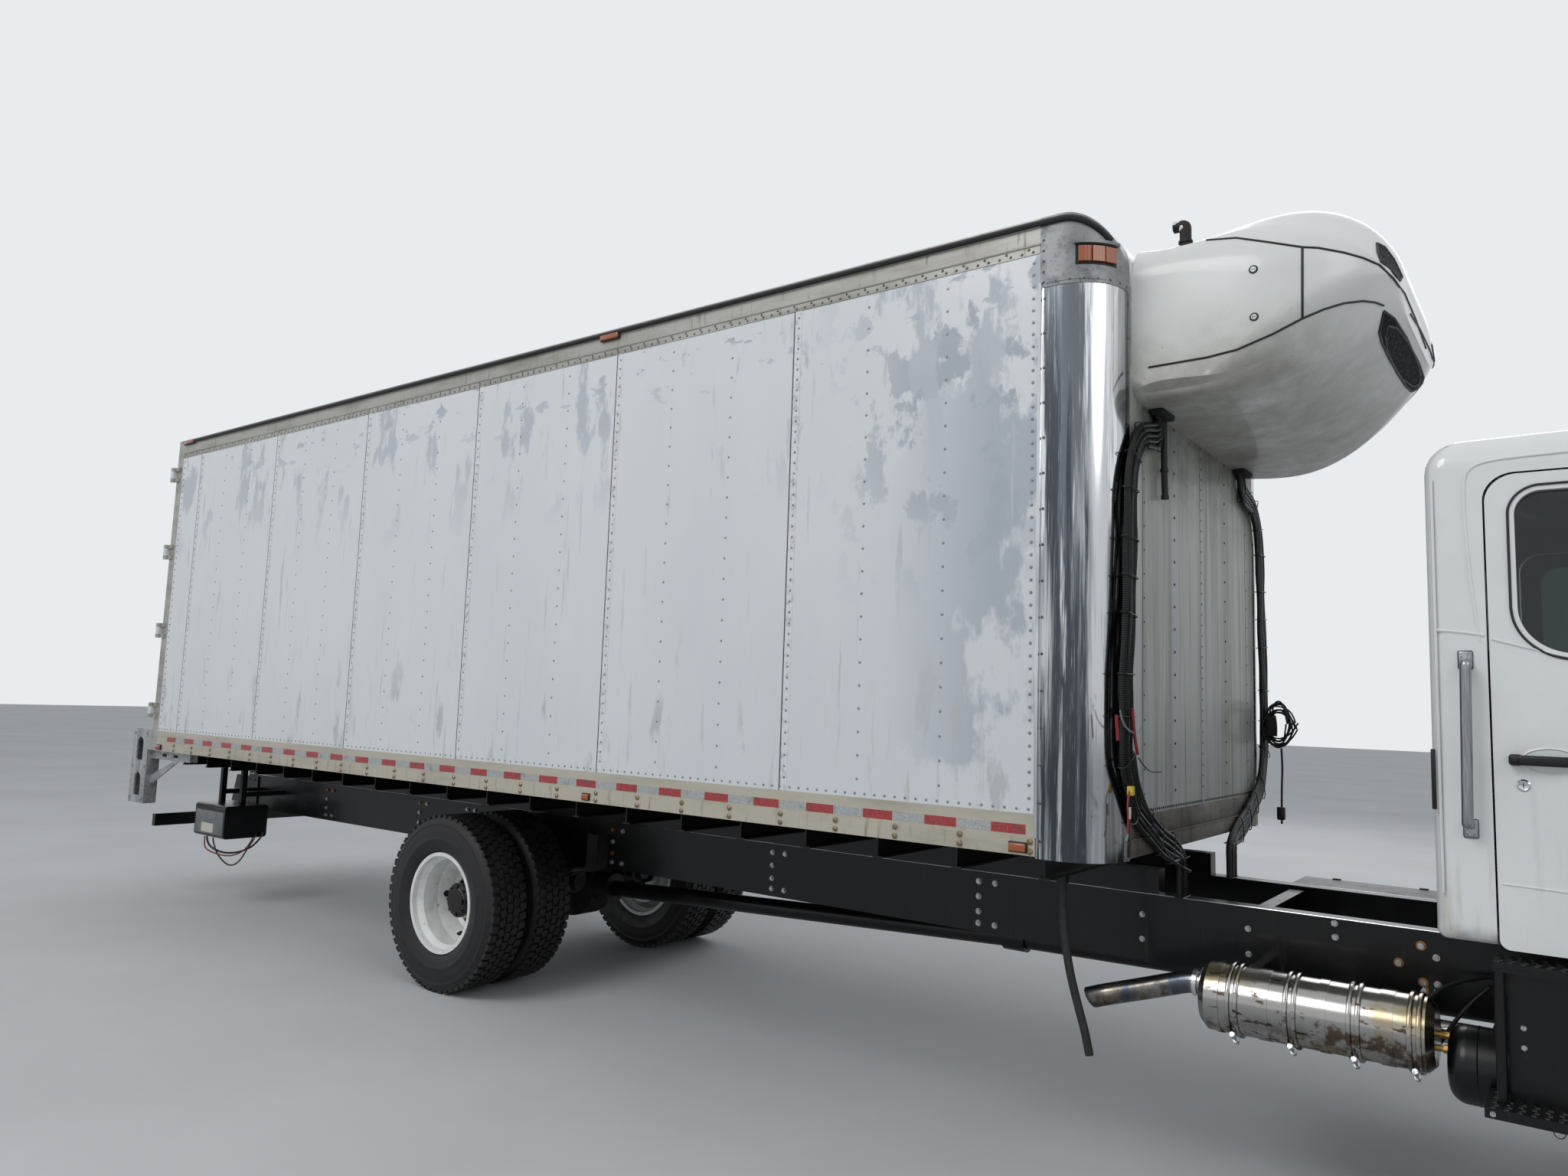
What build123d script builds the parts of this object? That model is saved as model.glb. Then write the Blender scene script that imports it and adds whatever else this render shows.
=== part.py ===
from build123d import *
import math
import os

# Refrigerated box truck with a bonneted cab. Millimetres, +X forward, +Y driver's side, +Z up.
# The origin is on the ground, midway along the length and across the width.

# Plan of the truck
REAR_OVERHANG = 4264  # rear axle to the back of the step posts
FRONT_OVERHANG = 1000  # front axle to the front of the bumper
BODY_WIDTH = 2438
BOX_LENGTH = 8070
BOX_REAR_OVERHANG = 3924  # rear axle to the back face of the box
CAB_GAP = 1035  # front wall of the box to the back of the cab
CAB_LENGTH = 1480  # back of the cab to the foot of the windscreen
COWL_TO_AXLE = 219  # foot of the windscreen to the front axle
WHEELBASE = BOX_LENGTH - BOX_REAR_OVERHANG + CAB_GAP + CAB_LENGTH + COWL_TO_AXLE

REAR_END_X = -(REAR_OVERHANG + WHEELBASE + FRONT_OVERHANG) / 2
REAR_AXLE_X = REAR_END_X + REAR_OVERHANG
FRONT_AXLE_X = REAR_AXLE_X + WHEELBASE
FRONT_END_X = FRONT_AXLE_X + FRONT_OVERHANG
HALF_WIDTH = BODY_WIDTH / 2
BOX_REAR_X = REAR_AXLE_X - BOX_REAR_OVERHANG
BOX_FRONT_X = BOX_REAR_X + BOX_LENGTH
CAB_REAR_X = BOX_FRONT_X + CAB_GAP

# Running clearances
PIN_CLEARANCE = 0.05  # radial, a pin or spindle in its bore
SEAT_GAP = 0.3  # a curved piece to the curved seat that holds it
DOOR_GAP = 6  # a door to its frame
END_PLAY = 0.3  # a hinge knuckle to the next one

# Wheels and tyres, for a 22.5 inch rim
TYRE_RADIUS = 522
TYRE_WIDTH = 280
TYRE_TREAD_WIDTH = 224
TYRE_BEAD_WIDTH = 208
RIM_SEAT_RADIUS = 286
RIM_FLANGE_RADIUS = 298
RIM_FLANGE_THICKNESS = 12
RIM_BARREL_THICKNESS = 10
DISC_THICKNESS = 12
DISC_OFFSET = 171.5  # rim centre plane to the mounting face of the disc
HUB_RADIUS = 92
DRUM_RADIUS = 205
DRUM_THICKNESS = 15
FRONT_TYRE_Y = 1020
REAR_TYRE_Y = 1030  # centre of the outer tyre
DUAL_SPACING = 343

# Ladder frame
FRAME_TOP_Z = 1025
FRAME_HEIGHT = 286
FRAME_WIDTH = 864
FRAME_FLANGE = 80
FRAME_PLATE = 8
FRAME_TAIL = 100  # back face of the box to the end of the rails
FRAME_NOSE = 112  # end of the rails to the front of the bumper
FRAME_Y = FRAME_WIDTH / 2
FRAME_BOTTOM_Z = FRAME_TOP_Z - FRAME_HEIGHT
FRAME_REAR_X = BOX_REAR_X + FRAME_TAIL
FRAME_FRONT_X = FRONT_END_X - FRAME_NOSE
WEB_Y = FRAME_Y - FRAME_PLATE

# Box body
FLOOR_BOTTOM_Z = 1232
FLOOR_TOP_Z = 1394
ROOF_Z = 3830
WALL_TOP_Z = ROOF_Z - 154
WALL_THICKNESS = 75
FRONT_WALL_THICKNESS = 100
ROOF_THICKNESS = 77
CORNER_RADIUS = 215
ROOF_NOSE_RADIUS = 190
CORNER_WRAP = 284  # the corner piece along the side
CORNER_RETURN = 250  # the corner piece across the front
CORNER_CAP_Z = ROOF_Z - 301
CORNER_FOOT_Z = 1224
REAR_FRAME_DEPTH = 100
REAR_POST_WIDTH = 100
INNER_Y = HALF_WIDTH - WALL_THICKNESS
INNER_FRONT_X = BOX_FRONT_X - FRONT_WALL_THICKNESS
PANEL_REAR_X = BOX_REAR_X + REAR_FRAME_DEPTH
PANEL_FRONT_X = BOX_FRONT_X - CORNER_WRAP
FRONT_WALL_Y = HALF_WIDTH - CORNER_RETURN
CEILING_Z = ROOF_Z - ROOF_THICKNESS

# Rear doors
REAR_SILL_Z = 1410
REAR_HEADER_Z = ROOF_Z - 140
REAR_DOOR_THICKNESS = 75
REAR_DOOR_GAP = 8
REAR_DOOR_SPLIT = 10  # half of the gap between the two leaves
REAR_HINGE_OUT = 25  # hinge axis outside the side wall and behind the frame
HINGE_END = 150  # first and last hinge to the sill and the header
HINGE_PITCH = (REAR_HEADER_Z - REAR_SILL_Z - 2 * HINGE_END) / 3
REAR_HINGE_HEIGHTS = [REAR_SILL_Z + HINGE_END + HINGE_PITCH * i for i in range(4)]
REAR_PIN_RADIUS = 8
REAR_BARREL_RADIUS = 15

# Cab
CAB_WIDTH = 2098
CAB_FLOOR_Z = 1100
CAB_ROOF_REAR_Z = 2758
CAB_ROOF_FRONT_Z = 2775
CAB_ROOF_EDGE = 120  # rounding of the roof along its sides
CAB_WALL = 50
CAB_FLOOR_THICKNESS = 50
COWL_Z = 1800
WINDSCREEN_RUN = 470  # foot of the windscreen back to its top
ROOF_FRONT = CAB_LENGTH - WINDSCREEN_RUN
DOOR_REAR = 175  # back of the cab to the door's rear edge
FRONT_PILLAR = 235  # door's front edge to the foot of the windscreen
DOOR_LENGTH = CAB_LENGTH - DOOR_REAR - FRONT_PILLAR
DOOR_BOTTOM_Z = 1096
DOOR_TOP_Z = 2620
DOOR_THICKNESS = 60
DOOR_PILLAR_Z = 1850  # where the door's front edge starts to lean
DOOR_PILLAR_LEAN = 288
GLASS_THICKNESS = 6
CAB_Y = CAB_WIDTH / 2
DOOR_REAR_X = CAB_REAR_X + DOOR_REAR
DOOR_FRONT_X = DOOR_REAR_X + DOOR_LENGTH
CAB_FRONT_X = CAB_REAR_X + CAB_LENGTH
CAB_HINGE_X = DOOR_FRONT_X + 3
CAB_HINGE_Y = CAB_Y + 12
CAB_PIN_RADIUS = 6
CAB_BARREL_RADIUS = 12
CAB_HINGE_HEIGHTS = (1260, 1720)

# Hood with its fenders
HOOD_GAP = 15
HOOD_WALL = 25
HOOD_HALF_WIDTH = 790
FENDER_Y = 1200
FENDER_TOP_Z = 1340
ARCH_RADIUS = 640
HOOD_FRONT = 62  # front of the hood behind the front of the bumper
HOOD_FOOT_Z = 920
HOOD_REAR_X = CAB_FRONT_X + HOOD_GAP
HOOD_FRONT_X = FRONT_END_X - HOOD_FRONT
HOOD_HINGE_X = HOOD_FRONT_X + 20
HOOD_HINGE_Z = HOOD_FOOT_Z - 18
HOOD_PIN_RADIUS = 8

# Refrigeration unit on the front wall
UNIT_BOTTOM_Z = ROOF_Z - 730

# Exhaust, tanks and steps
CANISTER_RADIUS = 125
CANISTER_LENGTH = 770
CANISTER_Y = -800
CANISTER_Z = 735
CANISTER_REAR_X = BOX_FRONT_X + 235
AIR_TANK_RADIUS = 128
AIR_TANK_Y = -770
AIR_TANK_Z = 655
STEP_UPPER_Z = 1060
STEP_LOWER_Z = 600
STEP_OUTER_Y = 1139

pieces = {}


def block(x0, x1, y0, y1, z0, z1):
    """A cuboid between two corners."""
    centre = Pos((x0 + x1) / 2, (y0 + y1) / 2, (z0 + z1) / 2)
    return centre * Box(x1 - x0, y1 - y0, z1 - z0)


def across(points, y0, y1, radii=0):
    """An outline of (x, z) points, drawn out from y0 to y1."""
    path = FilletPolyline(*[(x, y0, z) for x, z in points], radius=radii, close=True)
    return extrude(make_face(path), amount=y1 - y0, dir=(0, 1, 0))


def upward(points, z0, z1, radii=0):
    """An outline of (x, y) points, drawn up from z0 to z1."""
    path = FilletPolyline(*[(x, y, z0) for x, y in points], radius=radii, close=True)
    return extrude(make_face(path), amount=z1 - z0, dir=(0, 0, 1))


def lengthwise(points, x0, x1, radii=0):
    """An outline of (y, z) points, drawn forward from x0 to x1."""
    path = FilletPolyline(*[(x0, y, z) for y, z in points], radius=radii, close=True)
    return extrude(make_face(path), amount=x1 - x0, dir=(1, 0, 0))


def rod(start, end, radius):
    """A round bar between two points."""
    run = Vector(*end) - Vector(*start)
    return Plane(origin=start, z_dir=run).location * Pos(0, 0, run.length / 2) * Cylinder(radius, run.length)


def tube(points, radii, radius):
    """A round bar along straight runs joined by arcs."""
    path = FilletPolyline(*points, radius=radii)
    start = Plane(origin=path @ 0, z_dir=path % 0)
    return sweep(start * Circle(radius), path=path)


def turned(points, x, z, radii=0):
    """An outline of (y, radius) points, spun about the axle line through (x, z)."""
    path = FilletPolyline(*[(x + r, y, z) for y, r in points], radius=radii, close=True)
    return revolve(make_face(path), Axis((x, 0, z), (0, 1, 0)), 360)


def other_side(shape):
    """The same shape on the driver's side."""
    return mirror(shape, Plane.XZ)


def both_sides(shape):
    """The shape and its mirror image."""
    return shape + other_side(shape)


def front_spread(length, count):
    """Evenly spaced places over a length, half a pitch from each end."""
    return [length * (i + 0.5) / count for i in range(count)]


# Ladder frame: two channels that face inwards, with the cross channels between them
LUG_FOOT = 60  # how far the hood's hinge lug reaches back along the rail
LUG_NOSE = 12  # and ahead of the hinge pin
LUG_WIDTH = 40
CROSS_MARGIN = 16  # cross channel to the rail's top and bottom
CROSS_WIDTH = 60
CROSS_CHANNELS_X = [
    FRAME_REAR_X + 20, FRAME_REAR_X + 1250, FRAME_REAR_X + 2500,
    REAR_AXLE_X - 760, REAR_AXLE_X + 700,
    REAR_AXLE_X + 1950, REAR_AXLE_X + 3200, REAR_AXLE_X + 4450, CAB_REAR_X + 100,
]
RADIATOR_DEPTH = 80
RADIATOR_X = HOOD_FRONT_X - 160
RADIATOR_SADDLE = 30
HOOD_ARM_WIDTH = 24


def frame():
    inner = FRAME_Y - FRAME_FLANGE
    rail = block(FRAME_REAR_X, FRAME_FRONT_X, -FRAME_Y, -WEB_Y, FRAME_BOTTOM_Z, FRAME_TOP_Z)
    for z in (FRAME_BOTTOM_Z, FRAME_TOP_Z - FRAME_PLATE):
        rail += block(FRAME_REAR_X, FRAME_FRONT_X, -FRAME_Y, -inner, z, z + FRAME_PLATE)
    rail += block(FRAME_FRONT_X - LUG_FOOT, HOOD_HINGE_X + LUG_NOSE, -FRAME_Y, -FRAME_Y + LUG_WIDTH,
                  HOOD_HINGE_Z - 16, HOOD_HINGE_Z + 10)
    rail += rod((HOOD_HINGE_X, -FRAME_Y - HOOD_ARM_WIDTH - 6, HOOD_HINGE_Z),
                (HOOD_HINGE_X, -FRAME_Y + LUG_WIDTH, HOOD_HINGE_Z), HOOD_PIN_RADIUS)
    solids = [rail, other_side(rail)]
    low = FRAME_BOTTOM_Z + CROSS_MARGIN
    high = FRAME_TOP_Z - CROSS_MARGIN
    for x in CROSS_CHANNELS_X:
        solids.append(across([
            (x, low), (x + CROSS_WIDTH, low), (x + CROSS_WIDTH, low + FRAME_PLATE),
            (x + FRAME_PLATE, low + FRAME_PLATE), (x + FRAME_PLATE, high - FRAME_PLATE),
            (x + CROSS_WIDTH, high - FRAME_PLATE), (x + CROSS_WIDTH, high), (x, high),
        ], -WEB_Y, WEB_Y))
    solids.append(block(RADIATOR_X - 10, RADIATOR_X + RADIATOR_DEPTH + 10, -WEB_Y, WEB_Y,
                        FRAME_BOTTOM_Z + FRAME_PLATE, FRAME_BOTTOM_Z + RADIATOR_SADDLE))
    return Compound(children=solids)


# Subframe: two long sills on the rails and the floor's cross members
SILL_TOP_Z = 1130
MEMBER_COUNT = 20
MEMBER_WIDTH = 50
MEMBER_Y = 1105
MEMBER_PLATE = 8
HOSE_FITTING_RADIUS = 24
HOSE_FITTING_LENGTH = 30
HOSE_Y = -920
MEMBERS_X = [PANEL_REAR_X + 60 + x for x in front_spread(INNER_FRONT_X - PANEL_REAR_X - 60, MEMBER_COUNT)]
HOSE_X = MEMBERS_X[-1]


def subframe():
    inner = FRAME_Y - FRAME_FLANGE
    sill = block(FRAME_REAR_X, BOX_FRONT_X - 60, -FRAME_Y, -inner, FRAME_TOP_Z, SILL_TOP_Z)
    beams = [sill, other_side(sill)]
    for x in MEMBERS_X:
        half = MEMBER_WIDTH / 2
        web = MEMBER_PLATE / 2
        section = [
            (x - half, SILL_TOP_Z), (x + half, SILL_TOP_Z), (x + half, SILL_TOP_Z + MEMBER_PLATE),
            (x + web, SILL_TOP_Z + MEMBER_PLATE), (x + web, FLOOR_BOTTOM_Z - MEMBER_PLATE),
            (x + half, FLOOR_BOTTOM_Z - MEMBER_PLATE), (x + half, FLOOR_BOTTOM_Z),
            (x - half, FLOOR_BOTTOM_Z), (x - half, FLOOR_BOTTOM_Z - MEMBER_PLATE),
            (x - web, FLOOR_BOTTOM_Z - MEMBER_PLATE), (x - web, SILL_TOP_Z + MEMBER_PLATE),
            (x - half, SILL_TOP_Z + MEMBER_PLATE),
        ]
        beams.append(across(section, -MEMBER_Y, MEMBER_Y))
    beams[-1] += rod((HOSE_X, HOSE_Y, SILL_TOP_Z - HOSE_FITTING_LENGTH), (HOSE_X, HOSE_Y, SILL_TOP_Z),
                     HOSE_FITTING_RADIUS)
    return Compound(children=beams)


# Wheels. Each section runs over (distance outwards from the rim's centre plane, radius).
def tyre(x, centre_y):
    """A tyre around the axle line, closed at its beads, hollow inside."""
    tread = TYRE_TREAD_WIDTH / 2
    bulge = TYRE_WIDTH / 2
    bead = TYRE_BEAD_WIDTH / 2
    foot = RIM_SEAT_RADIUS + SEAT_GAP
    half = [
        (bead, foot, 0), (bead, RIM_FLANGE_RADIUS + 4, 0), (bulge, TYRE_RADIUS - 170, 40),
        (bulge, TYRE_RADIUS - 60, 60), (tread, TYRE_RADIUS, 12),
    ]
    inside = [
        (tread - 18, TYRE_RADIUS - 34, 30), (bulge - 20, TYRE_RADIUS - 110, 60),
        (bulge - 22, TYRE_RADIUS - 165, 30), (bead - 20, RIM_FLANGE_RADIUS + 8, 0), (bead - 20, foot, 0),
    ]
    ring = half + [(-a, r, c) for a, r, c in reversed(half)]
    ring += [(-a, r, c) for a, r, c in reversed(inside)] + inside
    return turned([(centre_y + a, r) for a, r, c in ring], x, TYRE_RADIUS, [c for a, r, c in ring])


def rim_barrel(x, centre_y):
    """The rolled rim with its two flanges."""
    bead = TYRE_BEAD_WIDTH / 2 + 1
    flange = bead + RIM_FLANGE_THICKNESS
    seat = RIM_SEAT_RADIUS
    well = seat - RIM_BARREL_THICKNESS
    drop = 22
    section = [
        (-flange, RIM_FLANGE_RADIUS), (-bead, RIM_FLANGE_RADIUS), (-bead, seat), (-bead + 26, seat),
        (-bead + 60, seat - drop), (bead - 60, seat - drop), (bead - 26, seat), (bead, seat),
        (bead, RIM_FLANGE_RADIUS), (flange, RIM_FLANGE_RADIUS), (flange, well), (bead - 22, well),
        (bead - 56, well - drop), (-bead + 56, well - drop), (-bead + 22, well), (-flange, well),
    ]
    return turned([(centre_y + a, r) for a, r in section], x, TYRE_RADIUS)


def rim_disc(x, centre_y, direction):
    """The dished disc, from the barrel to the mounting face."""
    edge = RIM_SEAT_RADIUS - RIM_BARREL_THICKNESS - 20
    face = DISC_OFFSET
    section = [
        (40, edge + 4), (face - 26, 215), (face - DISC_THICKNESS, 196), (face - DISC_THICKNESS, HUB_RADIUS - 10),
        (face, HUB_RADIUS - 10), (face, 204), (face - 14, 226), (56, edge + 4),
    ]
    return turned([(centre_y + direction * a, r) for a, r in section], x, TYRE_RADIUS)


SPINDLE_RADIUS = 45
KINGPIN_Y = 840
KNUCKLE_WEB_Y = 895
KNUCKLE_WEB = 30
HUB_START = 10  # knuckle web to the hub


def front_rim(side):
    """Rim, hub and brake drum of a front wheel, with a blind bore for the spindle."""
    centre = FRONT_TYRE_Y
    x = FRONT_AXLE_X
    start = KNUCKLE_WEB_Y + KNUCKLE_WEB + HUB_START
    face = centre + DISC_OFFSET
    bore = SPINDLE_RADIUS + PIN_CLEARANCE
    end = face - 20
    drum = start + 150
    hub = turned([
        (start, bore), (start, HUB_RADIUS), (drum, HUB_RADIUS), (drum, DRUM_RADIUS - DRUM_THICKNESS),
        (start, DRUM_RADIUS - DRUM_THICKNESS), (start, DRUM_RADIUS), (drum + DRUM_THICKNESS, DRUM_RADIUS),
        (drum + DRUM_THICKNESS, HUB_RADIUS), (face + 4, HUB_RADIUS), (face + 50, HUB_RADIUS - 20),
        (face + 60, HUB_RADIUS - 35),
        (face + 60, 0), (end, 0), (end, bore),
    ], x, TYRE_RADIUS)
    wheel = rim_barrel(x, centre) + rim_disc(x, centre, 1) + hub
    return wheel if side > 0 else other_side(wheel)


AXLE_SHOULDER_Y = 640
REAR_SPINDLE_Y = 1000


def rear_rims(side):
    """Both rims of a twin wheel with their hub and brake drum."""
    x = REAR_AXLE_X
    inner = REAR_TYRE_Y - DUAL_SPACING
    start = AXLE_SHOULDER_Y + 20
    bore = SPINDLE_RADIUS + PIN_CLEARANCE
    face = REAR_TYRE_Y - DISC_OFFSET
    end = REAR_SPINDLE_Y + 6
    drum_start = inner - 100
    drum_end = face - 60
    hub = turned([
        (start, bore), (start, HUB_RADIUS), (drum_end - DRUM_THICKNESS, HUB_RADIUS),
        (drum_end - DRUM_THICKNESS, DRUM_RADIUS - DRUM_THICKNESS), (drum_start, DRUM_RADIUS - DRUM_THICKNESS),
        (drum_start, DRUM_RADIUS), (drum_end, DRUM_RADIUS), (drum_end, HUB_RADIUS),
        (end, HUB_RADIUS), (end, HUB_RADIUS - 15), (end + 30, HUB_RADIUS - 20), (end + 30, 0),
        (end, 0), (end, bore),
    ], x, TYRE_RADIUS)
    wheel = hub
    for centre, direction in ((REAR_TYRE_Y, -1), (inner, 1)):
        wheel += rim_barrel(x, centre) + rim_disc(x, centre, direction)
    return wheel if side > 0 else other_side(wheel)


AXLE_TUBE_RADIUS = 70
DIFF_NOSE = 330


def rear_axle():
    x = REAR_AXLE_X
    z = TYRE_RADIUS
    shape = rod((x, -AXLE_SHOULDER_Y, z), (x, AXLE_SHOULDER_Y, z), AXLE_TUBE_RADIUS)
    shape += rod((x, -REAR_SPINDLE_Y, z), (x, REAR_SPINDLE_Y, z), SPINDLE_RADIUS)
    case = turned([(-150, 0), (-150, 90), (-90, 210), (90, 210), (150, 90), (150, 0)], x, z)
    nose = rod((x, 0, z), (x + DIFF_NOSE, 0, z), 95)
    return shape + case + nose


BEAM_HALF = 42
EYE_RADIUS = 48
EYE_LOW_Z = 475
EYE_HIGH_Z = 570
KINGPIN_RADIUS = 20
EAR_THICKNESS = 30
EAR_GAP = 5
BEAM_LOW_Z = 395
BEAM_HIGH_Z = 490


def front_axle():
    """Dropped I-beam with an eye and kingpin at each end."""
    x = FRONT_AXLE_X
    drop = [
        (-KINGPIN_Y, EYE_LOW_Z), (-KINGPIN_Y + 110, EYE_LOW_Z), (-600, BEAM_LOW_Z), (600, BEAM_LOW_Z),
        (KINGPIN_Y - 110, EYE_LOW_Z), (KINGPIN_Y, EYE_LOW_Z), (KINGPIN_Y, EYE_HIGH_Z),
        (KINGPIN_Y - 80, EYE_HIGH_Z), (600, BEAM_HIGH_Z), (-600, BEAM_HIGH_Z),
        (-KINGPIN_Y + 80, EYE_HIGH_Z), (-KINGPIN_Y, EYE_HIGH_Z),
    ]
    shape = lengthwise(drop, x - BEAM_HALF, x + BEAM_HALF)
    for side in (-1, 1):
        y = side * KINGPIN_Y
        shape += rod((x, y, EYE_LOW_Z), (x, y, EYE_HIGH_Z), EYE_RADIUS)
        reach = EAR_GAP + EAR_THICKNESS - 1
        shape += rod((x, y, EYE_LOW_Z - reach), (x, y, EYE_HIGH_Z + reach), KINGPIN_RADIUS)
    return shape


ARM_LENGTH = 180
TIE_PIN_RADIUS = 10
TIE_ROD_RADIUS = 15
TIE_EYE_HEIGHT = 28


def knuckle(side):
    """Forked knuckle with its spindle and a steering arm that points back."""
    x = FRONT_AXLE_X
    y = KINGPIN_Y
    web = block(x - 45, x + 45, KNUCKLE_WEB_Y, KNUCKLE_WEB_Y + KNUCKLE_WEB,
                EYE_LOW_Z - EAR_GAP - EAR_THICKNESS, EYE_HIGH_Z + EAR_GAP + EAR_THICKNESS)
    shape = web
    for z in (EYE_LOW_Z - EAR_GAP - EAR_THICKNESS, EYE_HIGH_Z + EAR_GAP):
        shape += block(x - 45, x + 45, y, KNUCKLE_WEB_Y, z, z + EAR_THICKNESS)
        shape += rod((x, y, z), (x, y, z + EAR_THICKNESS), 45)
    low = EYE_LOW_Z - EAR_GAP - EAR_THICKNESS
    shape += block(x - ARM_LENGTH, x, y - 22, y + 22, low, low + EAR_THICKNESS)
    shape += rod((x - ARM_LENGTH, y, low), (x - ARM_LENGTH, y, low + EAR_THICKNESS), 22)
    shape += rod((x - ARM_LENGTH, y, low - TIE_EYE_HEIGHT - 4), (x - ARM_LENGTH, y, low), TIE_PIN_RADIUS)
    shape -= rod((x, y, low - 1), (x, y, EYE_HIGH_Z + EAR_GAP + EAR_THICKNESS + 1),
                 KINGPIN_RADIUS + PIN_CLEARANCE)
    shape += rod((x, KNUCKLE_WEB_Y + 1, TYRE_RADIUS), (x, FRONT_TYRE_Y + DISC_OFFSET - 26, TYRE_RADIUS),
                 SPINDLE_RADIUS)
    return shape if side > 0 else other_side(shape)


TIE_EYE_PLAY = 1.5


def tie_rod():
    """Bar between the two steering arms, with an eye on each pin."""
    x = FRONT_AXLE_X - ARM_LENGTH
    base = EYE_LOW_Z - EAR_GAP - EAR_THICKNESS - 1 - TIE_EYE_HEIGHT
    z = base + TIE_EYE_HEIGHT / 2
    shape = rod((x, -KINGPIN_Y, z), (x, KINGPIN_Y, z), TIE_ROD_RADIUS - 3)
    for y in (-KINGPIN_Y, KINGPIN_Y):
        shape += rod((x, y, base), (x, y, base + TIE_EYE_HEIGHT), 24)
    for y, play in ((-KINGPIN_Y, TIE_EYE_PLAY), (KINGPIN_Y, PIN_CLEARANCE)):
        shape -= rod((x, y, base - 1), (x, y, base + TIE_EYE_HEIGHT + 1), TIE_PIN_RADIUS + play)
    return shape


SPRING_WIDTH = 76
SPRING_THICKNESS = 70
FRONT_SPRING_REACH = 640
REAR_SPRING_REACH = 690
HANGER_LENGTH = 90
REAR_SPRING_Y = FRAME_Y + 20


def leaf_springs():
    """Four leaf packs with the hangers that hold them to the rails."""
    packs = []
    rows = (  # axle x, inner y, seat height, reach, hanger foot height
        (FRONT_AXLE_X, FRAME_Y - SPRING_WIDTH, BEAM_HIGH_Z, FRONT_SPRING_REACH, FRAME_BOTTOM_Z),
        (REAR_AXLE_X, REAR_SPRING_Y, TYRE_RADIUS + AXLE_TUBE_RADIUS, REAR_SPRING_REACH, FRAME_BOTTOM_Z + 60),
    )
    for x, y, seat, reach, foot in rows:
        rise = foot - 60
        leaf = 22
        pack = [
            (x - reach, rise), (x - 120, seat), (x + 120, seat), (x + reach, rise),
            (x + reach, rise + leaf), (x + 120, seat + SPRING_THICKNESS),
            (x - 120, seat + SPRING_THICKNESS), (x - reach, rise + leaf),
        ]
        shape = across(pack, -y - SPRING_WIDTH, -y)
        for end in (x - reach, x + reach - HANGER_LENGTH):
            if y < FRAME_Y:
                shape += block(end, end + HANGER_LENGTH, -y - SPRING_WIDTH, -y, rise, foot)
            else:
                shape += block(end, end + HANGER_LENGTH, -y - SPRING_WIDTH, -FRAME_Y, rise, FRAME_TOP_Z - 80)
        packs.append(both_sides(shape))
    return packs[0] + packs[1]


PROP_RADIUS = 50
GEARBOX_REAR_X = CAB_REAR_X + 580
ENGINE_REAR_X = CAB_FRONT_X + 40
ENGINE_FRONT_X = RADIATOR_X - 120
GEARBOX_Z = 690
ENGINE_Y = 300
SUMP_Z = 620
BEARING_Z = 650  # centre bearing of the propshaft
BLOCK_TOP_Z = 1080
ENGINE_TOP_Z = 1480
HEAD_RIGHT_Y = 190
HEAD_LEFT_Y = 230
GEARBOX_LOW_Z = 640
GEARBOX_WIDE_Z = 800  # where the gearbox is widest
GEARBOX_HIGH_Z = 1040
GEARBOX_HALF = 200
GEARBOX_WIDE_HALF = 240
ENGINE_LUG_LOW_Z = 860
ENGINE_LUG_HIGH_Z = 930
ENGINE_LUG_PLACE = 100  # end of the engine to its lug
ENGINE_LUG_LENGTH = 100


def propshaft():
    """Two shafts that meet at a centre bearing hung from a cross channel."""
    bearing_x = CROSS_CHANNELS_X[6] + CROSS_WIDTH / 2
    bearing_z = BEARING_Z
    tail = (REAR_AXLE_X + DIFF_NOSE, 0, TYRE_RADIUS)
    shape = rod(tail, (bearing_x, 0, bearing_z), PROP_RADIUS)
    shape += rod((bearing_x, 0, bearing_z), (GEARBOX_REAR_X, 0, GEARBOX_Z), PROP_RADIUS)
    shape += rod((bearing_x - 60, 0, bearing_z), (bearing_x + 60, 0, bearing_z), PROP_RADIUS + 16)
    hanger = block(bearing_x - CROSS_WIDTH / 2, bearing_x + CROSS_WIDTH / 2, -40, 40,
                   bearing_z, FRAME_BOTTOM_Z + 16)
    cut = block(GEARBOX_REAR_X, GEARBOX_REAR_X + 200, -100, 100, 500, 900)
    cut += block(REAR_AXLE_X, REAR_AXLE_X + DIFF_NOSE, -100, 100, 300, 800)
    return shape + hanger - cut


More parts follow.
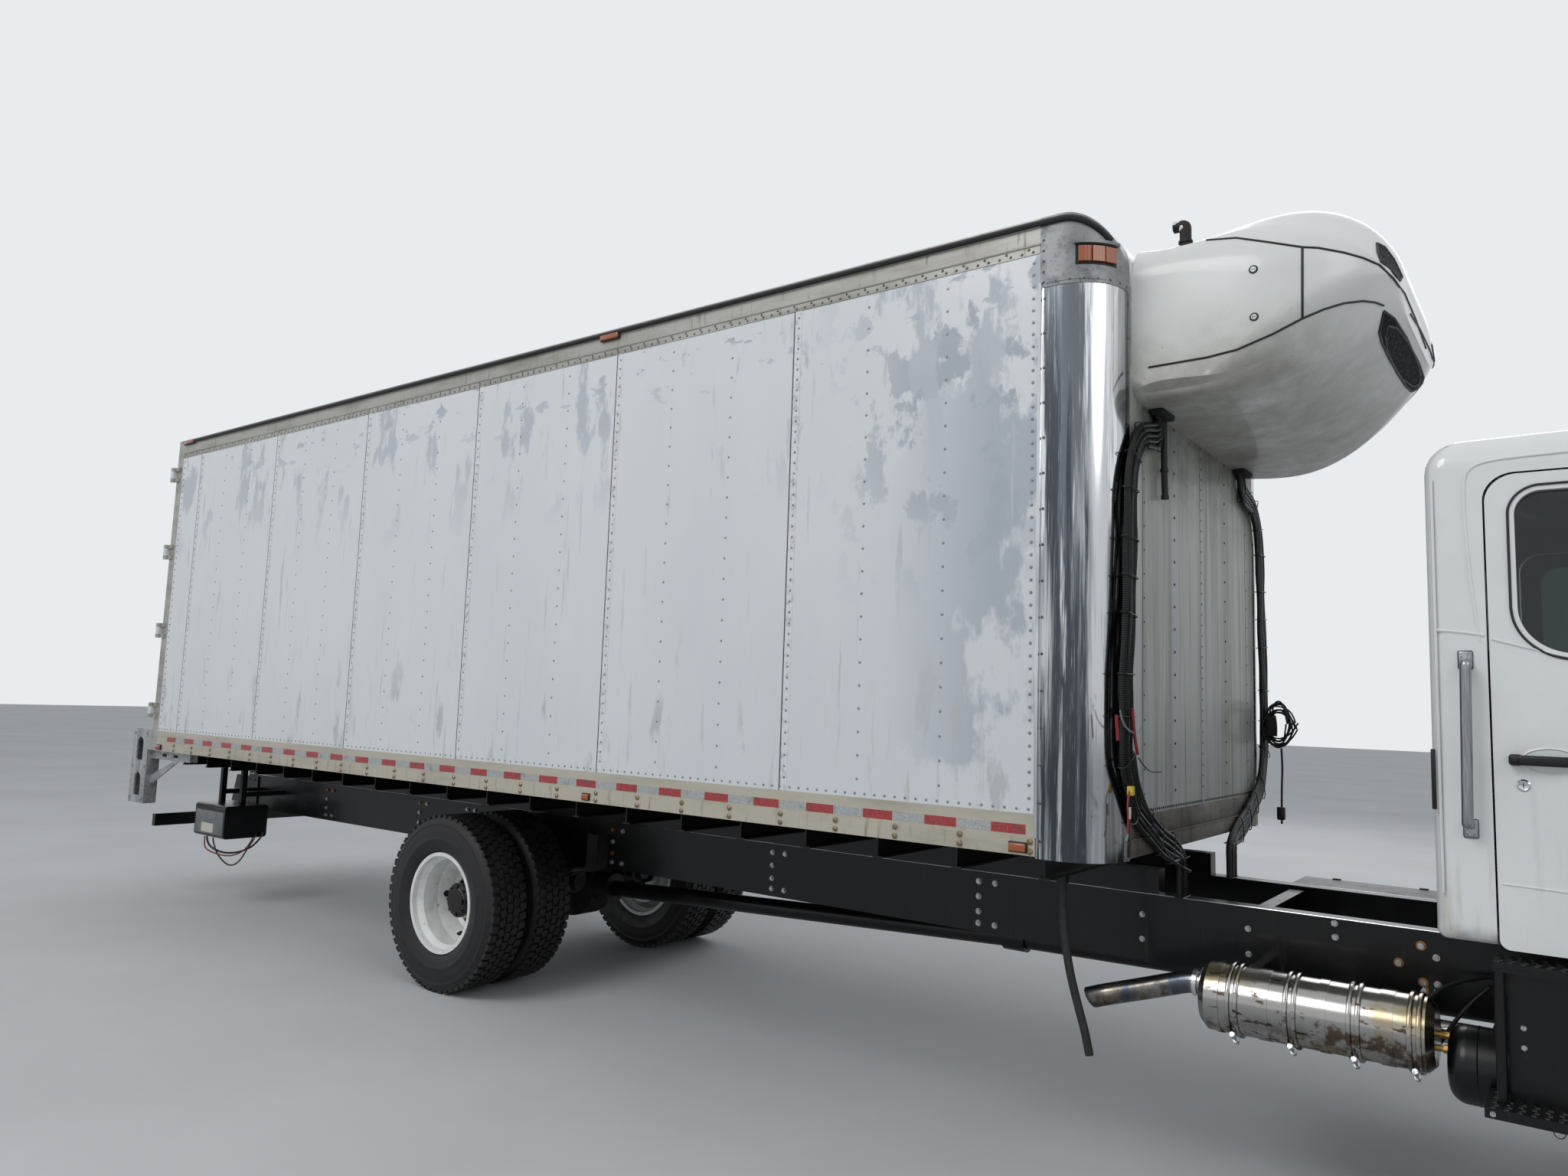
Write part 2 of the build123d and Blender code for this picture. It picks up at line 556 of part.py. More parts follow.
def engine_and_gearbox():
    """Plain heavy blocks at the real places, carried on four lugs."""
    engine = block(ENGINE_REAR_X, ENGINE_FRONT_X, -ENGINE_Y, ENGINE_Y, SUMP_Z, BLOCK_TOP_Z)
    engine += block(ENGINE_REAR_X, ENGINE_FRONT_X - 40, -HEAD_RIGHT_Y, HEAD_LEFT_Y, BLOCK_TOP_Z, ENGINE_TOP_Z)
    engine = chamfer(engine.edges().filter_by(Axis.Z), 30)
    gearbox = lengthwise([
        (-GEARBOX_HALF, GEARBOX_LOW_Z), (GEARBOX_HALF, GEARBOX_LOW_Z), (GEARBOX_WIDE_HALF, GEARBOX_WIDE_Z),
        (GEARBOX_HALF, GEARBOX_HIGH_Z), (-GEARBOX_HALF, GEARBOX_HIGH_Z), (-GEARBOX_WIDE_HALF, GEARBOX_WIDE_Z),
    ], GEARBOX_REAR_X, ENGINE_REAR_X + 10)
    shape = engine + gearbox
    for x in (ENGINE_REAR_X + ENGINE_LUG_PLACE, ENGINE_FRONT_X - ENGINE_LUG_PLACE - ENGINE_LUG_LENGTH):
        shape += block(x, x + ENGINE_LUG_LENGTH, -WEB_Y, WEB_Y, ENGINE_LUG_LOW_Z, ENGINE_LUG_HIGH_Z)
    return shape


RADIATOR_Y = 330
RADIATOR_TOP_Z = 1400
RADIATOR_TANK = 70  # height of the tank on top
TANK_OVERHANG = 15  # of that tank past the core, to each side


def radiator():
    """Core that stands on saddles of the rails, with its tank on top."""
    core = block(RADIATOR_X, RADIATOR_X + RADIATOR_DEPTH, -RADIATOR_Y, RADIATOR_Y,
                 FRAME_BOTTOM_Z + RADIATOR_SADDLE, RADIATOR_TOP_Z)
    half = RADIATOR_Y + TANK_OVERHANG
    tanks = block(RADIATOR_X - 12, RADIATOR_X + RADIATOR_DEPTH + 8, -half, half,
                  RADIATOR_TOP_Z - RADIATOR_TANK, RADIATOR_TOP_Z)
    return core + tanks


BUMPER_TOP_Z = 880
BUMPER_BOTTOM_Z = 470
BUMPER_THICKNESS = 30
TOW_EYE_RADIUS = 20
TOW_EYE_X = FRAME_FRONT_X + 42
TOW_EYE_Z = BUMPER_BOTTOM_Z - 50


def bumper():
    """Wrapped bumper with a tow eye below each rail."""
    outer = [
        (FRONT_END_X - 330, -FENDER_Y), (FRONT_END_X - 120, -FENDER_Y), (FRONT_END_X, -FENDER_Y + 330),
        (FRONT_END_X, FENDER_Y - 330), (FRONT_END_X - 120, FENDER_Y), (FRONT_END_X - 330, FENDER_Y),
    ]
    t = BUMPER_THICKNESS
    inner = [
        (FRONT_END_X - 340, -FENDER_Y + t), (FRONT_END_X - 140, -FENDER_Y + t),
        (FRONT_END_X - t, -FENDER_Y + 335 + t), (FRONT_END_X - t, FENDER_Y - 335 - t),
        (FRONT_END_X - 140, FENDER_Y - t), (FRONT_END_X - 340, FENDER_Y - t),
    ]
    shape = upward(outer, BUMPER_BOTTOM_Z, BUMPER_TOP_Z, [0, 60, 160, 160, 60, 0])
    shape -= upward(inner, BUMPER_BOTTOM_Z - 1, BUMPER_TOP_Z + 1, [0, 50, 130, 130, 50, 0])
    shape += both_sides(block(FRAME_FRONT_X, FRONT_END_X - t + 2, -FRAME_Y, -FRAME_Y + FRAME_FLANGE,
                              FRAME_BOTTOM_Z + 20, BUMPER_TOP_Z - 10))
    for side in (-1, 1):
        y = side * (FRAME_Y - FRAME_FLANGE / 2)
        eye = across([
            (FRAME_FRONT_X, TOW_EYE_Z - 42), (FRONT_END_X - t + 2, TOW_EYE_Z - 42),
            (FRONT_END_X - t + 2, FRAME_BOTTOM_Z + 22), (FRAME_FRONT_X, FRAME_BOTTOM_Z + 22),
        ], y - 15, y + 15)
        hole = rod((TOW_EYE_X, y - 20, TOW_EYE_Z), (TOW_EYE_X, y + 20, TOW_EYE_Z), TOW_EYE_RADIUS)
        shape += eye - hole
    return shape


# Exhaust, tanks and battery box, all hung on the rails
TAILPIPE_RADIUS = 42
INLET_RADIUS = 40
INLET_Y = -482
INLET_Z = 680


def exhaust():
    """Canister with a hanger at each end, its inlet pipe and the bent tail pipe."""
    x0 = CANISTER_REAR_X
    x1 = x0 + CANISTER_LENGTH
    y = CANISTER_Y
    z = CANISTER_Z
    shape = rod((x0, y, z), (x1, y, z), CANISTER_RADIUS)
    shape = chamfer(shape.edges(), 25)
    tail = tube([
        (x0 + 5, y, z + 36), (x0 - 60, y, z + 36), (x0 - 240, y - 12, z - 24), (x0 - 390, y - 24, z - 72),
        (x0 - 482, y - 32, z - 106),
    ], [160, 300, 300], TAILPIPE_RADIUS)
    tail -= across([
        (x0 - 560, z - 20), (x0 - 478, z - 40), (x0 - 398, z - 160), (x0 - 410, z - 240), (x0 - 560, z - 240),
    ], y - 120, y + 60)
    inlet = tube([
        (x1 - 150, y + 60, INLET_Z), (x1 - 150, INLET_Y, INLET_Z), (ENGINE_REAR_X + 140, INLET_Y, INLET_Z),
        (ENGINE_REAR_X + 140, -ENGINE_Y, INLET_Z),
    ], [90, 90], INLET_RADIUS)
    for x in (x0 + 130, x1 - 60):
        shape += block(x - 20, x + 20, y + 80, -FRAME_Y, z + 45, z + 85)
    return shape + tail + inlet


AIR_TANK_LENGTH = 900


def air_tank():
    """Domed tank that hangs from two brackets."""
    x0 = CAB_REAR_X
    x1 = x0 + AIR_TANK_LENGTH
    shape = rod((x0, AIR_TANK_Y, AIR_TANK_Z), (x1, AIR_TANK_Y, AIR_TANK_Z), AIR_TANK_RADIUS)
    shape = fillet(shape.edges(), 55)
    for x in (x0 + 150, x1 - 150):
        shape += block(x - 25, x + 25, AIR_TANK_Y + 40, -FRAME_Y, FRAME_BOTTOM_Z + 10, FRAME_BOTTOM_Z + 40)
    return shape


TANK_LOW_Z = 450
TANK_HIGH_Z = 1000
TANK_EDGE = 80  # rounding of the tank's long edges
NECK_RADIUS = 38
STEP_REAR_X = CAB_REAR_X + 125
STEP_FRONT_X = CAB_REAR_X + 1025
STEP_DEPTH = 235


def fuel_tank():
    """Tank with rounded edges on two brackets, its filler neck on top."""
    x0 = STEP_REAR_X + 110
    x1 = STEP_FRONT_X - 65
    y0 = FRAME_Y + 30
    y1 = STEP_OUTER_Y - STEP_DEPTH - 10
    section = [(y0, TANK_LOW_Z), (y1, TANK_LOW_Z), (y1, TANK_HIGH_Z), (y0, TANK_HIGH_Z)]
    shape = lengthwise(section, x0, x1, TANK_EDGE)
    for x in (x0 + 120, x1 - 120):
        shape += block(x - 30, x + 30, FRAME_Y, y0 + 20, 780, 900)
    shape += rod((x1 - 90, y1 - 90, TANK_HIGH_Z - 40), (x1 - 90, y1 - 30, TANK_HIGH_Z + 40), NECK_RADIUS)
    return shape


STEP_PLATE = 30
RISER_Y = 1020
STEP_TUBE_RADIUS = 16
STEP_BRACKET_Z = 800
STEP_BRACKET = 40


def entry_steps():
    """Two treads under each cab door with a riser plate between them."""
    outer = STEP_OUTER_Y
    shape = block(STEP_REAR_X, STEP_FRONT_X, -outer, -outer + STEP_DEPTH, STEP_LOWER_Z, STEP_LOWER_Z + STEP_PLATE)
    shape += block(STEP_REAR_X + 30, STEP_FRONT_X, -outer + 60, -outer + 190,
                   STEP_UPPER_Z - STEP_PLATE, STEP_UPPER_Z)
    shape += block(STEP_REAR_X + 60, STEP_FRONT_X, -RISER_Y, -RISER_Y + 12, STEP_LOWER_Z + STEP_PLATE - 1,
                   STEP_UPPER_Z - STEP_PLATE + 1)
    for x in (STEP_REAR_X + 45, STEP_FRONT_X - 25):
        shape += rod((x, -outer + 75, STEP_LOWER_Z + 5), (x, -outer + 75, STEP_UPPER_Z - 5), STEP_TUBE_RADIUS)
    for x in (STEP_REAR_X + 62, STEP_FRONT_X - 40):
        shape += block(x, x + 30, -RISER_Y + 2, -FRAME_Y, STEP_BRACKET_Z, STEP_BRACKET_Z + STEP_BRACKET)
    return both_sides(shape)


BATTERY_REAR_X = BOX_FRONT_X + 225
BATTERY_LENGTH = 690
BATTERY_OUTER_Y = 1050
BATTERY_LOW_Z = 560
BATTERY_HIGH_Z = 980


def battery_box():
    """Box with rounded edges on a bracket off the rail."""
    x0 = BATTERY_REAR_X
    shape = block(x0, x0 + BATTERY_LENGTH, FRAME_Y + 70, BATTERY_OUTER_Y, BATTERY_LOW_Z, BATTERY_HIGH_Z)
    shape = fillet(shape.edges().filter_by(Axis.X), 25)
    return shape + block(x0 + 40, x0 + BATTERY_LENGTH - 40, FRAME_Y, FRAME_Y + 80, 780, 840)


# Rear end below the doors
POST_LENGTH = 280
POST_WIDTH = 100
POST_TOP_Z = 1400
POST_BOTTOM_Z = 790
POCKET_WIDTH = 120
POCKET_HEIGHT = 190
POCKET_HEIGHTS = (945, 1235)
POST_WALL = 12
SILL_PLATE = 32
BRACKET_HEIGHT = 72
BRACKET_OUTER_Y = 1180
BRACKET_INNER_Y = 1120
BRACE_FOOT_Z = 960


def rear_step():
    """Step posts with D-shaped pockets, their side brackets and the sill plate between them."""
    x0 = REAR_END_X
    x1 = x0 + POST_LENGTH
    y0 = -HALF_WIDTH
    y1 = y0 + POST_WIDTH
    bent = [
        (x0, POST_BOTTOM_Z), (x0 + POST_WALL, POST_BOTTOM_Z), (x0 + POST_WALL, POST_TOP_Z - POST_WALL),
        (x1 - POST_WALL, POST_TOP_Z - POST_WALL), (x1 - POST_WALL, POST_BOTTOM_Z), (x1, POST_BOTTOM_Z),
        (x1, POST_TOP_Z), (x0, POST_TOP_Z),
    ]
    right = [across(bent, y0 + POST_WALL, y1 - POST_WALL)]
    for y in (y0, y1 - POST_WALL):
        plate = block(x0, x1, y, y + POST_WALL, POST_BOTTOM_Z, POST_TOP_Z)
        for z in POCKET_HEIGHTS:
            plate -= step_pocket((x0 + x1) / 2, y, z)
        right.append(plate)
    beam_top = FLOOR_BOTTOM_Z
    bracket = block(x1, BOX_REAR_X, y0, y1, beam_top, POST_TOP_Z)
    bracket += block(x1, BOX_REAR_X + 620, -BRACKET_OUTER_Y, -BRACKET_INNER_Y, beam_top - BRACKET_HEIGHT, beam_top)
    bracket += across([
        (x1, BRACE_FOOT_Z), (x1 + 50, BRACE_FOOT_Z), (BOX_REAR_X + 420, beam_top - BRACKET_HEIGHT),
        (BOX_REAR_X + 360, beam_top - BRACKET_HEIGHT), (x1, BRACE_FOOT_Z + 60),
    ], -BRACKET_OUTER_Y, -BRACKET_OUTER_Y + 12)
    right.append(bracket)
    sill = block(x0, BOX_REAR_X, y1, -y1, FLOOR_TOP_Z - SILL_PLATE, FLOOR_TOP_Z)
    sill += block(BOX_REAR_X - 12, BOX_REAR_X, y1, -y1, FLOOR_BOTTOM_Z, FLOOR_TOP_Z - SILL_PLATE)
    return Compound(children=right + [other_side(shape) for shape in right] + [sill])


def step_pocket(x, y, z):
    """What is cut from a post's plate for one pocket: square below, round above."""
    half = POCKET_WIDTH / 2
    low = z - POCKET_HEIGHT / 2
    high = z + POCKET_HEIGHT / 2
    outline = [(x - half, low), (x + half, low), (x + half, high), (x - half, high)]
    return across(outline, y - 1, y + POST_WALL + 1, [10, 10, 55, 55])


GUARD_Y = 1070
GUARD_X = BOX_REAR_X - 150
PLATE_HOLE_RADIUS = 4
PLATE_HOLE_SPACING = 178
GUARD_LOW_Z = 590
GUARD_HIGH_Z = 690
PLATE_HOLE_Z = GUARD_HIGH_Z + 120


def underride_guard():
    """Cross bar below the tail on two uprights bolted to the rails."""
    shape = block(GUARD_X - 50, GUARD_X, -GUARD_Y, GUARD_Y, GUARD_LOW_Z, GUARD_HIGH_Z)
    upright = [
        (GUARD_X - 10, GUARD_LOW_Z + 10), (GUARD_X + 40, GUARD_LOW_Z + 10), (FRAME_REAR_X + 180, FRAME_BOTTOM_Z + 20),
        (FRAME_REAR_X + 180, FRAME_TOP_Z - 20), (GUARD_X + 60, FRAME_TOP_Z - 20), (GUARD_X - 10, GUARD_HIGH_Z + 60),
    ]
    shape += both_sides(across(upright, -FRAME_Y - 12, -FRAME_Y))
    plate = block(GUARD_X - 50, GUARD_X - 42, -150, 150, GUARD_HIGH_Z - 1, GUARD_HIGH_Z + 150)
    for y in (-PLATE_HOLE_SPACING / 2, PLATE_HOLE_SPACING / 2):
        plate -= rod((GUARD_X - 60, y, PLATE_HOLE_Z), (GUARD_X - 30, y, PLATE_HOLE_Z), PLATE_HOLE_RADIUS)
    return shape + plate


PACK_REAR_X = BOX_REAR_X + 250
PACK_LENGTH = 500
PACK_OUTER_Y = 930
PACK_INNER_Y = 580
PACK_LOW_Z = 555
PACK_HIGH_Z = 815
PACK_ARM_Z = 880
STRAP_Y = 780
STRAP_WIDTH = 40


def power_pack():
    """Box of the lift's power pack, hung below the floor on two straps."""
    x0 = PACK_REAR_X
    x1 = x0 + PACK_LENGTH
    box = block(x0, x1, -PACK_OUTER_Y, -PACK_INNER_Y, PACK_LOW_Z, PACK_HIGH_Z)
    box = fillet(box.edges().filter_by(Axis.X), 25)
    for x in (x0 + 60, x1 - 60 - STRAP_WIDTH):
        box += block(x, x + STRAP_WIDTH, -STRAP_Y, -STRAP_Y + STRAP_WIDTH, PACK_HIGH_Z - 15, SILL_TOP_Z)
        box += block(x, x + STRAP_WIDTH, -STRAP_Y, -FRAME_Y, PACK_ARM_Z, PACK_ARM_Z + STRAP_WIDTH)
    return box


# Box body. Every piece is cut from one envelope, so that the outside runs on from piece to piece.
def envelope():
    body = block(BOX_REAR_X, BOX_FRONT_X, -HALF_WIDTH, HALF_WIDTH, CORNER_FOOT_Z, ROOF_Z)
    corners = body.edges().filter_by(Axis.Z).group_by(Axis.X)[-1]
    rounded = fillet(corners, CORNER_RADIUS)
    nose = across([
        (BOX_REAR_X, CORNER_FOOT_Z), (BOX_FRONT_X, CORNER_FOOT_Z), (BOX_FRONT_X, ROOF_Z), (BOX_REAR_X, ROOF_Z),
    ], -HALF_WIDTH, HALF_WIDTH, [0, 0, ROOF_NOSE_RADIUS, 0])
    return rounded & nose


DRIP_EDGE = 8
RAIL_LEDGE = 6
RAIL_LEDGE_HEIGHT = 70


def box_pieces():
    whole = envelope()
    hollow = block(BOX_REAR_X - 1, INNER_FRONT_X, -INNER_Y, INNER_Y, FLOOR_TOP_Z, CEILING_Z)
    floor = block(PANEL_REAR_X, INNER_FRONT_X, -INNER_Y, INNER_Y, FLOOR_BOTTOM_Z, FLOOR_TOP_Z)
    wall = block(PANEL_REAR_X, PANEL_FRONT_X, -HALF_WIDTH, -INNER_Y, FLOOR_TOP_Z, WALL_TOP_Z)
    top = block(PANEL_REAR_X, PANEL_FRONT_X, -HALF_WIDTH, -INNER_Y, WALL_TOP_Z, ROOF_Z)
    top += block(PANEL_REAR_X, PANEL_FRONT_X, -HALF_WIDTH - DRIP_EDGE, -HALF_WIDTH, ROOF_Z - 40, ROOF_Z - 10)
    low = block(PANEL_REAR_X, PANEL_FRONT_X, -HALF_WIDTH, -INNER_Y, FLOOR_BOTTOM_Z, FLOOR_TOP_Z)
    low += block(PANEL_REAR_X, PANEL_FRONT_X, -HALF_WIDTH - RAIL_LEDGE, -HALF_WIDTH,
                 FLOOR_BOTTOM_Z, FLOOR_BOTTOM_Z + RAIL_LEDGE_HEIGHT)
    corner_zone = block(PANEL_FRONT_X, BOX_FRONT_X, -HALF_WIDTH, -FRONT_WALL_Y, CORNER_FOOT_Z, ROOF_Z)
    inner_zone = block(PANEL_FRONT_X - 1, INNER_FRONT_X, -INNER_Y, INNER_Y, CORNER_FOOT_Z - 1, CEILING_Z)
    corner = (whole & corner_zone) - inner_zone
    below = block(PANEL_FRONT_X, BOX_FRONT_X, -HALF_WIDTH, 0, CORNER_FOOT_Z, CORNER_CAP_Z)
    post = corner & below
    cap = corner - below
    front = whole & block(INNER_FRONT_X, BOX_FRONT_X, -FRONT_WALL_Y, FRONT_WALL_Y, FLOOR_BOTTOM_Z, CEILING_Z - ROOF_NOSE_RADIUS)
    roof = block(PANEL_REAR_X, PANEL_FRONT_X, -INNER_Y, INNER_Y, CEILING_Z, ROOF_Z)
    roof += (whole & block(PANEL_FRONT_X, BOX_FRONT_X, -FRONT_WALL_Y, FRONT_WALL_Y,
                           CEILING_Z - ROOF_NOSE_RADIUS, ROOF_Z)) - inner_zone
    frame_ring = block(BOX_REAR_X, PANEL_REAR_X, -HALF_WIDTH, HALF_WIDTH, FLOOR_BOTTOM_Z, ROOF_Z)
    frame_ring -= block(BOX_REAR_X - 1, PANEL_REAR_X + 1, -HALF_WIDTH + REAR_POST_WIDTH,
                        HALF_WIDTH - REAR_POST_WIDTH, REAR_SILL_Z, REAR_HEADER_Z)
    pieces["box_floor"] = floor
    pieces["side_walls"] = both_sides(wall)
    pieces["top_rails"] = both_sides(top)
    pieces["bottom_rails"] = both_sides(low)
    pieces["corner_posts"] = both_sides(post)
    pieces["corner_caps"] = both_sides(cap)
    pieces["front_wall"] = front
    pieces["box_roof"] = roof
    pieces["rear_frame"] = frame_ring + rear_hinge_lugs()


REAR_HINGE_X = BOX_REAR_X - REAR_HINGE_OUT
REAR_HINGE_Y = HALF_WIDTH + REAR_HINGE_OUT
REAR_KNUCKLE = 60  # height of the door's knuckle
LUG_HEIGHT = 30


def rear_hinge_lugs():
    """Lugs on the side of the rear frame that hold each hinge pin above and below the knuckle."""
    shape = None
    for z in REAR_HINGE_HEIGHTS:
        half = REAR_KNUCKLE / 2 + END_PLAY
        pin = rod((REAR_HINGE_X, -REAR_HINGE_Y, z - half - LUG_HEIGHT),
                  (REAR_HINGE_X, -REAR_HINGE_Y, z + half + LUG_HEIGHT), REAR_PIN_RADIUS)
        group = pin
        for low in (z - half - LUG_HEIGHT, z + half):
            lug = rod((REAR_HINGE_X, -REAR_HINGE_Y, low), (REAR_HINGE_X, -REAR_HINGE_Y, low + LUG_HEIGHT),
                      REAR_BARREL_RADIUS)
            lug += block(REAR_HINGE_X, BOX_REAR_X + 60, -HALF_WIDTH - 14, -HALF_WIDTH, low, low + LUG_HEIGHT)
            lug += block(REAR_HINGE_X, BOX_REAR_X, -REAR_HINGE_Y, -HALF_WIDTH, low, low + LUG_HEIGHT)
            group += lug
        shape = group if shape is None else shape + group
    return both_sides(shape)


def rear_door(side):
    """Door leaf with its four hinge straps."""
    z0 = REAR_SILL_Z + REAR_DOOR_GAP
    z1 = REAR_HEADER_Z - REAR_DOOR_GAP
    outer = HALF_WIDTH - REAR_POST_WIDTH - REAR_DOOR_GAP
    leaf = block(BOX_REAR_X, BOX_REAR_X + REAR_DOOR_THICKNESS, -outer, -REAR_DOOR_SPLIT, z0, z1)
    for z in REAR_HINGE_HEIGHTS:
        half = REAR_KNUCKLE / 2
        strap = block(BOX_REAR_X - 19, BOX_REAR_X - 6, -REAR_HINGE_Y, -outer + 110, z - half, z + half)
        strap += block(BOX_REAR_X - 7, BOX_REAR_X, -outer, -outer + 110, z - half, z + half)
        strap += rod((REAR_HINGE_X, -REAR_HINGE_Y, z - half), (REAR_HINGE_X, -REAR_HINGE_Y, z + half),
                     REAR_BARREL_RADIUS)
        strap -= rod((REAR_HINGE_X, -REAR_HINGE_Y, z - half - 1), (REAR_HINGE_X, -REAR_HINGE_Y, z + half + 1),
                     REAR_PIN_RADIUS + PIN_CLEARANCE)
        leaf += strap
    return leaf if side < 0 else other_side(leaf)


LOCK_ROD_RADIUS = 13
LOCK_ROD_YS = (250, 800)
LOCK_ROD_X = BOX_REAR_X - 20
LOCK_HANDLE = 220


def lock_rods(side):
    """Two lock rods in their guides, each with a handle."""
    z0 = REAR_SILL_Z + REAR_DOOR_GAP + 20
    z1 = REAR_HEADER_Z - REAR_DOOR_GAP - 20
    group = None
    for y in LOCK_ROD_YS:
        bar = rod((LOCK_ROD_X, -y, z0), (LOCK_ROD_X, -y, z1), LOCK_ROD_RADIUS)
        for z in (z0 + 20, z0 + 640, z0 + 1500, z1 - 80):
            bar += block(BOX_REAR_X - 34, BOX_REAR_X, -y - 30, -y + 30, z, z + 60)
        reach = -LOCK_HANDLE if y == LOCK_ROD_YS[0] else LOCK_HANDLE
        bar += block(BOX_REAR_X - 32, BOX_REAR_X - 16, min(-y, -y + reach), max(-y, -y + reach), z0 + 560, z0 + 590)
        group = bar if group is None else group + bar
    return group if side < 0 else other_side(group)


MIDDLE_LAMP = 2825  # front wall back to the lamps in the middle of the side
LAMP_PLACES = (  # x, z, length, height
    (BOX_REAR_X + 200, ROOF_Z - 30, 190, 34), (BOX_FRONT_X - MIDDLE_LAMP, ROOF_Z - 45, 150, 40),
    (BOX_FRONT_X - 345, FLOOR_BOTTOM_Z + 30, 95, 45), (BOX_REAR_X + 160, FLOOR_BOTTOM_Z + 30, 95, 45),
    (BOX_FRONT_X - MIDDLE_LAMP, FLOOR_BOTTOM_Z + 30, 60, 40),
)


def marker_lamps():
    """Side marker lamps and reflectors, both sides, and the row over the doors."""
    group = None
    for x, z, length, height in LAMP_PLACES:
        proud = HALF_WIDTH + (DRIP_EDGE if z > WALL_TOP_Z else RAIL_LEDGE)
        lamp = block(x - length / 2, x + length / 2, -proud - 16, -proud, z - height / 2, z + height / 2)
        group = lamp if group is None else group + lamp
    group = both_sides(group)
    for y in (-600, -160, 0, 160, 600):
        group += block(BOX_REAR_X - 20, BOX_REAR_X, y - 60, y + 60, ROOF_Z - 90, ROOF_Z - 55)
    return group


# Refrigeration unit: one moulded form through a few upright sections
UNIT_SECTIONS = (  # ahead of the wall; bottom, lower side, upper side, top over the roof; half widths there
    (0, -738, -680, -115, 5, 948, 640, 880),
    (390, -722, -650, -140, 42, 944, 640, 868),
    (670, -602, -490, -198, 70, 915, 574, 700),
    (838, -475, -355, -255, -30, 798, 500, 545),
    (924, -398, -358, -325, -258, 480, 343, 350),
)
UNIT_EDGE = 0.4  # how much of the shorter side each corner's rounding takes


def unit_section(row):
    """One upright section of the housing, with its eight corners rounded."""
    ahead, bottom, lower, upper, top, side, top_half, bottom_half = row
    points = [
        Vector(BOX_FRONT_X + ahead, y, ROOF_Z + z) for y, z in (
            (-bottom_half, bottom), (bottom_half, bottom), (side, lower), (side, upper),
            (top_half, top), (-top_half, top), (-side, upper), (-side, lower),
        )
    ]
    radii = []
    for before, point, after in zip(points[-1:] + points, points, points[1:] + points[:1]):
        first = before - point
        second = after - point
        corner = math.radians(first.get_angle(second))
        radii.append(UNIT_EDGE * min(first.length, second.length) * math.tan(corner / 2))
    return make_face(FilletPolyline(*points, radius=radii, close=True))


# Cable bundles down the front wall: flat, with rounded edges
CABLE_DEPTH = 44
CABLE_WIDTH = 110
CABLE_X = BOX_FRONT_X + CABLE_DEPTH / 2 + SEAT_GAP
CABLE_TOP_Z = UNIT_BOTTOM_Z - 20
CABLE_TOP_Y = 660


def unit_housing():
    """Moulded shell with a gland for each cable bundle."""
    shell = loft([unit_section(row) for row in UNIT_SECTIONS])
    gland = block(BOX_FRONT_X, CABLE_X + CABLE_DEPTH / 2 + 8, -CABLE_TOP_Y - CABLE_WIDTH / 2 - 12,
                  -CABLE_TOP_Y + CABLE_WIDTH / 2 + 12, CABLE_TOP_Z, UNIT_BOTTOM_Z + 30)
    return shell + both_sides(gland)


STUB_AHEAD = 125
STUB_FOOT_Z = ROOF_Z - 88  # inside the shell
STUB_RISE = 187
STUB_REACH = 50
STUB_RADIUS = 24
UNIT_STUB_Y = 620


def unit_exhaust():
    """Exhaust stub on top of the unit, bent back at its end."""
    x = BOX_FRONT_X + STUB_AHEAD
    return tube([
        (x, -UNIT_STUB_Y, STUB_FOOT_Z), (x, -UNIT_STUB_Y, STUB_FOOT_Z + STUB_RISE),
        (x - STUB_REACH, -UNIT_STUB_Y, STUB_FOOT_Z + STUB_RISE + 3),
    ], [30], STUB_RADIUS)


EVAPORATOR_WIDTH = 1500
EVAPORATOR_LENGTH = 560
EVAPORATOR_HEIGHT = 323
EVAPORATOR_LIP = 120
EVAPORATOR_SLOPE = 180


def evaporator():
    """Air outlet inside the load space, below the ceiling."""
    front = INNER_FRONT_X
    rear = front - EVAPORATOR_LENGTH
    low = CEILING_Z - EVAPORATOR_HEIGHT
    outline = [(rear, CEILING_Z), (rear, CEILING_Z - EVAPORATOR_LIP), (rear + EVAPORATOR_SLOPE, low), (front, low),
               (front, CEILING_Z)]
    return across(outline, -EVAPORATOR_WIDTH / 2, EVAPORATOR_WIDTH / 2)


CABLE_FOOT_Y = FRAME_Y - FRAME_FLANGE / 2
CABLE_UPPER_Z = CABLE_TOP_Z - 590
CABLE_LOWER_Z = FLOOR_TOP_Z + 226
CABLE_SPAN = CABLE_UPPER_Z - CABLE_LOWER_Z
CABLE_ROUTE = (  # distance from the middle and height, with the bend's radius there
    (CABLE_TOP_Y, CABLE_TOP_Z, 0), (CABLE_TOP_Y, CABLE_TOP_Z - 90, 70), (900, CABLE_TOP_Z - 140, 90),
    (1000, CABLE_TOP_Z - 250, 120), (1030, CABLE_TOP_Z - 390, 250), (1035, CABLE_UPPER_Z, 400),
    (1055, CABLE_LOWER_Z + 0.65 * CABLE_SPAN, 500), (1080, CABLE_LOWER_Z + 0.38 * CABLE_SPAN, 500),
    (1080, CABLE_LOWER_Z, 300), (980, FLOOR_TOP_Z + 36, 200), (700, FLOOR_TOP_Z - 104, 250),
    (CABLE_FOOT_Y, FRAME_TOP_Z + 165, 70), (CABLE_FOOT_Y, FRAME_TOP_Z, 0),
)


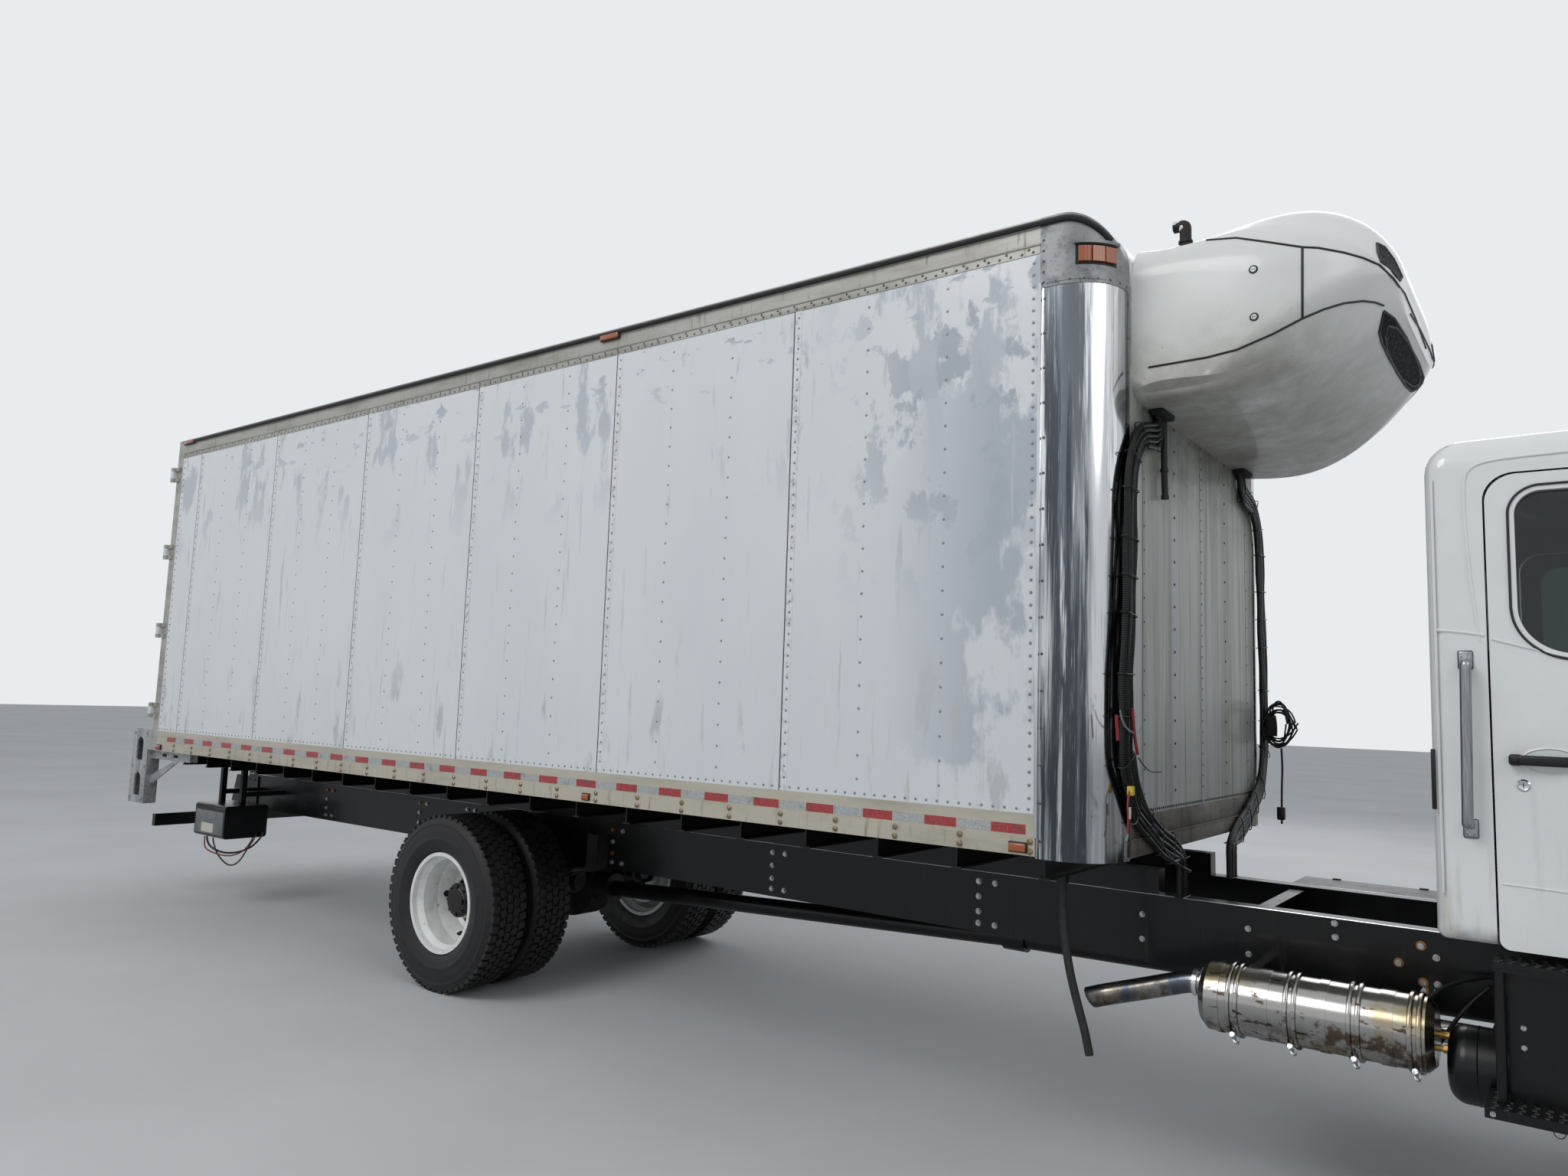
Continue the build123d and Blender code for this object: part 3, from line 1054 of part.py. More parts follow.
def wall_cables():
    """The cable bundles tied down both edges of the front wall."""
    route = [(CABLE_X, -y, z) for y, z, bend in CABLE_ROUTE]
    bends = [bend for y, z, bend in CABLE_ROUTE[1:-1]]
    path = FilletPolyline(*route, radius=bends)
    start = Plane(origin=path @ 0, x_dir=(1, 0, 0), z_dir=path % 0)
    return both_sides(sweep(start * RectangleRounded(CABLE_DEPTH, CABLE_WIDTH, 18), path=path))


# Hanging hose below the floor, behind the corner post
HOSE_RADIUS = 17
HOSE_TOP_Z = SILL_TOP_Z - HOSE_FITTING_LENGTH
HOSE_ROUTE = [
    (HOSE_X, HOSE_Y, HOSE_TOP_Z), (HOSE_X, HOSE_Y, HOSE_TOP_Z - 90), (HOSE_X + 12, HOSE_Y - 6, HOSE_TOP_Z - 215),
    (HOSE_X + 36, HOSE_Y - 8, HOSE_TOP_Z - 350), (HOSE_X + 70, HOSE_Y - 2, HOSE_TOP_Z - 480),
    (HOSE_X + 98, HOSE_Y + 6, HOSE_TOP_Z - 580), (HOSE_X + 112, HOSE_Y + 10, HOSE_TOP_Z - 660),
]


def hose_bends():
    """Each bend's radius: 0.45 of the shorter run, over the tangent of half the turn."""
    bends = []
    for before, point, after in zip(HOSE_ROUTE, HOSE_ROUTE[1:], HOSE_ROUTE[2:]):
        first = Vector(*point) - Vector(*before)
        second = Vector(*after) - Vector(*point)
        turn = math.radians(first.get_angle(second))
        bends.append(0.45 * min(first.length, second.length) / math.tan(turn / 2))
    return bends


def hanging_hose():
    bends = hose_bends()
    print("hose radii", [round(r) for r in bends])
    return tube(HOSE_ROUTE, bends, HOSE_RADIUS)


# Cab
COWL_STEP = 40
COWL_FOOT_Z = 1560


def cab_profile(inset):
    """Side view of the cab, drawn in by inset."""
    x0 = CAB_REAR_X
    floor = CAB_FLOOR_Z + (CAB_FLOOR_THICKNESS if inset else 0)
    return [
        (x0 + inset, floor), (x0 + inset, CAB_ROOF_REAR_Z - inset),
        (x0 + ROOF_FRONT - inset * 0.6, CAB_ROOF_FRONT_Z - inset),
        (x0 + CAB_LENGTH - inset, COWL_Z - inset * 0.5), (x0 + CAB_LENGTH - COWL_STEP - inset, COWL_FOOT_Z),
        (x0 + CAB_LENGTH - 2 * COWL_STEP - inset, floor),
    ]


def cab_section(inset):
    """Front view of the cab, drawn in by inset, with its roof edges rounded."""
    half = CAB_Y - inset
    top = CAB_ROOF_FRONT_Z - inset
    low = CAB_FLOOR_Z - 1
    edge = CAB_ROOF_EDGE - inset
    return lengthwise([(-half, low), (half, low), (half, top), (-half, top)],
                      CAB_REAR_X - 1, CAB_FRONT_X + 1, [0, 0, edge, edge])


def door_outline(gap):
    """Outline of a cab door, grown by gap."""
    return [
        (DOOR_REAR_X - gap, DOOR_BOTTOM_Z - gap), (DOOR_FRONT_X + gap, DOOR_BOTTOM_Z - gap),
        (DOOR_FRONT_X + gap, DOOR_PILLAR_Z + gap * 0.4), (DOOR_FRONT_X - DOOR_PILLAR_LEAN + gap * 0.7, DOOR_TOP_Z + gap),
        (DOOR_REAR_X - gap, DOOR_TOP_Z + gap),
    ]


DOOR_CORNERS = [30, 30, 80, 60, 90]
WINDOW_OUTLINE = [
    (DOOR_REAR_X + 80, 2040), (DOOR_FRONT_X - 120, 1990),
    (DOOR_FRONT_X - DOOR_PILLAR_LEAN - 45, DOOR_TOP_Z - 60), (DOOR_REAR_X + 80, DOOR_TOP_Z - 60),
]
WINDOW_CORNERS = [150, 60, 60, 75]
WINDSCREEN_Y = 930
WINDSCREEN_LOW = 0.1
WINDSCREEN_HIGH = 0.9
REAR_WINDOW_Y = 520
REAR_WINDOW_LOW_Z = 2180
REAR_WINDOW_HIGH_Z = 2600
SIDE_DEPTH = 65  # depth of the door opening into the cab


def windscreen_strip(depth_out, depth_in):
    """A slab that lies along the windscreen's slope, between two depths from its outer face."""
    x0 = CAB_REAR_X
    top = Vector(x0 + ROOF_FRONT, 0, CAB_ROOF_FRONT_Z)
    foot = Vector(x0 + CAB_LENGTH, 0, COWL_Z)
    run = foot - top
    inward = Vector(-run.Z, 0, run.X).normalized() * -1
    if inward.X > 0:
        inward = inward * -1
    corners = []
    for share, depth in (
        (WINDSCREEN_LOW, depth_out), (WINDSCREEN_HIGH, depth_out), (WINDSCREEN_HIGH, depth_in), (WINDSCREEN_LOW, depth_in),
    ):
        point = top + run * share + inward * depth
        corners.append((point.X, point.Z))
    return across(corners, -WINDSCREEN_Y, WINDSCREEN_Y)


def cab_shell():
    """Hollow cab with door openings, windscreen and rear window cut, on four mounts."""
    outer = across(cab_profile(0), -CAB_Y, CAB_Y, [30, 115, 140, 60, 0, 60]) & cab_section(0)
    outer = fillet(outer.edges().filter_by(Axis.Z).group_by(Axis.X)[0], 60)
    inner = across(cab_profile(CAB_WALL), -CAB_Y + CAB_WALL, CAB_Y - CAB_WALL) & cab_section(CAB_WALL)
    shape = outer - inner
    opening = across(door_outline(DOOR_GAP), -CAB_Y - 1, -CAB_Y + SIDE_DEPTH, DOOR_CORNERS)
    shape -= both_sides(opening)
    shape -= windscreen_strip(-30, 120)
    shape -= block(CAB_REAR_X - 1, CAB_REAR_X + 150, -REAR_WINDOW_Y, REAR_WINDOW_Y,
                   REAR_WINDOW_LOW_Z, REAR_WINDOW_HIGH_Z)
    for x in (CAB_REAR_X + 60, CAB_FRONT_X - 260):
        shape += both_sides(block(x, x + 80, -FRAME_Y, -FRAME_Y + FRAME_FLANGE, FRAME_TOP_Z, CAB_FLOOR_Z + 5))
    return shape + both_sides(cab_hinge_lugs())


CAB_KNUCKLE = 50
CAB_LUG = 24


def cab_hinge_lugs():
    """Outside hinge lugs on the cab's front pillar with their pins."""
    group = None
    for z in CAB_HINGE_HEIGHTS:
        half = CAB_KNUCKLE / 2 + END_PLAY
        part = rod((CAB_HINGE_X, -CAB_HINGE_Y, z - half - CAB_LUG), (CAB_HINGE_X, -CAB_HINGE_Y, z + half + CAB_LUG),
                   CAB_PIN_RADIUS)
        for low in (z - half - CAB_LUG, z + half):
            part += rod((CAB_HINGE_X, -CAB_HINGE_Y, low), (CAB_HINGE_X, -CAB_HINGE_Y, low + CAB_LUG),
                        CAB_BARREL_RADIUS)
            part += block(CAB_HINGE_X + 4, CAB_HINGE_X + 60, -CAB_HINGE_Y + 2, -CAB_Y, low, low + CAB_LUG)
        group = part if group is None else group + part
    return group


def cab_glass():
    """Windscreen and rear window, each set in its opening."""
    middle = CAB_WALL / 2
    front = windscreen_strip(middle - GLASS_THICKNESS / 2, middle + GLASS_THICKNESS / 2)
    return front + block(CAB_REAR_X + middle, CAB_REAR_X + middle + GLASS_THICKNESS, -REAR_WINDOW_Y, REAR_WINDOW_Y,
                         REAR_WINDOW_LOW_Z, REAR_WINDOW_HIGH_Z)


HANDLE_Z = 1680
HANDLE_HEIGHT = 24


def cab_door(side):
    """Door with its window cut, two hinge knuckles, grab handle, door handle and mirror."""
    y = CAB_Y
    shape = across(door_outline(0), -y, -y + DOOR_THICKNESS, DOOR_CORNERS)
    shape -= across(WINDOW_OUTLINE, -y - 1, -y + DOOR_THICKNESS + 1, WINDOW_CORNERS)
    for z in CAB_HINGE_HEIGHTS:
        half = CAB_KNUCKLE / 2
        strap = block(CAB_HINGE_X - 70, CAB_HINGE_X, -y - 8, -y, z - half, z + half)
        strap += rod((CAB_HINGE_X, -CAB_HINGE_Y, z - half), (CAB_HINGE_X, -CAB_HINGE_Y, z + half), CAB_BARREL_RADIUS)
        shape += strap
        shape -= rod((CAB_HINGE_X, -CAB_HINGE_Y, z - half - 1), (CAB_HINGE_X, -CAB_HINGE_Y, z + half + 1),
                     CAB_PIN_RADIUS + PIN_CLEARANCE)
    handle = block(DOOR_REAR_X + 45, DOOR_REAR_X + 205, -y - 34, -y - 18, HANDLE_Z, HANDLE_Z + HANDLE_HEIGHT)
    for x in (DOOR_REAR_X + 50, DOOR_REAR_X + 180):
        handle += block(x, x + 20, -y - 20, -y, HANDLE_Z, HANDLE_Z + HANDLE_HEIGHT)
    return (shape + handle + mirror_arm()) if side < 0 else other_side(shape + handle + mirror_arm())


MIRROR_Y = 1240
MIRROR_WIDTH = 200
MIRROR_HEIGHT = 430
MIRROR_DEPTH = 70
MIRROR_Z = 2150
MIRROR_ARM_Z = 1800
MIRROR_ARM_RADIUS = 14


def mirror_arm():
    """Mirror head on a bent arm off the front of the door."""
    x = DOOR_FRONT_X - 60
    half = MIRROR_WIDTH / 2
    head = upward([
        (x - MIRROR_DEPTH / 2, -MIRROR_Y - half), (x + MIRROR_DEPTH / 2, -MIRROR_Y - half + 30),
        (x + MIRROR_DEPTH / 2, -MIRROR_Y + half - 30), (x - MIRROR_DEPTH / 2, -MIRROR_Y + half),
    ], MIRROR_Z - MIRROR_HEIGHT / 2, MIRROR_Z + MIRROR_HEIGHT / 2, [12, 20, 20, 12])
    lower_z = MIRROR_Z - MIRROR_HEIGHT / 2 - 40
    arm = tube([
        (x - 30, -CAB_Y + 20, MIRROR_ARM_Z), (x - 30, -MIRROR_Y, MIRROR_ARM_Z), (x, -MIRROR_Y, MIRROR_ARM_Z + 80),
        (x, -MIRROR_Y, lower_z + 60),
    ], [40, 30], MIRROR_ARM_RADIUS)
    return head + arm


def door_glass(side):
    pane = across(WINDOW_OUTLINE, -CAB_Y + 27, -CAB_Y + 27 + GLASS_THICKNESS, WINDOW_CORNERS)
    return pane if side < 0 else other_side(pane)


GRAB_X = CAB_REAR_X + 112
GRAB_LOW_Z = 1480
GRAB_HIGH_Z = 1995
GRAB_OUT = 62  # bar off the cab's side
GRAB_RADIUS = 16


def grab_handles():
    """Round bar behind each door on two standoffs."""
    bar = tube([
        (GRAB_X - 8, -CAB_Y, GRAB_LOW_Z), (GRAB_X - 8, -CAB_Y - GRAB_OUT, GRAB_LOW_Z),
        (GRAB_X, -CAB_Y - GRAB_OUT, GRAB_HIGH_Z), (GRAB_X, -CAB_Y, GRAB_HIGH_Z),
    ], [30, 30], GRAB_RADIUS)
    return both_sides(bar)


SEAT_Y = 480
SEAT_HALF = 250
SEAT_FOOT = 280  # floor to the cushion's underside
SEAT_HEIGHT = 410  # floor to the cushion's front edge
SEAT_BACK = 1050  # floor to the top of the back


def seats():
    """Two seats, each a cushion and a back on a pedestal that stands on the cab floor."""
    floor = CAB_FLOOR_Z + CAB_FLOOR_THICKNESS
    x0 = CAB_REAR_X + CAB_WALL + 90
    outline = [
        (x0 + 120, floor), (x0 + 520, floor), (x0 + 520, floor + SEAT_FOOT), (x0 + 620, floor + SEAT_FOOT + 20),
        (x0 + 620, floor + SEAT_HEIGHT), (x0 + 150, floor + SEAT_HEIGHT - 10), (x0 + 40, floor + SEAT_BACK),
        (x0 - 50, floor + SEAT_BACK), (x0 + 20, floor + SEAT_FOOT + 20), (x0 + 120, floor + SEAT_FOOT),
    ]
    seat = across(outline, -SEAT_Y - SEAT_HALF, -SEAT_Y + SEAT_HALF, [0, 0, 20, 40, 40, 60, 30, 30, 20, 20])
    return both_sides(seat)


DASH_Y = 960
DASH_TOP_Z = 1760
WHEEL_Z = 1760  # middle of the steering wheel
WHEEL_RADIUS = 205
WHEEL_GRIP = 17
SPOKE_LENGTH = 400


def dashboard():
    """Moulded panel under the windscreen with the steering column and wheel."""
    x1 = CAB_FRONT_X - CAB_WALL - 45
    floor = CAB_FLOOR_Z + CAB_FLOOR_THICKNESS
    panel = across([
        (x1 - 330, DASH_TOP_Z - 240), (x1 - 40, DASH_TOP_Z - 260), (x1 - 40, DASH_TOP_Z - 60),
        (x1 - 60, DASH_TOP_Z - 20), (x1 - 280, DASH_TOP_Z), (x1 - 350, DASH_TOP_Z - 80),
    ], -DASH_Y, DASH_Y, [30, 0, 0, 20, 60, 40])
    foot = block(x1 - 120, x1 - 60, -120, 120, floor, DASH_TOP_Z - 230)
    centre = Vector(x1 - 480, SEAT_Y, WHEEL_Z)
    axis = Vector(-0.55, 0, 0.84)
    column = rod(tuple(centre), tuple(centre - axis * 330), 30)
    wheel = Plane(origin=tuple(centre), z_dir=axis).location * Torus(WHEEL_RADIUS, WHEEL_GRIP)
    spokes = Box(SPOKE_LENGTH, 40, 16) + Box(40, SPOKE_LENGTH, 16)
    spokes = Plane(origin=tuple(centre), z_dir=axis).location * spokes
    return panel + foot + column + wheel + spokes


# Hood and fenders in one tilting piece
HOOD_TOP_Z = 1790
HOOD_NOSE_Z = 1500
HOOD_LIP_Z = 1300  # where the nose starts to lean back
FENDER_LIP_Z = 1180
HOOD_NOSE_HALF = 650
HOOD_EDGE = 90  # rounding along the outside edges of hood and fenders


def side_edges(body):
    """The edges around the two outer faces, but for those at the foot and at the rear."""
    return [
        edge for face in body.faces() if abs(face.normal_at().Y) > 0.9 for edge in face.edges()
        if edge.center().Z > HOOD_FOOT_Z and edge.center().X > HOOD_REAR_X + HOOD_WALL + 5
    ]


def hood_form(trim):
    """Hood as a solid, drawn in by trim: its side view and its tapered plan, edges rounded."""
    side = across([
        (HOOD_REAR_X, HOOD_FOOT_Z - 10), (HOOD_FRONT_X - trim, HOOD_FOOT_Z - 10), (HOOD_FRONT_X - trim, HOOD_LIP_Z),
        (HOOD_FRONT_X - 60 - trim, HOOD_NOSE_Z - trim), (HOOD_REAR_X, HOOD_TOP_Z - trim),
    ], -FENDER_Y, FENDER_Y, [0, 0, 100, 140, 0])
    rear = HOOD_HALF_WIDTH - trim
    nose = HOOD_NOSE_HALF - trim
    plan = upward([(HOOD_REAR_X, -rear), (HOOD_FRONT_X, -nose), (HOOD_FRONT_X, nose), (HOOD_REAR_X, rear)],
                  HOOD_FOOT_Z - 20, HOOD_TOP_Z + 1)
    body = side & plan
    return fillet(side_edges(body), HOOD_EDGE - trim)


def fender_form(trim):
    """Both fenders as one solid across the truck, drawn in by trim, edges rounded."""
    front = HOOD_FRONT_X - 40 - trim
    rear = HOOD_REAR_X + trim
    body = across([
        (rear, HOOD_FOOT_Z - 10), (front, HOOD_FOOT_Z - 10), (front, FENDER_LIP_Z), (front - 220, FENDER_TOP_Z - trim),
        (rear, FENDER_TOP_Z - trim),
    ], -FENDER_Y + trim, FENDER_Y - trim, [0, 0, 120, 200, 60])
    return fillet(side_edges(body), HOOD_EDGE - trim)


def hood():
    """Tapered hood with a fender over each wheel, open below and behind."""
    wall = HOOD_WALL
    shape = hood_form(0) + fender_form(0)
    shape -= block(HOOD_REAR_X - 1, HOOD_FRONT_X + 1, -FENDER_Y - 1, FENDER_Y + 1, HOOD_FOOT_Z - 20, HOOD_FOOT_Z)
    shape -= hood_form(wall) + fender_form(wall)
    shape -= block(HOOD_REAR_X - 1, HOOD_REAR_X + wall + 1, -HOOD_HALF_WIDTH + wall, HOOD_HALF_WIDTH - wall,
                   HOOD_FOOT_Z - 20, FENDER_TOP_Z + 10)
    shape -= rod((FRONT_AXLE_X, -FENDER_Y - 1, TYRE_RADIUS), (FRONT_AXLE_X, FENDER_Y + 1, TYRE_RADIUS), ARCH_RADIUS)
    shape -= grille_cutter()
    for side in (-1, 1):
        y = side * (FRAME_Y + HOOD_ARM_WIDTH / 2 + 0.5)
        arm = block(HOOD_FRONT_X - wall, HOOD_HINGE_X + 12, y - HOOD_ARM_WIDTH / 2, y + HOOD_ARM_WIDTH / 2,
                    HOOD_HINGE_Z - 12, HOOD_HINGE_Z + 60)
        hole = rod((HOOD_HINGE_X, y - 40, HOOD_HINGE_Z), (HOOD_HINGE_X, y + 40, HOOD_HINGE_Z),
                   HOOD_PIN_RADIUS + PIN_CLEARANCE)
        shape += arm - hole
    return shape


GRILLE_Y = 520
GRILLE_LOW_Z = 985
GRILLE_HIGH_Z = 1300
BAR_COUNT = 5
LAMP_INNER_Y = 800
LAMP_OUTER_Y = 1080
LAMP_LOW_Z = 960
LAMP_HIGH_Z = 1120


def grille_cutter():
    """The opening behind the grille."""
    return block(HOOD_FRONT_X - 60, HOOD_FRONT_X + 1, -GRILLE_Y, GRILLE_Y, GRILLE_LOW_Z, GRILLE_HIGH_Z)


def grille():
    """Frame with level bars, set in the hood's opening."""
    x1 = HOOD_FRONT_X
    border = 22
    shape = block(x1 - 22, x1, -GRILLE_Y, GRILLE_Y, GRILLE_LOW_Z, GRILLE_HIGH_Z)
    shape -= block(x1 - 23, x1 + 1, -GRILLE_Y + border, GRILLE_Y - border, GRILLE_LOW_Z + border, GRILLE_HIGH_Z - border)
    height = GRILLE_HIGH_Z - GRILLE_LOW_Z - 2 * border
    for z in front_spread(height, BAR_COUNT):
        low = GRILLE_LOW_Z + border + z - 9
        shape += block(x1 - 20, x1 - 4, -GRILLE_Y + border - 1, GRILLE_Y - border + 1, low, low + 18)
    for y in (-GRILLE_Y / 3, GRILLE_Y / 3):
        shape += block(x1 - 22, x1 - 10, y - 8, y + 8, GRILLE_LOW_Z + border - 1, GRILLE_HIGH_Z - border + 1)
    return shape


def headlamps():
    """One lamp on the front of each fender."""
    x1 = HOOD_FRONT_X - 40
    lamp = block(x1, x1 + 30, -LAMP_OUTER_Y, -LAMP_INNER_Y, LAMP_LOW_Z, LAMP_HIGH_Z)
    lamp = fillet(lamp.edges().group_by(Axis.X)[-1], 12)
    return both_sides(lamp)


pieces["frame"] = frame()
pieces["subframe"] = subframe()
pieces["bumper"] = bumper()
pieces["front_axle"] = front_axle()
pieces["rear_axle"] = rear_axle()
pieces["leaf_springs"] = leaf_springs()
pieces["propshaft"] = propshaft()
pieces["engine_and_gearbox"] = engine_and_gearbox()
pieces["radiator"] = radiator()
pieces["exhaust"] = exhaust()
pieces["air_tank"] = air_tank()
pieces["fuel_tank"] = fuel_tank()
pieces["entry_steps"] = entry_steps()
pieces["battery_box"] = battery_box()
pieces["rear_step"] = rear_step()
pieces["underride_guard"] = underride_guard()
pieces["power_pack"] = power_pack()
box_pieces()
pieces["marker_lamps"] = marker_lamps()
pieces["unit_housing"] = unit_housing() + unit_exhaust()
pieces["evaporator"] = evaporator()
pieces["wall_cables"] = wall_cables()
pieces["hanging_hose"] = hanging_hose()
pieces["cab_shell"] = cab_shell() + grab_handles()
pieces["cab_glass"] = cab_glass()
pieces["seats"] = seats()
pieces["dashboard"] = dashboard()
pieces["hood"] = hood()
pieces["grille"] = grille()
pieces["headlamps"] = headlamps()
pieces["tie_rod"] = tie_rod()
for word, side in (("right", -1), ("left", 1)):
    pieces["rear_door_" + word] = rear_door(side)
    pieces["lock_rods_" + word] = lock_rods(side)
    pieces["cab_door_" + word] = cab_door(side)
    pieces["door_glass_" + word] = door_glass(side)
    pieces["knuckle_" + word] = knuckle(side)
    pieces["front_tyre_" + word] = tyre(FRONT_AXLE_X, side * FRONT_TYRE_Y)
    pieces["front_rim_" + word] = front_rim(side)
    inner_y = REAR_TYRE_Y - DUAL_SPACING
    pieces["rear_tyres_" + word] = tyre(REAR_AXLE_X, side * REAR_TYRE_Y) + tyre(REAR_AXLE_X, side * inner_y)
    pieces["rear_rims_" + word] = rear_rims(side)

os.makedirs("parts", exist_ok=True)
for name, shape in pieces.items():
    export_step(shape, os.path.join("parts", name + ".step"))
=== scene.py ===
import math
import random

import bmesh
import bpy
from mathutils import Matrix, Vector
from mathutils.bvhtree import BVHTree


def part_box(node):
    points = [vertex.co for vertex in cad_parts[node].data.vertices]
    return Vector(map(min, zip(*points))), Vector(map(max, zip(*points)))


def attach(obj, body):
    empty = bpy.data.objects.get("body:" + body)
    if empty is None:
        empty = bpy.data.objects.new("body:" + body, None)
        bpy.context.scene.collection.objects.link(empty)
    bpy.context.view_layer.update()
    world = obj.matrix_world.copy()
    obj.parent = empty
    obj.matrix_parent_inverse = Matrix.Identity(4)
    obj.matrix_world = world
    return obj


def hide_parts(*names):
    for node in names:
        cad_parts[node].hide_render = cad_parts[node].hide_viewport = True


bl_info = {
    "name": "Refrigerated truck",
    "version": (1, 0, 0),
    "blender": (4, 5, 0),
    "location": "3D View > Sidebar > Truck",
    "description": "Finishes, fittings and trim of a bonneted refrigerated truck, built on its packed frame",
    "category": "Object",
}

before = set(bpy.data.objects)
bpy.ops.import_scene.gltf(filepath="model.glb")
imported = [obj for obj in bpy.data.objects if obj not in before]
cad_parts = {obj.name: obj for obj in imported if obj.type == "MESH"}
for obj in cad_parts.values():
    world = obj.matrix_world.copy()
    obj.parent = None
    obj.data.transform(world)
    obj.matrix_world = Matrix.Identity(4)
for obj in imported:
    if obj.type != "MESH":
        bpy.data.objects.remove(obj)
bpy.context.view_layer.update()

X = Vector((1, 0, 0))
Y = Vector((0, 1, 0))
Z = Vector((0, 0, 1))
OUT = Vector((0, -1, 0))  # straight out from the right side
SIDES = (("right", -1), ("left", 1))

# Places read from the frame, in metres
WALL_LOW, WALL_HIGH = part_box("side_walls")
HALF_WIDTH = WALL_HIGH.y
SHEET_REAR = WALL_LOW.x
SHEET_FRONT = WALL_HIGH.x
SHEET_FOOT = WALL_LOW.z
SHEET_TOP = WALL_HIGH.z
BOX_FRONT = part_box("front_wall")[1].x
FRONT_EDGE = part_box("front_wall")[1].y
BOX_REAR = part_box("rear_frame")[0].x + 0.040
ROOF_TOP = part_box("box_roof")[1].z
RAIL_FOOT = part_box("bottom_rails")[0].z
CORNER_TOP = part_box("corner_posts")[1].z
CAB_SIDE = 1.049
REAR_AXLE_X = sum(corner.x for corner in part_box("rear_rims_right")) / 2
FRONT_AXLE_X = sum(corner.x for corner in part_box("front_rim_right")) / 2
TYRE_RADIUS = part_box("rear_tyres_right")[1].z / 2

# Wheels, springs and the frame's web: distances from the truck's middle or from the axle
TYRE_HALF = 0.140
REAR_TYRE_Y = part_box("rear_tyres_left")[1].y - TYRE_HALF
FRONT_TYRE_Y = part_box("front_tyre_left")[1].y - TYRE_HALF
DUAL_SPACING = 0.343
WHEEL_NUTS, NUT_RING = 10, 0.1425
HAND_HOLES, HAND_HOLE_RING, HAND_HOLE_RADIUS = 5, 0.232, 0.021
REAR_SPRING_Y, FRONT_SPRING_Y = -0.490, -0.394
ARCH_RADIUS, ARCH_TURN = 0.643, (math.radians(41), math.radians(139))
FRAME_WEB = -0.432

# Corner of the box, seen from above and from the side
CORNER_RADIUS = 0.215
CORNER_X = BOX_FRONT - CORNER_RADIUS
CORNER_Y = HALF_WIDTH - CORNER_RADIUS
NOSE_RADIUS = 0.190
NOSE_X = BOX_FRONT - NOSE_RADIUS

# Panel seams, and the columns of rivets between them
SHEET_PITCH = 1.2192
SEAMS = [0.799 - SHEET_PITCH * i for i in range(6)]
STUD_COLUMNS = (0.419, 0.826)
FRONT_SHEET = 0.8128
FRONT_SHEET_TOP = 3.10

# The camera that took the photograph: its place, its turns in radians, and its focal length in pixels of an
# image that is 2048 pixels wide and 1536 high
CAMERA_PLACE = Vector((3.823, -5.219, 1.791))
CAMERA_YAW, CAMERA_PITCH, CAMERA_ROLL = -0.6501007, 0.1073255, 0.0343972
FOCAL_PIXELS = 1399.463
IMAGE_WIDTH, IMAGE_HEIGHT = 2048, 1536

# Door and window openings of the cab's side, with the radius of each corner
DOOR_OPENING = ((3.542, 1.090), (4.624, 1.090), (4.624, 1.852), (4.334, 2.626), (3.542, 2.626))
DOOR_RADII = (0.030, 0.030, 0.080, 0.060, 0.090)
WINDOW_OPENING = ((3.610, 2.022), (4.522, 1.969), (4.297, 2.578), (3.610, 2.578))
WINDOW_RADII = (0.168, 0.078, 0.078, 0.093)

# Where the frame's cross channels are bolted to the rails
FRAME_JOINTS = (-5.58, -4.35, -3.10, -2.54, -1.08, 0.17, 1.42, 4.62, 5.30)
BRIGHT_BOLTS = ((1630, 1213), (1631, 1246), (1744, 1224), (1743, 1206), (1876, 1251), (1878, 1286),
                (1492, 1194), (1492, 1226))
COPPERED_BOLTS = ((1856, 1235), (1827, 1257), (1859, 1283))

# Power pack: its side face, the pixels of its blank plate, and its hanging wires as name, finish, radius and
# rows of (pixel x, pixel y, distance right of the middle)
PACK_FACE = -0.930
PACK_PLATE = ((264, 1073), (278, 1088))
PACK_WIRES = (
    ("pack_wire_black", "cable_rubber", 0.0080,
     ((270, 1096, 0.90), (274, 1106, 0.88), (290, 1114, 0.83), (310, 1114, 0.76), (330, 1106, 0.68),
      (343, 1091, 0.62))),
    ("pack_wire_red", "red_wire", 0.0055,
     ((267, 1096, 0.91), (267, 1108, 0.90), (281, 1115, 0.87), (300, 1119, 0.81), (319, 1112, 0.74),
      (331, 1094, 0.68))),
    ("pack_wire_long", "cable_rubber", 0.0060,
     ((278, 1098, 0.88), (283, 1115, 0.86), (294, 1128, 0.84), (303, 1131, 0.82), (313, 1125, 0.78),
      (322, 1110, 0.74), (334, 1093, 0.67))),
)

# Route of the drain hose, as in the frame's source
HOSE_RADIUS = 0.017
HOSE_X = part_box("hanging_hose")[0].x + HOSE_RADIUS
HOSE_ROUTE = [
    (HOSE_X, -0.920, 1.100), (HOSE_X, -0.920, 1.010), (HOSE_X + 0.012, -0.926, 0.885),
    (HOSE_X + 0.036, -0.928, 0.750), (HOSE_X + 0.070, -0.922, 0.620), (HOSE_X + 0.098, -0.914, 0.520),
    (HOSE_X + 0.112, -0.910, 0.440),
]

# Middle line of the bundle on the front wall: distance from the truck's middle, and height
CABLE_X = BOX_FRONT + 0.0223
CABLE_ROUTE = [
    (0.660, 3.078), (0.660, 2.990), (0.900, 2.940), (1.000, 2.830), (1.030, 2.690), (1.035, 2.490),
    (1.055, 2.186), (1.080, 1.951), (1.080, 1.620), (0.980, 1.430), (0.700, 1.290), (0.392, 1.190),
    (0.392, 1.025),
]

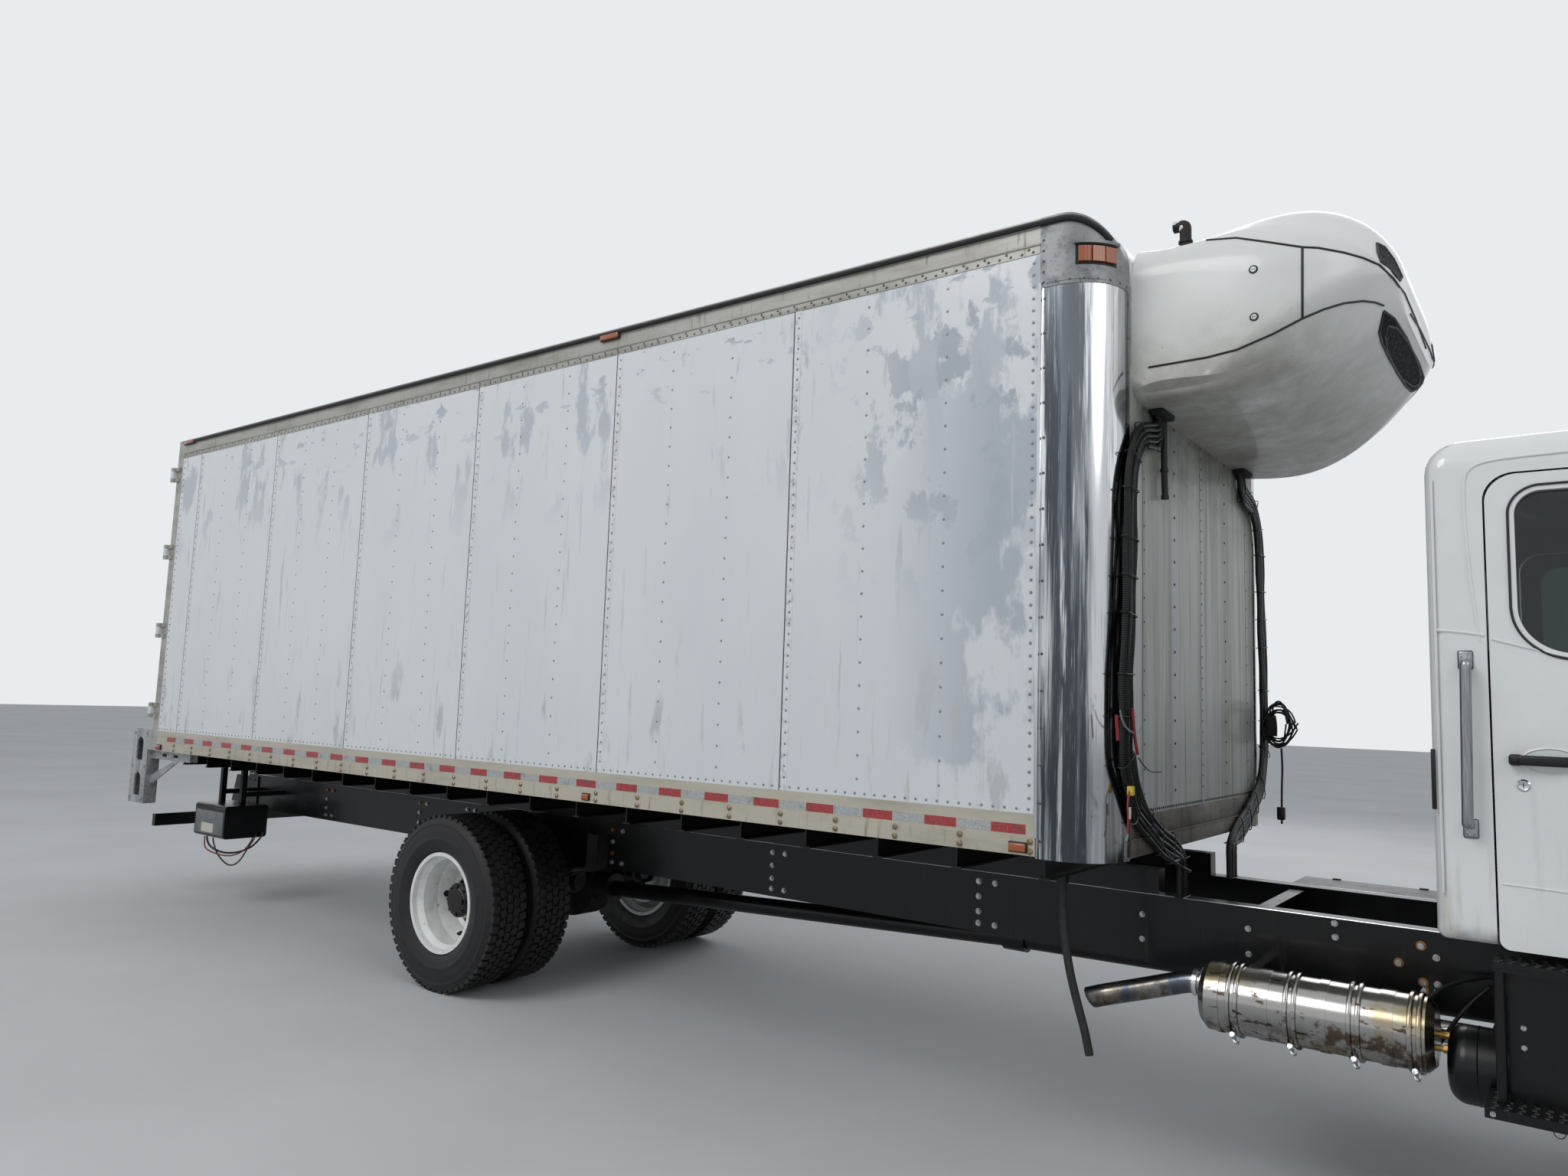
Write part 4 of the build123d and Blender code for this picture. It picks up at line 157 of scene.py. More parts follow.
# Cooling unit: its exhaust stub, and the pixels of the photograph where lines and openings of its shell show;
# its dark shut lines are drawn as painted shade
STUB_Y = 0.620
STUB_OUT = 0.125
STUB_RADIUS = 0.024
STUB_RISE = 0.187
STUB_REACH = 0.050
UNIT_SHUT_LINE_SHADE = (
    ((1500, 480), (1576, 467), (1615, 457), (1663, 436), (1701, 416), (1729, 404), (1755, 396), (1780, 393),
     (1796, 395), (1807, 399)),
    ((1576, 314), (1615, 311), (1653, 316), (1701, 323), (1722, 324), (1755, 330), (1780, 337), (1801, 346),
     (1819, 363), (1834, 383), (1849, 418), (1862, 455)),
    ((1701, 324), (1701, 350), (1701, 380), (1701, 416)),
)
UNIT_OPENINGS = (
    ((1807, 406), (1821, 416), (1837, 441), (1849, 469), (1855, 490), (1852, 502), (1844, 504), (1831, 495),
     (1816, 472), (1805, 449), (1801, 434)),
    ((1798, 318), (1808, 323), (1820, 339), (1831, 362), (1828, 367), (1814, 350), (1803, 342), (1799, 330)),
)
UNIT_LATCHES = ((1637, 352), (1638, 414))


def tint(code):
    """An sRGB hex value as linear red, green, blue and alpha."""
    parts = [int(code[i:i + 2], 16) / 255 for i in (0, 2, 4)]
    return [c / 12.92 if c <= 0.04045 else ((c + 0.055) / 1.055) ** 2.4 for c in parts] + [1.0]


def shade(name, words, code):
    """A colour property with its default from a hex value."""
    return bpy.props.FloatVectorProperty(
        name=name, description=words, default=tint(code)[:3], subtype="COLOR", min=0, max=1)


def length(name, words, default):
    """A length property in metres."""
    return bpy.props.FloatProperty(name=name, description=words, default=default, unit="LENGTH", min=0)


class TruckPaints(bpy.types.PropertyGroup):
    body_white: shade("Body sheet", "Prepainted sheet of the load box", "DFE1E4")
    cab_white: shade("Cab enamel", "Enamel of the cab and hood", "E6E8E7")
    shell_white: shade("Unit shell", "Moulded shell of the cooling unit", "E2E3E0")
    wheel_white: shade("Wheel enamel", "Enamel of the rims", "ECEDEB")
    frame_black: shade("Chassis paint", "Paint of the frame and what hangs on it", "0A0B0D")
    seat_cloth: shade("Seat cloth", "Woven cloth of both seats", "2B3142")


class TruckFasteners(bpy.types.PropertyGroup):
    rivet_radius: length("Rivet head", "Radius of a rivet's head", 0.0068)
    rivet_height: length("Rivet height", "Height of a rivet's head", 0.0022)
    rivet_pitch: length("Rivet pitch", "Spacing in a close row", 0.0508)
    open_pitch: length("Open pitch", "Spacing in an open column", 0.1016)
    bolt_radius: length("Bolt head", "Radius of a rail bolt's head", 0.0125)
    bolt_pitch: length("Bolt pitch", "Spacing of the rail's bolt pairs", 0.306)


class TruckTrim(bpy.types.PropertyGroup):
    tape_length: length("Tape block", "Length of one block of reflective tape", 0.1524)
    tape_height: length("Tape height", "Height of the reflective tape", 0.038)
    lap_width: length("Lap width", "Width of the strip over a panel seam", 0.026)
    moulding_radius: length("Moulding", "Radius of the bright moulding ahead of the sheets", 0.009)


class TruckTyres(bpy.types.PropertyGroup):
    tread_depth: length("Tread depth", "Depth of the grooves", 0.013)
    rear_blocks: bpy.props.IntProperty(name="Rear blocks", description="Blocks round a rear tyre", default=58)
    front_blocks: bpy.props.IntProperty(name="Front blocks", description="Blocks round a front tyre",
                                        default=88)


class TruckCables(bpy.types.PropertyGroup):
    conduit_radius: length("Conduit", "Radius of one corrugated conduit", 0.0115)
    tie_pitch: length("Tie pitch", "Spacing of the cable ties", 0.19)


class TruckStage(bpy.types.PropertyGroup):
    floor_size: length("Floor", "Width of the floor", 160.0)
    floor_colour: shade("Floor colour", "Plain pale floor", "C9CBCC")
    sky_colour: shade("Background", "Pale background and soft light from all round", "DDE2E8")


# Finishes. A layer is (texture, size mm, low, high, stretch, where, colour, roughness). Its mask is the
# texture between low and high, and where has rows of (axis, from, to) in metres, along which the layer fades
# in. A bump is (texture, size mm, stretch, depth mm).
ALL = (1, 1, 1)
DOWN = (1, 1, 0.12)
FINISHES = {
    # Prepainted aluminium sheet: satin bluish white, lavender-grey where the film has worn, upright scuffs.
    "body_sheet": dict(
        paint="body_white", roughness=0.34, coat=0.15,
        layers=(
            ("clouds", 1600, 0.40, 0.75, (1, 1, 0.5), None, "D3D7DA", 0.38),
            ("clouds", 480, 0.48, 0.52, (1, 1, 0.5), (("X", 1.35, 1.85),), "B1B8C0", 0.46),
            ("clouds", 300, 0.53, 0.56, (1, 1, 0.7), (("X", 0.9, 1.5), ("Z", 2.2, 2.9)), "ABB2BB", 0.46),
            ("clouds", 210, 0.55, 0.60, (1, 1, 0.35), (("Z", 2.7, 3.3),), "BDC2C8", 0.46),
            ("clouds", 110, 0.60, 0.63, (0.5, 1, 1), (("Z", 3.2, 3.6),), "B4B9C1", 0.46),
            ("clouds", 160, 0.60, 0.66, (1, 1, 0.3), (("Z", 2.2, 1.7),), "C0C3C6", 0.46),
            ("clouds", 46, 0.62, 0.70, (1, 1, 0.06), None, "C2C5C9", 0.46),
            ("clouds", 60, 0.60, 0.74, DOWN, (("Z", 2.0, 1.4),), "BCB9B2", 0.55),
            ("clouds", 16, 0.69, 0.72, (0.12, 1, 1), (("X", -4.2, -4.9), ("Z", 2.9, 3.2)), "4F535A", 0.5),
        ),
        bumps=(("clouds", 520, (1, 1, 0.5), 3.0), ("clouds", 70, ALL, 0.15)),
    ),
    # The sheet's laps: the same coil paint with dirt in the corners.
    "body_trim": dict(paint="body_white", roughness=0.4,
                      layers=(("clouds", 30, 0.5, 0.7, ALL, None, "B3B3B0", 0.5),)),
    # Rivet heads of the sheets: bare aluminium, dull and ringed with dirt.
    "dull_rivet": dict(colour="8F9296", metallic=0.5, roughness=0.45,
                       layers=(("clouds", 12, 0.5, 0.7, ALL, None, "6C6E70", 0.55),)),
    # Rivet heads of rails and caps, gone dark with road film.
    "dark_rivet": dict(colour="55575A", metallic=0.5, roughness=0.45,
                       layers=(("clouds", 12, 0.5, 0.7, ALL, None, "3A3B3C", 0.55),)),
    # Butyl sealant along laps: dark, soft, slightly shiny.
    "sealant": dict(colour="3A3B3E", roughness=0.5, bumps=(("clouds", 6, ALL, 0.4),)),
    # Stoved two-pack enamel on pressed steel: glossy white with faint dust low down.
    "cab_enamel": dict(
        paint="cab_white", roughness=0.2, coat=0.6,
        layers=(("clouds", 500, 0.45, 0.8, ALL, None, "DBDEDF", 0.24),
                ("clouds", 60, 0.56, 0.75, DOWN, (("Z", 1.8, 1.1),), "C6C2B8", 0.4)),
        bumps=(("clouds", 900, ALL, 0.8),),
    ),
    # Gelcoated glass fibre: smooth, slightly dull white, with a soft film of dust and small dark specks low;
    # its belly is painted a darker warm grey as painted shade.
    "unit_shell": dict(
        paint="shell_white", roughness=0.3, coat=0.25,
        layers=(("clouds", 700, 0.35, 0.80, ALL, None, "D6D6D2", 0.36),
                ("clouds", 420, 0.20, 0.80, ALL, (("Z", 3.48, 3.10),), "9C988D", 0.5),
                ("clouds", 90, 0.35, 0.85, ALL, (("Z", 3.40, 3.10),), "938E83", 0.5),
                ("clouds", 13, 0.67, 0.70, (0.5, 1, 1), (("Z", 3.55, 3.2),), "77746E", 0.5)),
        bumps=(("clouds", 400, ALL, 1.0),),
    ),
    # Prepainted front sheets, never washed, with runs of road film. The whole sheet is painted darker as
    # painted shade; its broad cream, blue-grey and grey-green upright bands are painted reflections, and it
    # is painted darker still up under the unit as painted shade.
    "front_sheet": dict(
        colour="A5A6A0", roughness=0.36, coat=0.1,
        layers=(("clouds", 520, 0.42, 0.58, (1, 1, 0.08), None, "8F959B", 0.34),
                ("clouds", 240, 0.47, 0.60, (1, 1, 0.05), None, "85887D", 0.42),
                ("clouds", 60, 0.52, 0.70, (1, 1, 0.03), None, "74766B", 0.5),
                ("clouds", 34, 0.59, 0.66, (1, 1, 0.03), None, "BAB29F", 0.4),
                ("clouds", 300, 0.36, 0.60, ALL, (("Z", 2.6, 3.1),), "716F63", 0.55),
                ("clouds", 26, 0.60, 0.66, (1, 1, 0.35), (("Z", 2.6, 3.0),), "4B4A44", 0.6)),
        bumps=(("clouds", 260, (1, 1, 0.08), 4.0),),
    ),
    # Extruded aluminium rail, dulled by weather to a warm grey.
    "weathered_rail": dict(
        colour="AEACA5", metallic=0.35, roughness=0.46,
        layers=(("clouds", 120, 0.45, 0.68, (0.15, 1, 1), None, "918E85", 0.55),
                ("clouds", 25, 0.58, 0.70, DOWN, None, "7D786B", 0.6)),
        bumps=(("clouds", 40, (0.05, 1, 1), 0.3),),
    ),
    # Lower rail: the same extrusion, paler, with road dirt along its foot.
    "dirty_rail": dict(
        colour="C2BBAB", metallic=0.35, roughness=0.4,
        layers=(("clouds", 160, 0.45, 0.75, (0.2, 1, 1), None, "A39D8E", 0.5),
                ("clouds", 36, 0.56, 0.70, DOWN, (("Z", 1.36, 1.24),), "7F7A70", 0.6)),
        bumps=(("clouds", 30, ALL, 0.4),),
    ),
    # Sill of the front wall: aluminium gone brown under road film.
    "brown_sill": dict(
        colour="6F695F", metallic=0.3, roughness=0.5,
        layers=(("clouds", 120, 0.42, 0.66, (1, 0.3, 1), None, "534E46", 0.6),
                ("clouds", 30, 0.55, 0.68, DOWN, None, "3C3933", 0.65)),
        bumps=(("clouds", 30, ALL, 0.4),),
    ),
    # Cast aluminium corner, worn back to a grey pebbled skin.
    "cast_corner": dict(
        colour="8E9090", metallic=0.3, roughness=0.42,
        layers=(("clouds", 60, 0.48, 0.66, ALL, None, "757778", 0.5),
                ("clouds", 14, 0.60, 0.68, ALL, None, "525455", 0.55)),
        bumps=(("clouds", 8, ALL, 0.35),),
    ),
    # Polished stainless corner sheet: a mirror with hammered waves; its upright dark and light streaks and
    # its darker lower part are painted reflections in the colour.
    "polished_corner": dict(
        colour="C9CBCE", metallic=1.0, roughness=0.12,
        layers=(("clouds", 210, 0.46, 0.54, (1, 1, 0.035), None, "73787F", 0.18),
                ("clouds", 80, 0.50, 0.56, (1, 1, 0.03), None, "4E5359", 0.2),
                ("clouds", 70, 0.56, 0.60, (1, 1, 0.03), None, "E4E6E8", 0.1),
                ("clouds", 5, 0.60, 0.70, (1, 1, 0.02), None, "9FA2A7", 0.3),
                ("clouds", 60, 0.60, 0.70, (1, 1, 0.4), (("Z", 2.2, 1.3),), "63666B", 0.4)),
        bumps=(("clouds", 240, (1, 1, 0.15), 1.6),),
    ),
    # Bright rolled stainless moulding; also drawn along the frame rail's top edge as a painted highlight.
    "bright_steel": dict(colour="D3D5D8", metallic=1.0, roughness=0.18,
                         layers=(("clouds", 40, 0.5, 0.7, DOWN, None, "B5B7BA", 0.3),)),
    # Hot-dip zinc: pale grey crystals, white bloom and brown runs.
    "zinc": dict(
        colour="A9ADAF", metallic=0.55, roughness=0.42,
        layers=(("cells", 22, 0.25, 0.6, ALL, None, "8D9194", 0.5),
                ("clouds", 80, 0.5, 0.68, DOWN, None, "C1C2C0", 0.6),
                ("clouds", 40, 0.62, 0.72, DOWN, None, "7C624A", 0.7)),
        bumps=(("cells", 22, ALL, 0.2),),
    ),
    # Chassis paint: black, glossy, filmed with thin dust and a little rust at the edges.
    "chassis_paint": dict(
        paint="frame_black", roughness=0.28, coat=0.1, specular=0.3,
        layers=(("clouds", 220, 0.50, 0.78, ALL, None, "151413", 0.45),
                ("clouds", 35, 0.62, 0.74, DOWN, None, "262320", 0.6),
                ("clouds", 18, 0.71, 0.75, ALL, None, "46301F", 0.8)),
        bumps=(("clouds", 25, ALL, 0.2),),
    ),
    # Cast iron and forgings under grease and road film.
    "oily_iron": dict(
        colour="171615", metallic=0.2, roughness=0.5, specular=0.35,
        layers=(("clouds", 90, 0.45, 0.66, ALL, None, "26221E", 0.7),
                ("clouds", 22, 0.62, 0.70, ALL, None, "46301F", 0.85)),
        bumps=(("clouds", 12, ALL, 0.7),),
    ),
    # Moulded black plastic with a fine grain; also drawn in the door lock as its keyway, painted shade.
    "black_plastic": dict(colour="0F1011", roughness=0.42, specular=0.4,
                          layers=(("clouds", 120, 0.5, 0.75, ALL, None, "1C1C1D", 0.6),),
                          bumps=(("cells", 3, ALL, 0.12),)),
    # Extruded rubber seal; also drawn dark along the unit's shut lines and under the top rail's lip as
    # painted shade.
    "seal_rubber": dict(colour="111213", roughness=0.5,
                        layers=(("clouds", 40, 0.5, 0.7, ALL, None, "232425", 0.7),)),
    # Truck tyre: black rubber, slightly shiny on the sidewall, dry dust in the shoulders.
    "tyre_rubber": dict(
        colour="131315", roughness=0.48, specular=0.4,
        layers=(("clouds", 140, 0.42, 0.70, ALL, None, "1E1D1E", 0.6),
                ("clouds", 30, 0.55, 0.70, ALL, None, "302C2A", 0.8)),
        bumps=(("clouds", 9, ALL, 0.35),),
    ),
    # Steel rim: bright white enamel with thin brake dust and small chips.
    "wheel_enamel": dict(
        paint="wheel_white", roughness=0.3, coat=0.3,
        layers=(("clouds", 90, 0.48, 0.75, ALL, None, "D3D2CD", 0.4),
                ("clouds", 30, 0.62, 0.72, ALL, None, "A9A298", 0.5),
                ("clouds", 10, 0.69, 0.73, ALL, None, "7A4527", 0.8)),
        bumps=(("clouds", 14, ALL, 0.25),),
    ),
    # Hub: cast iron black with thrown grease.
    "greasy_hub": dict(colour="0C0C0D", roughness=0.3, metallic=0.2,
                       layers=(("clouds", 30, 0.45, 0.62, ALL, None, "1F1C1A", 0.55),),
                       bumps=(("clouds", 10, ALL, 1.2),)),
    # Studs and wheel nuts: dark plated steel, rusted in places.
    "rusty_nut": dict(colour="1C1B1B", metallic=0.4, roughness=0.4,
                      layers=(("clouds", 10, 0.55, 0.68, ALL, None, "553423", 0.8),)),
    # Domed bolts of the lower rail: plated steel gone brassy.
    "brassy_bolt": dict(colour="94866C", metallic=0.9, roughness=0.28,
                        layers=(("clouds", 9, 0.5, 0.66, ALL, None, "5F5546", 0.5),)),
    # Zinc-plated bolts, bright.
    "bright_bolt": dict(colour="B8BCC0", metallic=0.9, roughness=0.3,
                        layers=(("clouds", 8, 0.5, 0.66, ALL, None, "7E756A", 0.5),)),
    # Polished stainless canister with straw and brown tints, going blue along its tail pipe, grime below.
    "heat_tinted": dict(
        colour="A7A5A2", metallic=1.0, roughness=0.17,
        layers=(("clouds", 230, 0.50, 0.58, (0.5, 0.8, 0.8), None, "9F9277", 0.2),
                ("clouds", 120, 0.58, 0.62, (0.7, 0.8, 0.8), None, "66594C", 0.26),
                ("clouds", 50, 0.60, 0.64, (0.5, 1.5, 1.5), None, "54493F", 0.3),
                ("clouds", 120, 0.30, 0.60, (1.4, 0.5, 0.5), (("X", 2.58, 2.50),), "5C5E63", 0.3),
                ("clouds", 90, 0.50, 0.66, (1.2, 0.4, 0.4), (("X", 2.58, 2.50),), "4E5767", 0.28),
                ("clouds", 60, 0.46, 0.62, ALL, (("Z", 0.74, 0.62),), "3D3834", 0.5)),
        bumps=(("clouds", 60, (0.2, 1, 1), 0.4),),
    ),
    # Lamp lenses: clear coloured acrylic over a dark ribbed body.
    "amber_lens": dict(colour="A04E18", roughness=0.12, coat=0.8, bumps=(("bands", 7, ALL, 1.0),)),
    "red_lens": dict(colour="8E1518", roughness=0.12, coat=0.8, bumps=(("bands", 7, ALL, 1.0),)),
    "clear_lens": dict(colour="DDE3E6", roughness=0.06, transmission=0.75, coat=0.5,
                       bumps=(("bands", 14, ALL, 0.8),)),
    # Chromed steel.
    "chrome": dict(colour="CED1D4", metallic=1.0, roughness=0.07,
                   layers=(("clouds", 90, 0.5, 0.75, ALL, None, "BBBEC2", 0.18),)),
    # Toughened glass with a green-grey tint.
    "tinted_glass": dict(colour="5F6E6E", roughness=0.0, transmission=1.0),
    # Silvered mirror glass.
    "mirror_glass": dict(colour="DDE2E4", metallic=1.0, roughness=0.02),
    # Perforated black sheet behind the unit's openings: hexagonal holes about 8 mm apart, drawn as cells.
    "black_mesh": dict(colour="030304", roughness=0.6, specular=0.1,
                       layers=(("cells", 16, 0.42, 0.30, ALL, None, "121314", 0.45),),
                       bumps=(("cells", 16, ALL, 2.5),)),
    # Woven upholstery, ribs about 4 mm apart.
    "seat_cloth": dict(paint="seat_cloth", roughness=0.9, sheen=0.4,
                       layers=(("bands", 4, 0.3, 0.8, ALL, None, "3B4258", 0.95),
                               ("clouds", 120, 0.5, 0.7, ALL, None, "232838", 0.95)),
                       bumps=(("bands", 4, ALL, 0.5),)),
    # Grained dashboard plastic.
    "dash_plastic": dict(colour="3B3C3F", roughness=0.6, bumps=(("cells", 4, ALL, 0.2),)),
    # Reflective tape: glass-clear film over coloured honeycomb cells about 3 mm across, drawn at 8 mm.
    "tape_red": dict(colour="9C2B2C", roughness=0.3, coat=0.5,
                     layers=(("cells", 8, 0.5, 0.3, ALL, None, "B4474A", 0.3),
                             ("clouds", 60, 0.55, 0.7, ALL, None, "6F3B38", 0.5))),
    "tape_silver": dict(colour="A9ACAC", roughness=0.3, coat=0.5, metallic=0.3,
                        layers=(("cells", 8, 0.5, 0.3, ALL, None, "BFC2C3", 0.3),
                                ("clouds", 60, 0.55, 0.7, ALL, None, "85837F", 0.5))),
    # Split corrugated conduit, nylon, about 6 mm a rib.
    "conduit": dict(colour="070708", roughness=0.35, specular=0.35, bumps=(("rib", 9, ALL, 2.0),)),
    # Insulated wire and small loose parts.
    "red_wire": dict(colour="8A2226", roughness=0.4,
                     layers=(("clouds", 20, 0.55, 0.7, ALL, None, "5E3230", 0.6),)),
    "grey_wire": dict(colour="8B8E90", roughness=0.4,
                      layers=(("clouds", 20, 0.55, 0.7, ALL, None, "606265", 0.6),)),
    "yellow_plastic": dict(colour="C9AE22", roughness=0.4,
                           layers=(("clouds", 12, 0.5, 0.7, ALL, None, "8F7D2B", 0.5),)),
    "pale_tag": dict(colour="CFCDBF", roughness=0.7,
                     layers=(("clouds", 12, 0.5, 0.7, ALL, None, "A9A594", 0.8),)),
    # Cloth-braided drain hose, black rubber.
    "hose_rubber": dict(colour="1A1B1C", roughness=0.65,
                        layers=(("clouds", 30, 0.5, 0.7, ALL, None, "35322F", 0.8),),
                        bumps=(("cells", 4, ALL, 0.3),)),
    # Mill-finish aluminium floor with long ribs.
    "floor_aluminium": dict(colour="B4B6B7", metallic=0.85, roughness=0.4,
                            layers=(("clouds", 80, 0.5, 0.7, (0.1, 1, 1), None, "8C8B86", 0.55),)),
    # Spun aluminium tank, brushed round.
    "tank_aluminium": dict(colour="BDBFC1", metallic=1.0, roughness=0.26,
                           layers=(("clouds", 70, 0.48, 0.7, ALL, None, "96948F", 0.4),
                                   ("clouds", 4, 0.5, 0.7, (6, 0.1, 0.1), None, "CACCCE", 0.3))),
    # Turned brass fittings.
    "brass": dict(colour="A8874A", metallic=1.0, roughness=0.3,
                  layers=(("clouds", 8, 0.5, 0.7, ALL, None, "6F5B34", 0.5),)),
    # Rust and brake dust spread over enamel round the hub.
    "wheel_rust": dict(colour="77614F", roughness=0.8,
                       layers=(("clouds", 30, 0.36, 0.52, ALL, None, "C2BDB5", 0.6),
                               ("clouds", 12, 0.57, 0.66, ALL, None, "4A382D", 0.85)),
                       bumps=(("clouds", 8, ALL, 0.6),)),
    # Nylon ties, black.
    "tie_nylon": dict(colour="101113", roughness=0.35, bumps=(("cells", 2, ALL, 0.1),)),
    # Rubber-sheathed lead.
    "cable_rubber": dict(colour="141517", roughness=0.5,
                         layers=(("clouds", 20, 0.5, 0.7, ALL, None, "2C2B2A", 0.7),)),
    # Clear crimped end with a green tinge.
    "clear_end": dict(colour="7FA08A", roughness=0.2, transmission=0.4, coat=0.4),
    # Closed-cell foam, black and weathered.
    "foam_sleeve": dict(colour="1D1D1E", roughness=0.9,
                        layers=(("clouds", 40, 0.5, 0.7, ALL, None, "353432", 0.95),),
                        bumps=(("clouds", 6, ALL, 1.0),)),
    # Thin steel exhaust, black with soot.
    "sooty_pipe": dict(colour="161514", roughness=0.6, metallic=0.3,
                       layers=(("clouds", 30, 0.5, 0.68, ALL, None, "3A2F28", 0.75),)),
    # Brushed stainless tube, satin grey with a fine lengthwise grain.
    "satin_bar": dict(colour="8D9093", metallic=1.0, roughness=0.3,
                      layers=(("clouds", 4, 0.45, 0.65, (1, 1, 0.04), None, "A9ACAF", 0.34),)),
    # Piping sewn along the seat's seams.
    "seat_welt": dict(colour="20242F", roughness=0.85, bumps=(("cells", 3, ALL, 0.2),)),
    # Bolts with a copper tinted plating.
    "copper_bolt": dict(colour="A9714A", metallic=0.9, roughness=0.3,
                        layers=(("clouds", 8, 0.5, 0.66, ALL, None, "7A5A44", 0.5),)),
    # The dark inside of a hole: a flat dark disc or strip laid over where an opening is, painted shade.
    "hollow_black": dict(colour="060607", roughness=0.9,
                         layers=(("clouds", 20, 0.5, 0.7, ALL, None, "0E0E0F", 0.95),)),
    # Grey powder coat on a steel cover.
    "grey_cover": dict(colour="6E7173", roughness=0.4,
                       layers=(("clouds", 80, 0.5, 0.7, ALL, None, "5C5D5D", 0.5),),
                       bumps=(("clouds", 6, ALL, 0.15),)),
    # Fins of the radiator, seen as fine upright lines.
    "radiator_fins": dict(colour="1D1E20", metallic=0.4, roughness=0.5, bumps=(("bands", 5, ALL, 1.5),)),
}
LEVELS = {
    "clouds": ("ShaderNodeTexNoise", {"Detail": 6.0, "Roughness": 0.62}, {}, 1.0, "Fac"),
    "cells": ("ShaderNodeTexVoronoi", {}, {}, 1.0, "Distance"),
    "bands": ("ShaderNodeTexWave", {}, {"wave_type": "BANDS", "bands_direction": "Y"}, 0.314, "Fac"),
    "rib": ("ShaderNodeTexWave", {}, {"wave_type": "BANDS", "bands_direction": "Z"}, 0.314, "Fac"),
}
made_finishes = {}


def add(tree, kind, inputs=None, **settings):
    """Adds a node with its settings, and a value or another node's socket for each named input."""
    node = tree.nodes.new(kind)
    for name, value in settings.items():
        setattr(node, name, value)
    for name, value in (inputs or {}).items():
        if isinstance(value, bpy.types.NodeSocket):
            tree.links.new(value, node.inputs[name])
        else:
            node.inputs[name].default_value = value
    return node


def level(tree, texture, size, stretch):
    """A texture at a real size in millimetres, laid on the object's own coordinates."""
    kind, values, settings, unit, output = LEVELS[texture]
    place = add(tree, "ShaderNodeTexCoord").outputs["Object"]
    laid = add(tree, "ShaderNodeMapping", {"Vector": place, "Scale": stretch}).outputs["Vector"]
    values = dict(values, Vector=laid, Scale=unit * 1000 / size)
    return add(tree, kind, values, **settings).outputs[output]


def mask(tree, texture, size, low, high, stretch, where):
    """A texture cut between two levels, and faded in along axes."""
    raw = level(tree, texture, size, stretch)
    between = {"Value": raw, "From Min": low, "From Max": high}
    share = add(tree, "ShaderNodeMapRange", between).outputs["Result"]
    for axis, start, end in where or ():
        place = add(tree, "ShaderNodeTexCoord").outputs["Object"]
        along = add(tree, "ShaderNodeSeparateXYZ", {"Vector": place}).outputs[axis]
        between = {"Value": along, "From Min": start, "From Max": end}
        fade = add(tree, "ShaderNodeMapRange", between).outputs["Result"]
        share = add(tree, "ShaderNodeMath", {0: share, 1: fade}, operation="MULTIPLY").outputs["Value"]
    return share


def finish(name):
    """The material for a named finish, made once."""
    if name in made_finishes:
        return made_finishes[name]
    recipe = FINISHES[name]
    material = bpy.data.materials.new(name)
    material.use_nodes = True
    tree = material.node_tree
    shader = tree.nodes["Principled BSDF"]
    if "paint" in recipe:
        colour = list(getattr(bpy.context.scene.truck_paints, recipe["paint"])) + [1.0]
    else:
        colour = tint(recipe["colour"])
    rough = recipe["roughness"]
    shader.inputs["Base Color"].default_value = colour
    shader.inputs["Roughness"].default_value = rough
    shader.inputs["Metallic"].default_value = recipe.get("metallic", 0.0)
    shader.inputs["Specular IOR Level"].default_value = recipe.get("specular", 0.5)
    shader.inputs["Coat Weight"].default_value = recipe.get("coat", 0.0)
    shader.inputs["Coat Roughness"].default_value = 0.08
    shader.inputs["Sheen Weight"].default_value = recipe.get("sheen", 0.0)
    shader.inputs["Transmission Weight"].default_value = recipe.get("transmission", 0.0)
    for texture, size, low, high, stretch, where, over, over_rough in recipe.get("layers", ()):
        share = mask(tree, texture, size, low, high, stretch, where)
        mixed = add(tree, "ShaderNodeMix", {0: share, 6: colour, 7: tint(over)}, data_type="RGBA")
        colour = mixed.outputs[2]
        rough = add(tree, "ShaderNodeMix", {0: share, 2: rough, 3: over_rough}).outputs[0]
    if recipe.get("layers"):
        tree.links.new(colour, shader.inputs["Base Color"])
        tree.links.new(rough, shader.inputs["Roughness"])
    normal = None
    for texture, size, stretch, depth in recipe.get("bumps", ()):
        inputs = {"Height": level(tree, texture, size, stretch), "Distance": depth / 1000, "Strength": 0.6}
        if normal is not None:
            inputs["Normal"] = normal
        normal = add(tree, "ShaderNodeBump", inputs).outputs["Normal"]
    if normal is not None:
        tree.links.new(normal, shader.inputs["Normal"])
    made_finishes[name] = material
    return material


def slab(bm, low, high, bevel=0.0, segments=2):
    """Adds a cuboid between two corners, with its edges rounded by bevel."""
    low, high = Vector(low), Vector(high)
    place = Matrix.LocRotScale((low + high) / 2, None, high - low)
    corners = bmesh.ops.create_cube(bm, size=1, matrix=place)["verts"]
    if bevel:
        edges = list({edge for corner in corners for edge in corner.link_edges})
        bmesh.ops.bevel(bm, geom=edges, offset=bevel, offset_type="OFFSET", affect="EDGES",
                        segments=segments, profile=0.5, material=-1)


def stud(bm, place, axis, radius, height, tip=1.0, sides=8):
    """Adds a round head that stands at a place and points along an axis."""
    axis = Vector(axis).normalized()
    turn = Z.rotation_difference(axis).to_matrix().to_4x4()
    lift = Matrix.Translation(Vector(place) + axis * height / 2)
    bmesh.ops.create_cone(bm, cap_ends=True, cap_tris=False, segments=sides, radius1=radius,
                          radius2=radius * tip, depth=height, matrix=lift @ turn)


def rivet(bm, place, axis):
    """Adds a domed rivet head."""
    sizes = bpy.context.scene.truck_fasteners
    stud(bm, place, axis, sizes.rivet_radius, sizes.rivet_height, tip=0.55, sides=7)


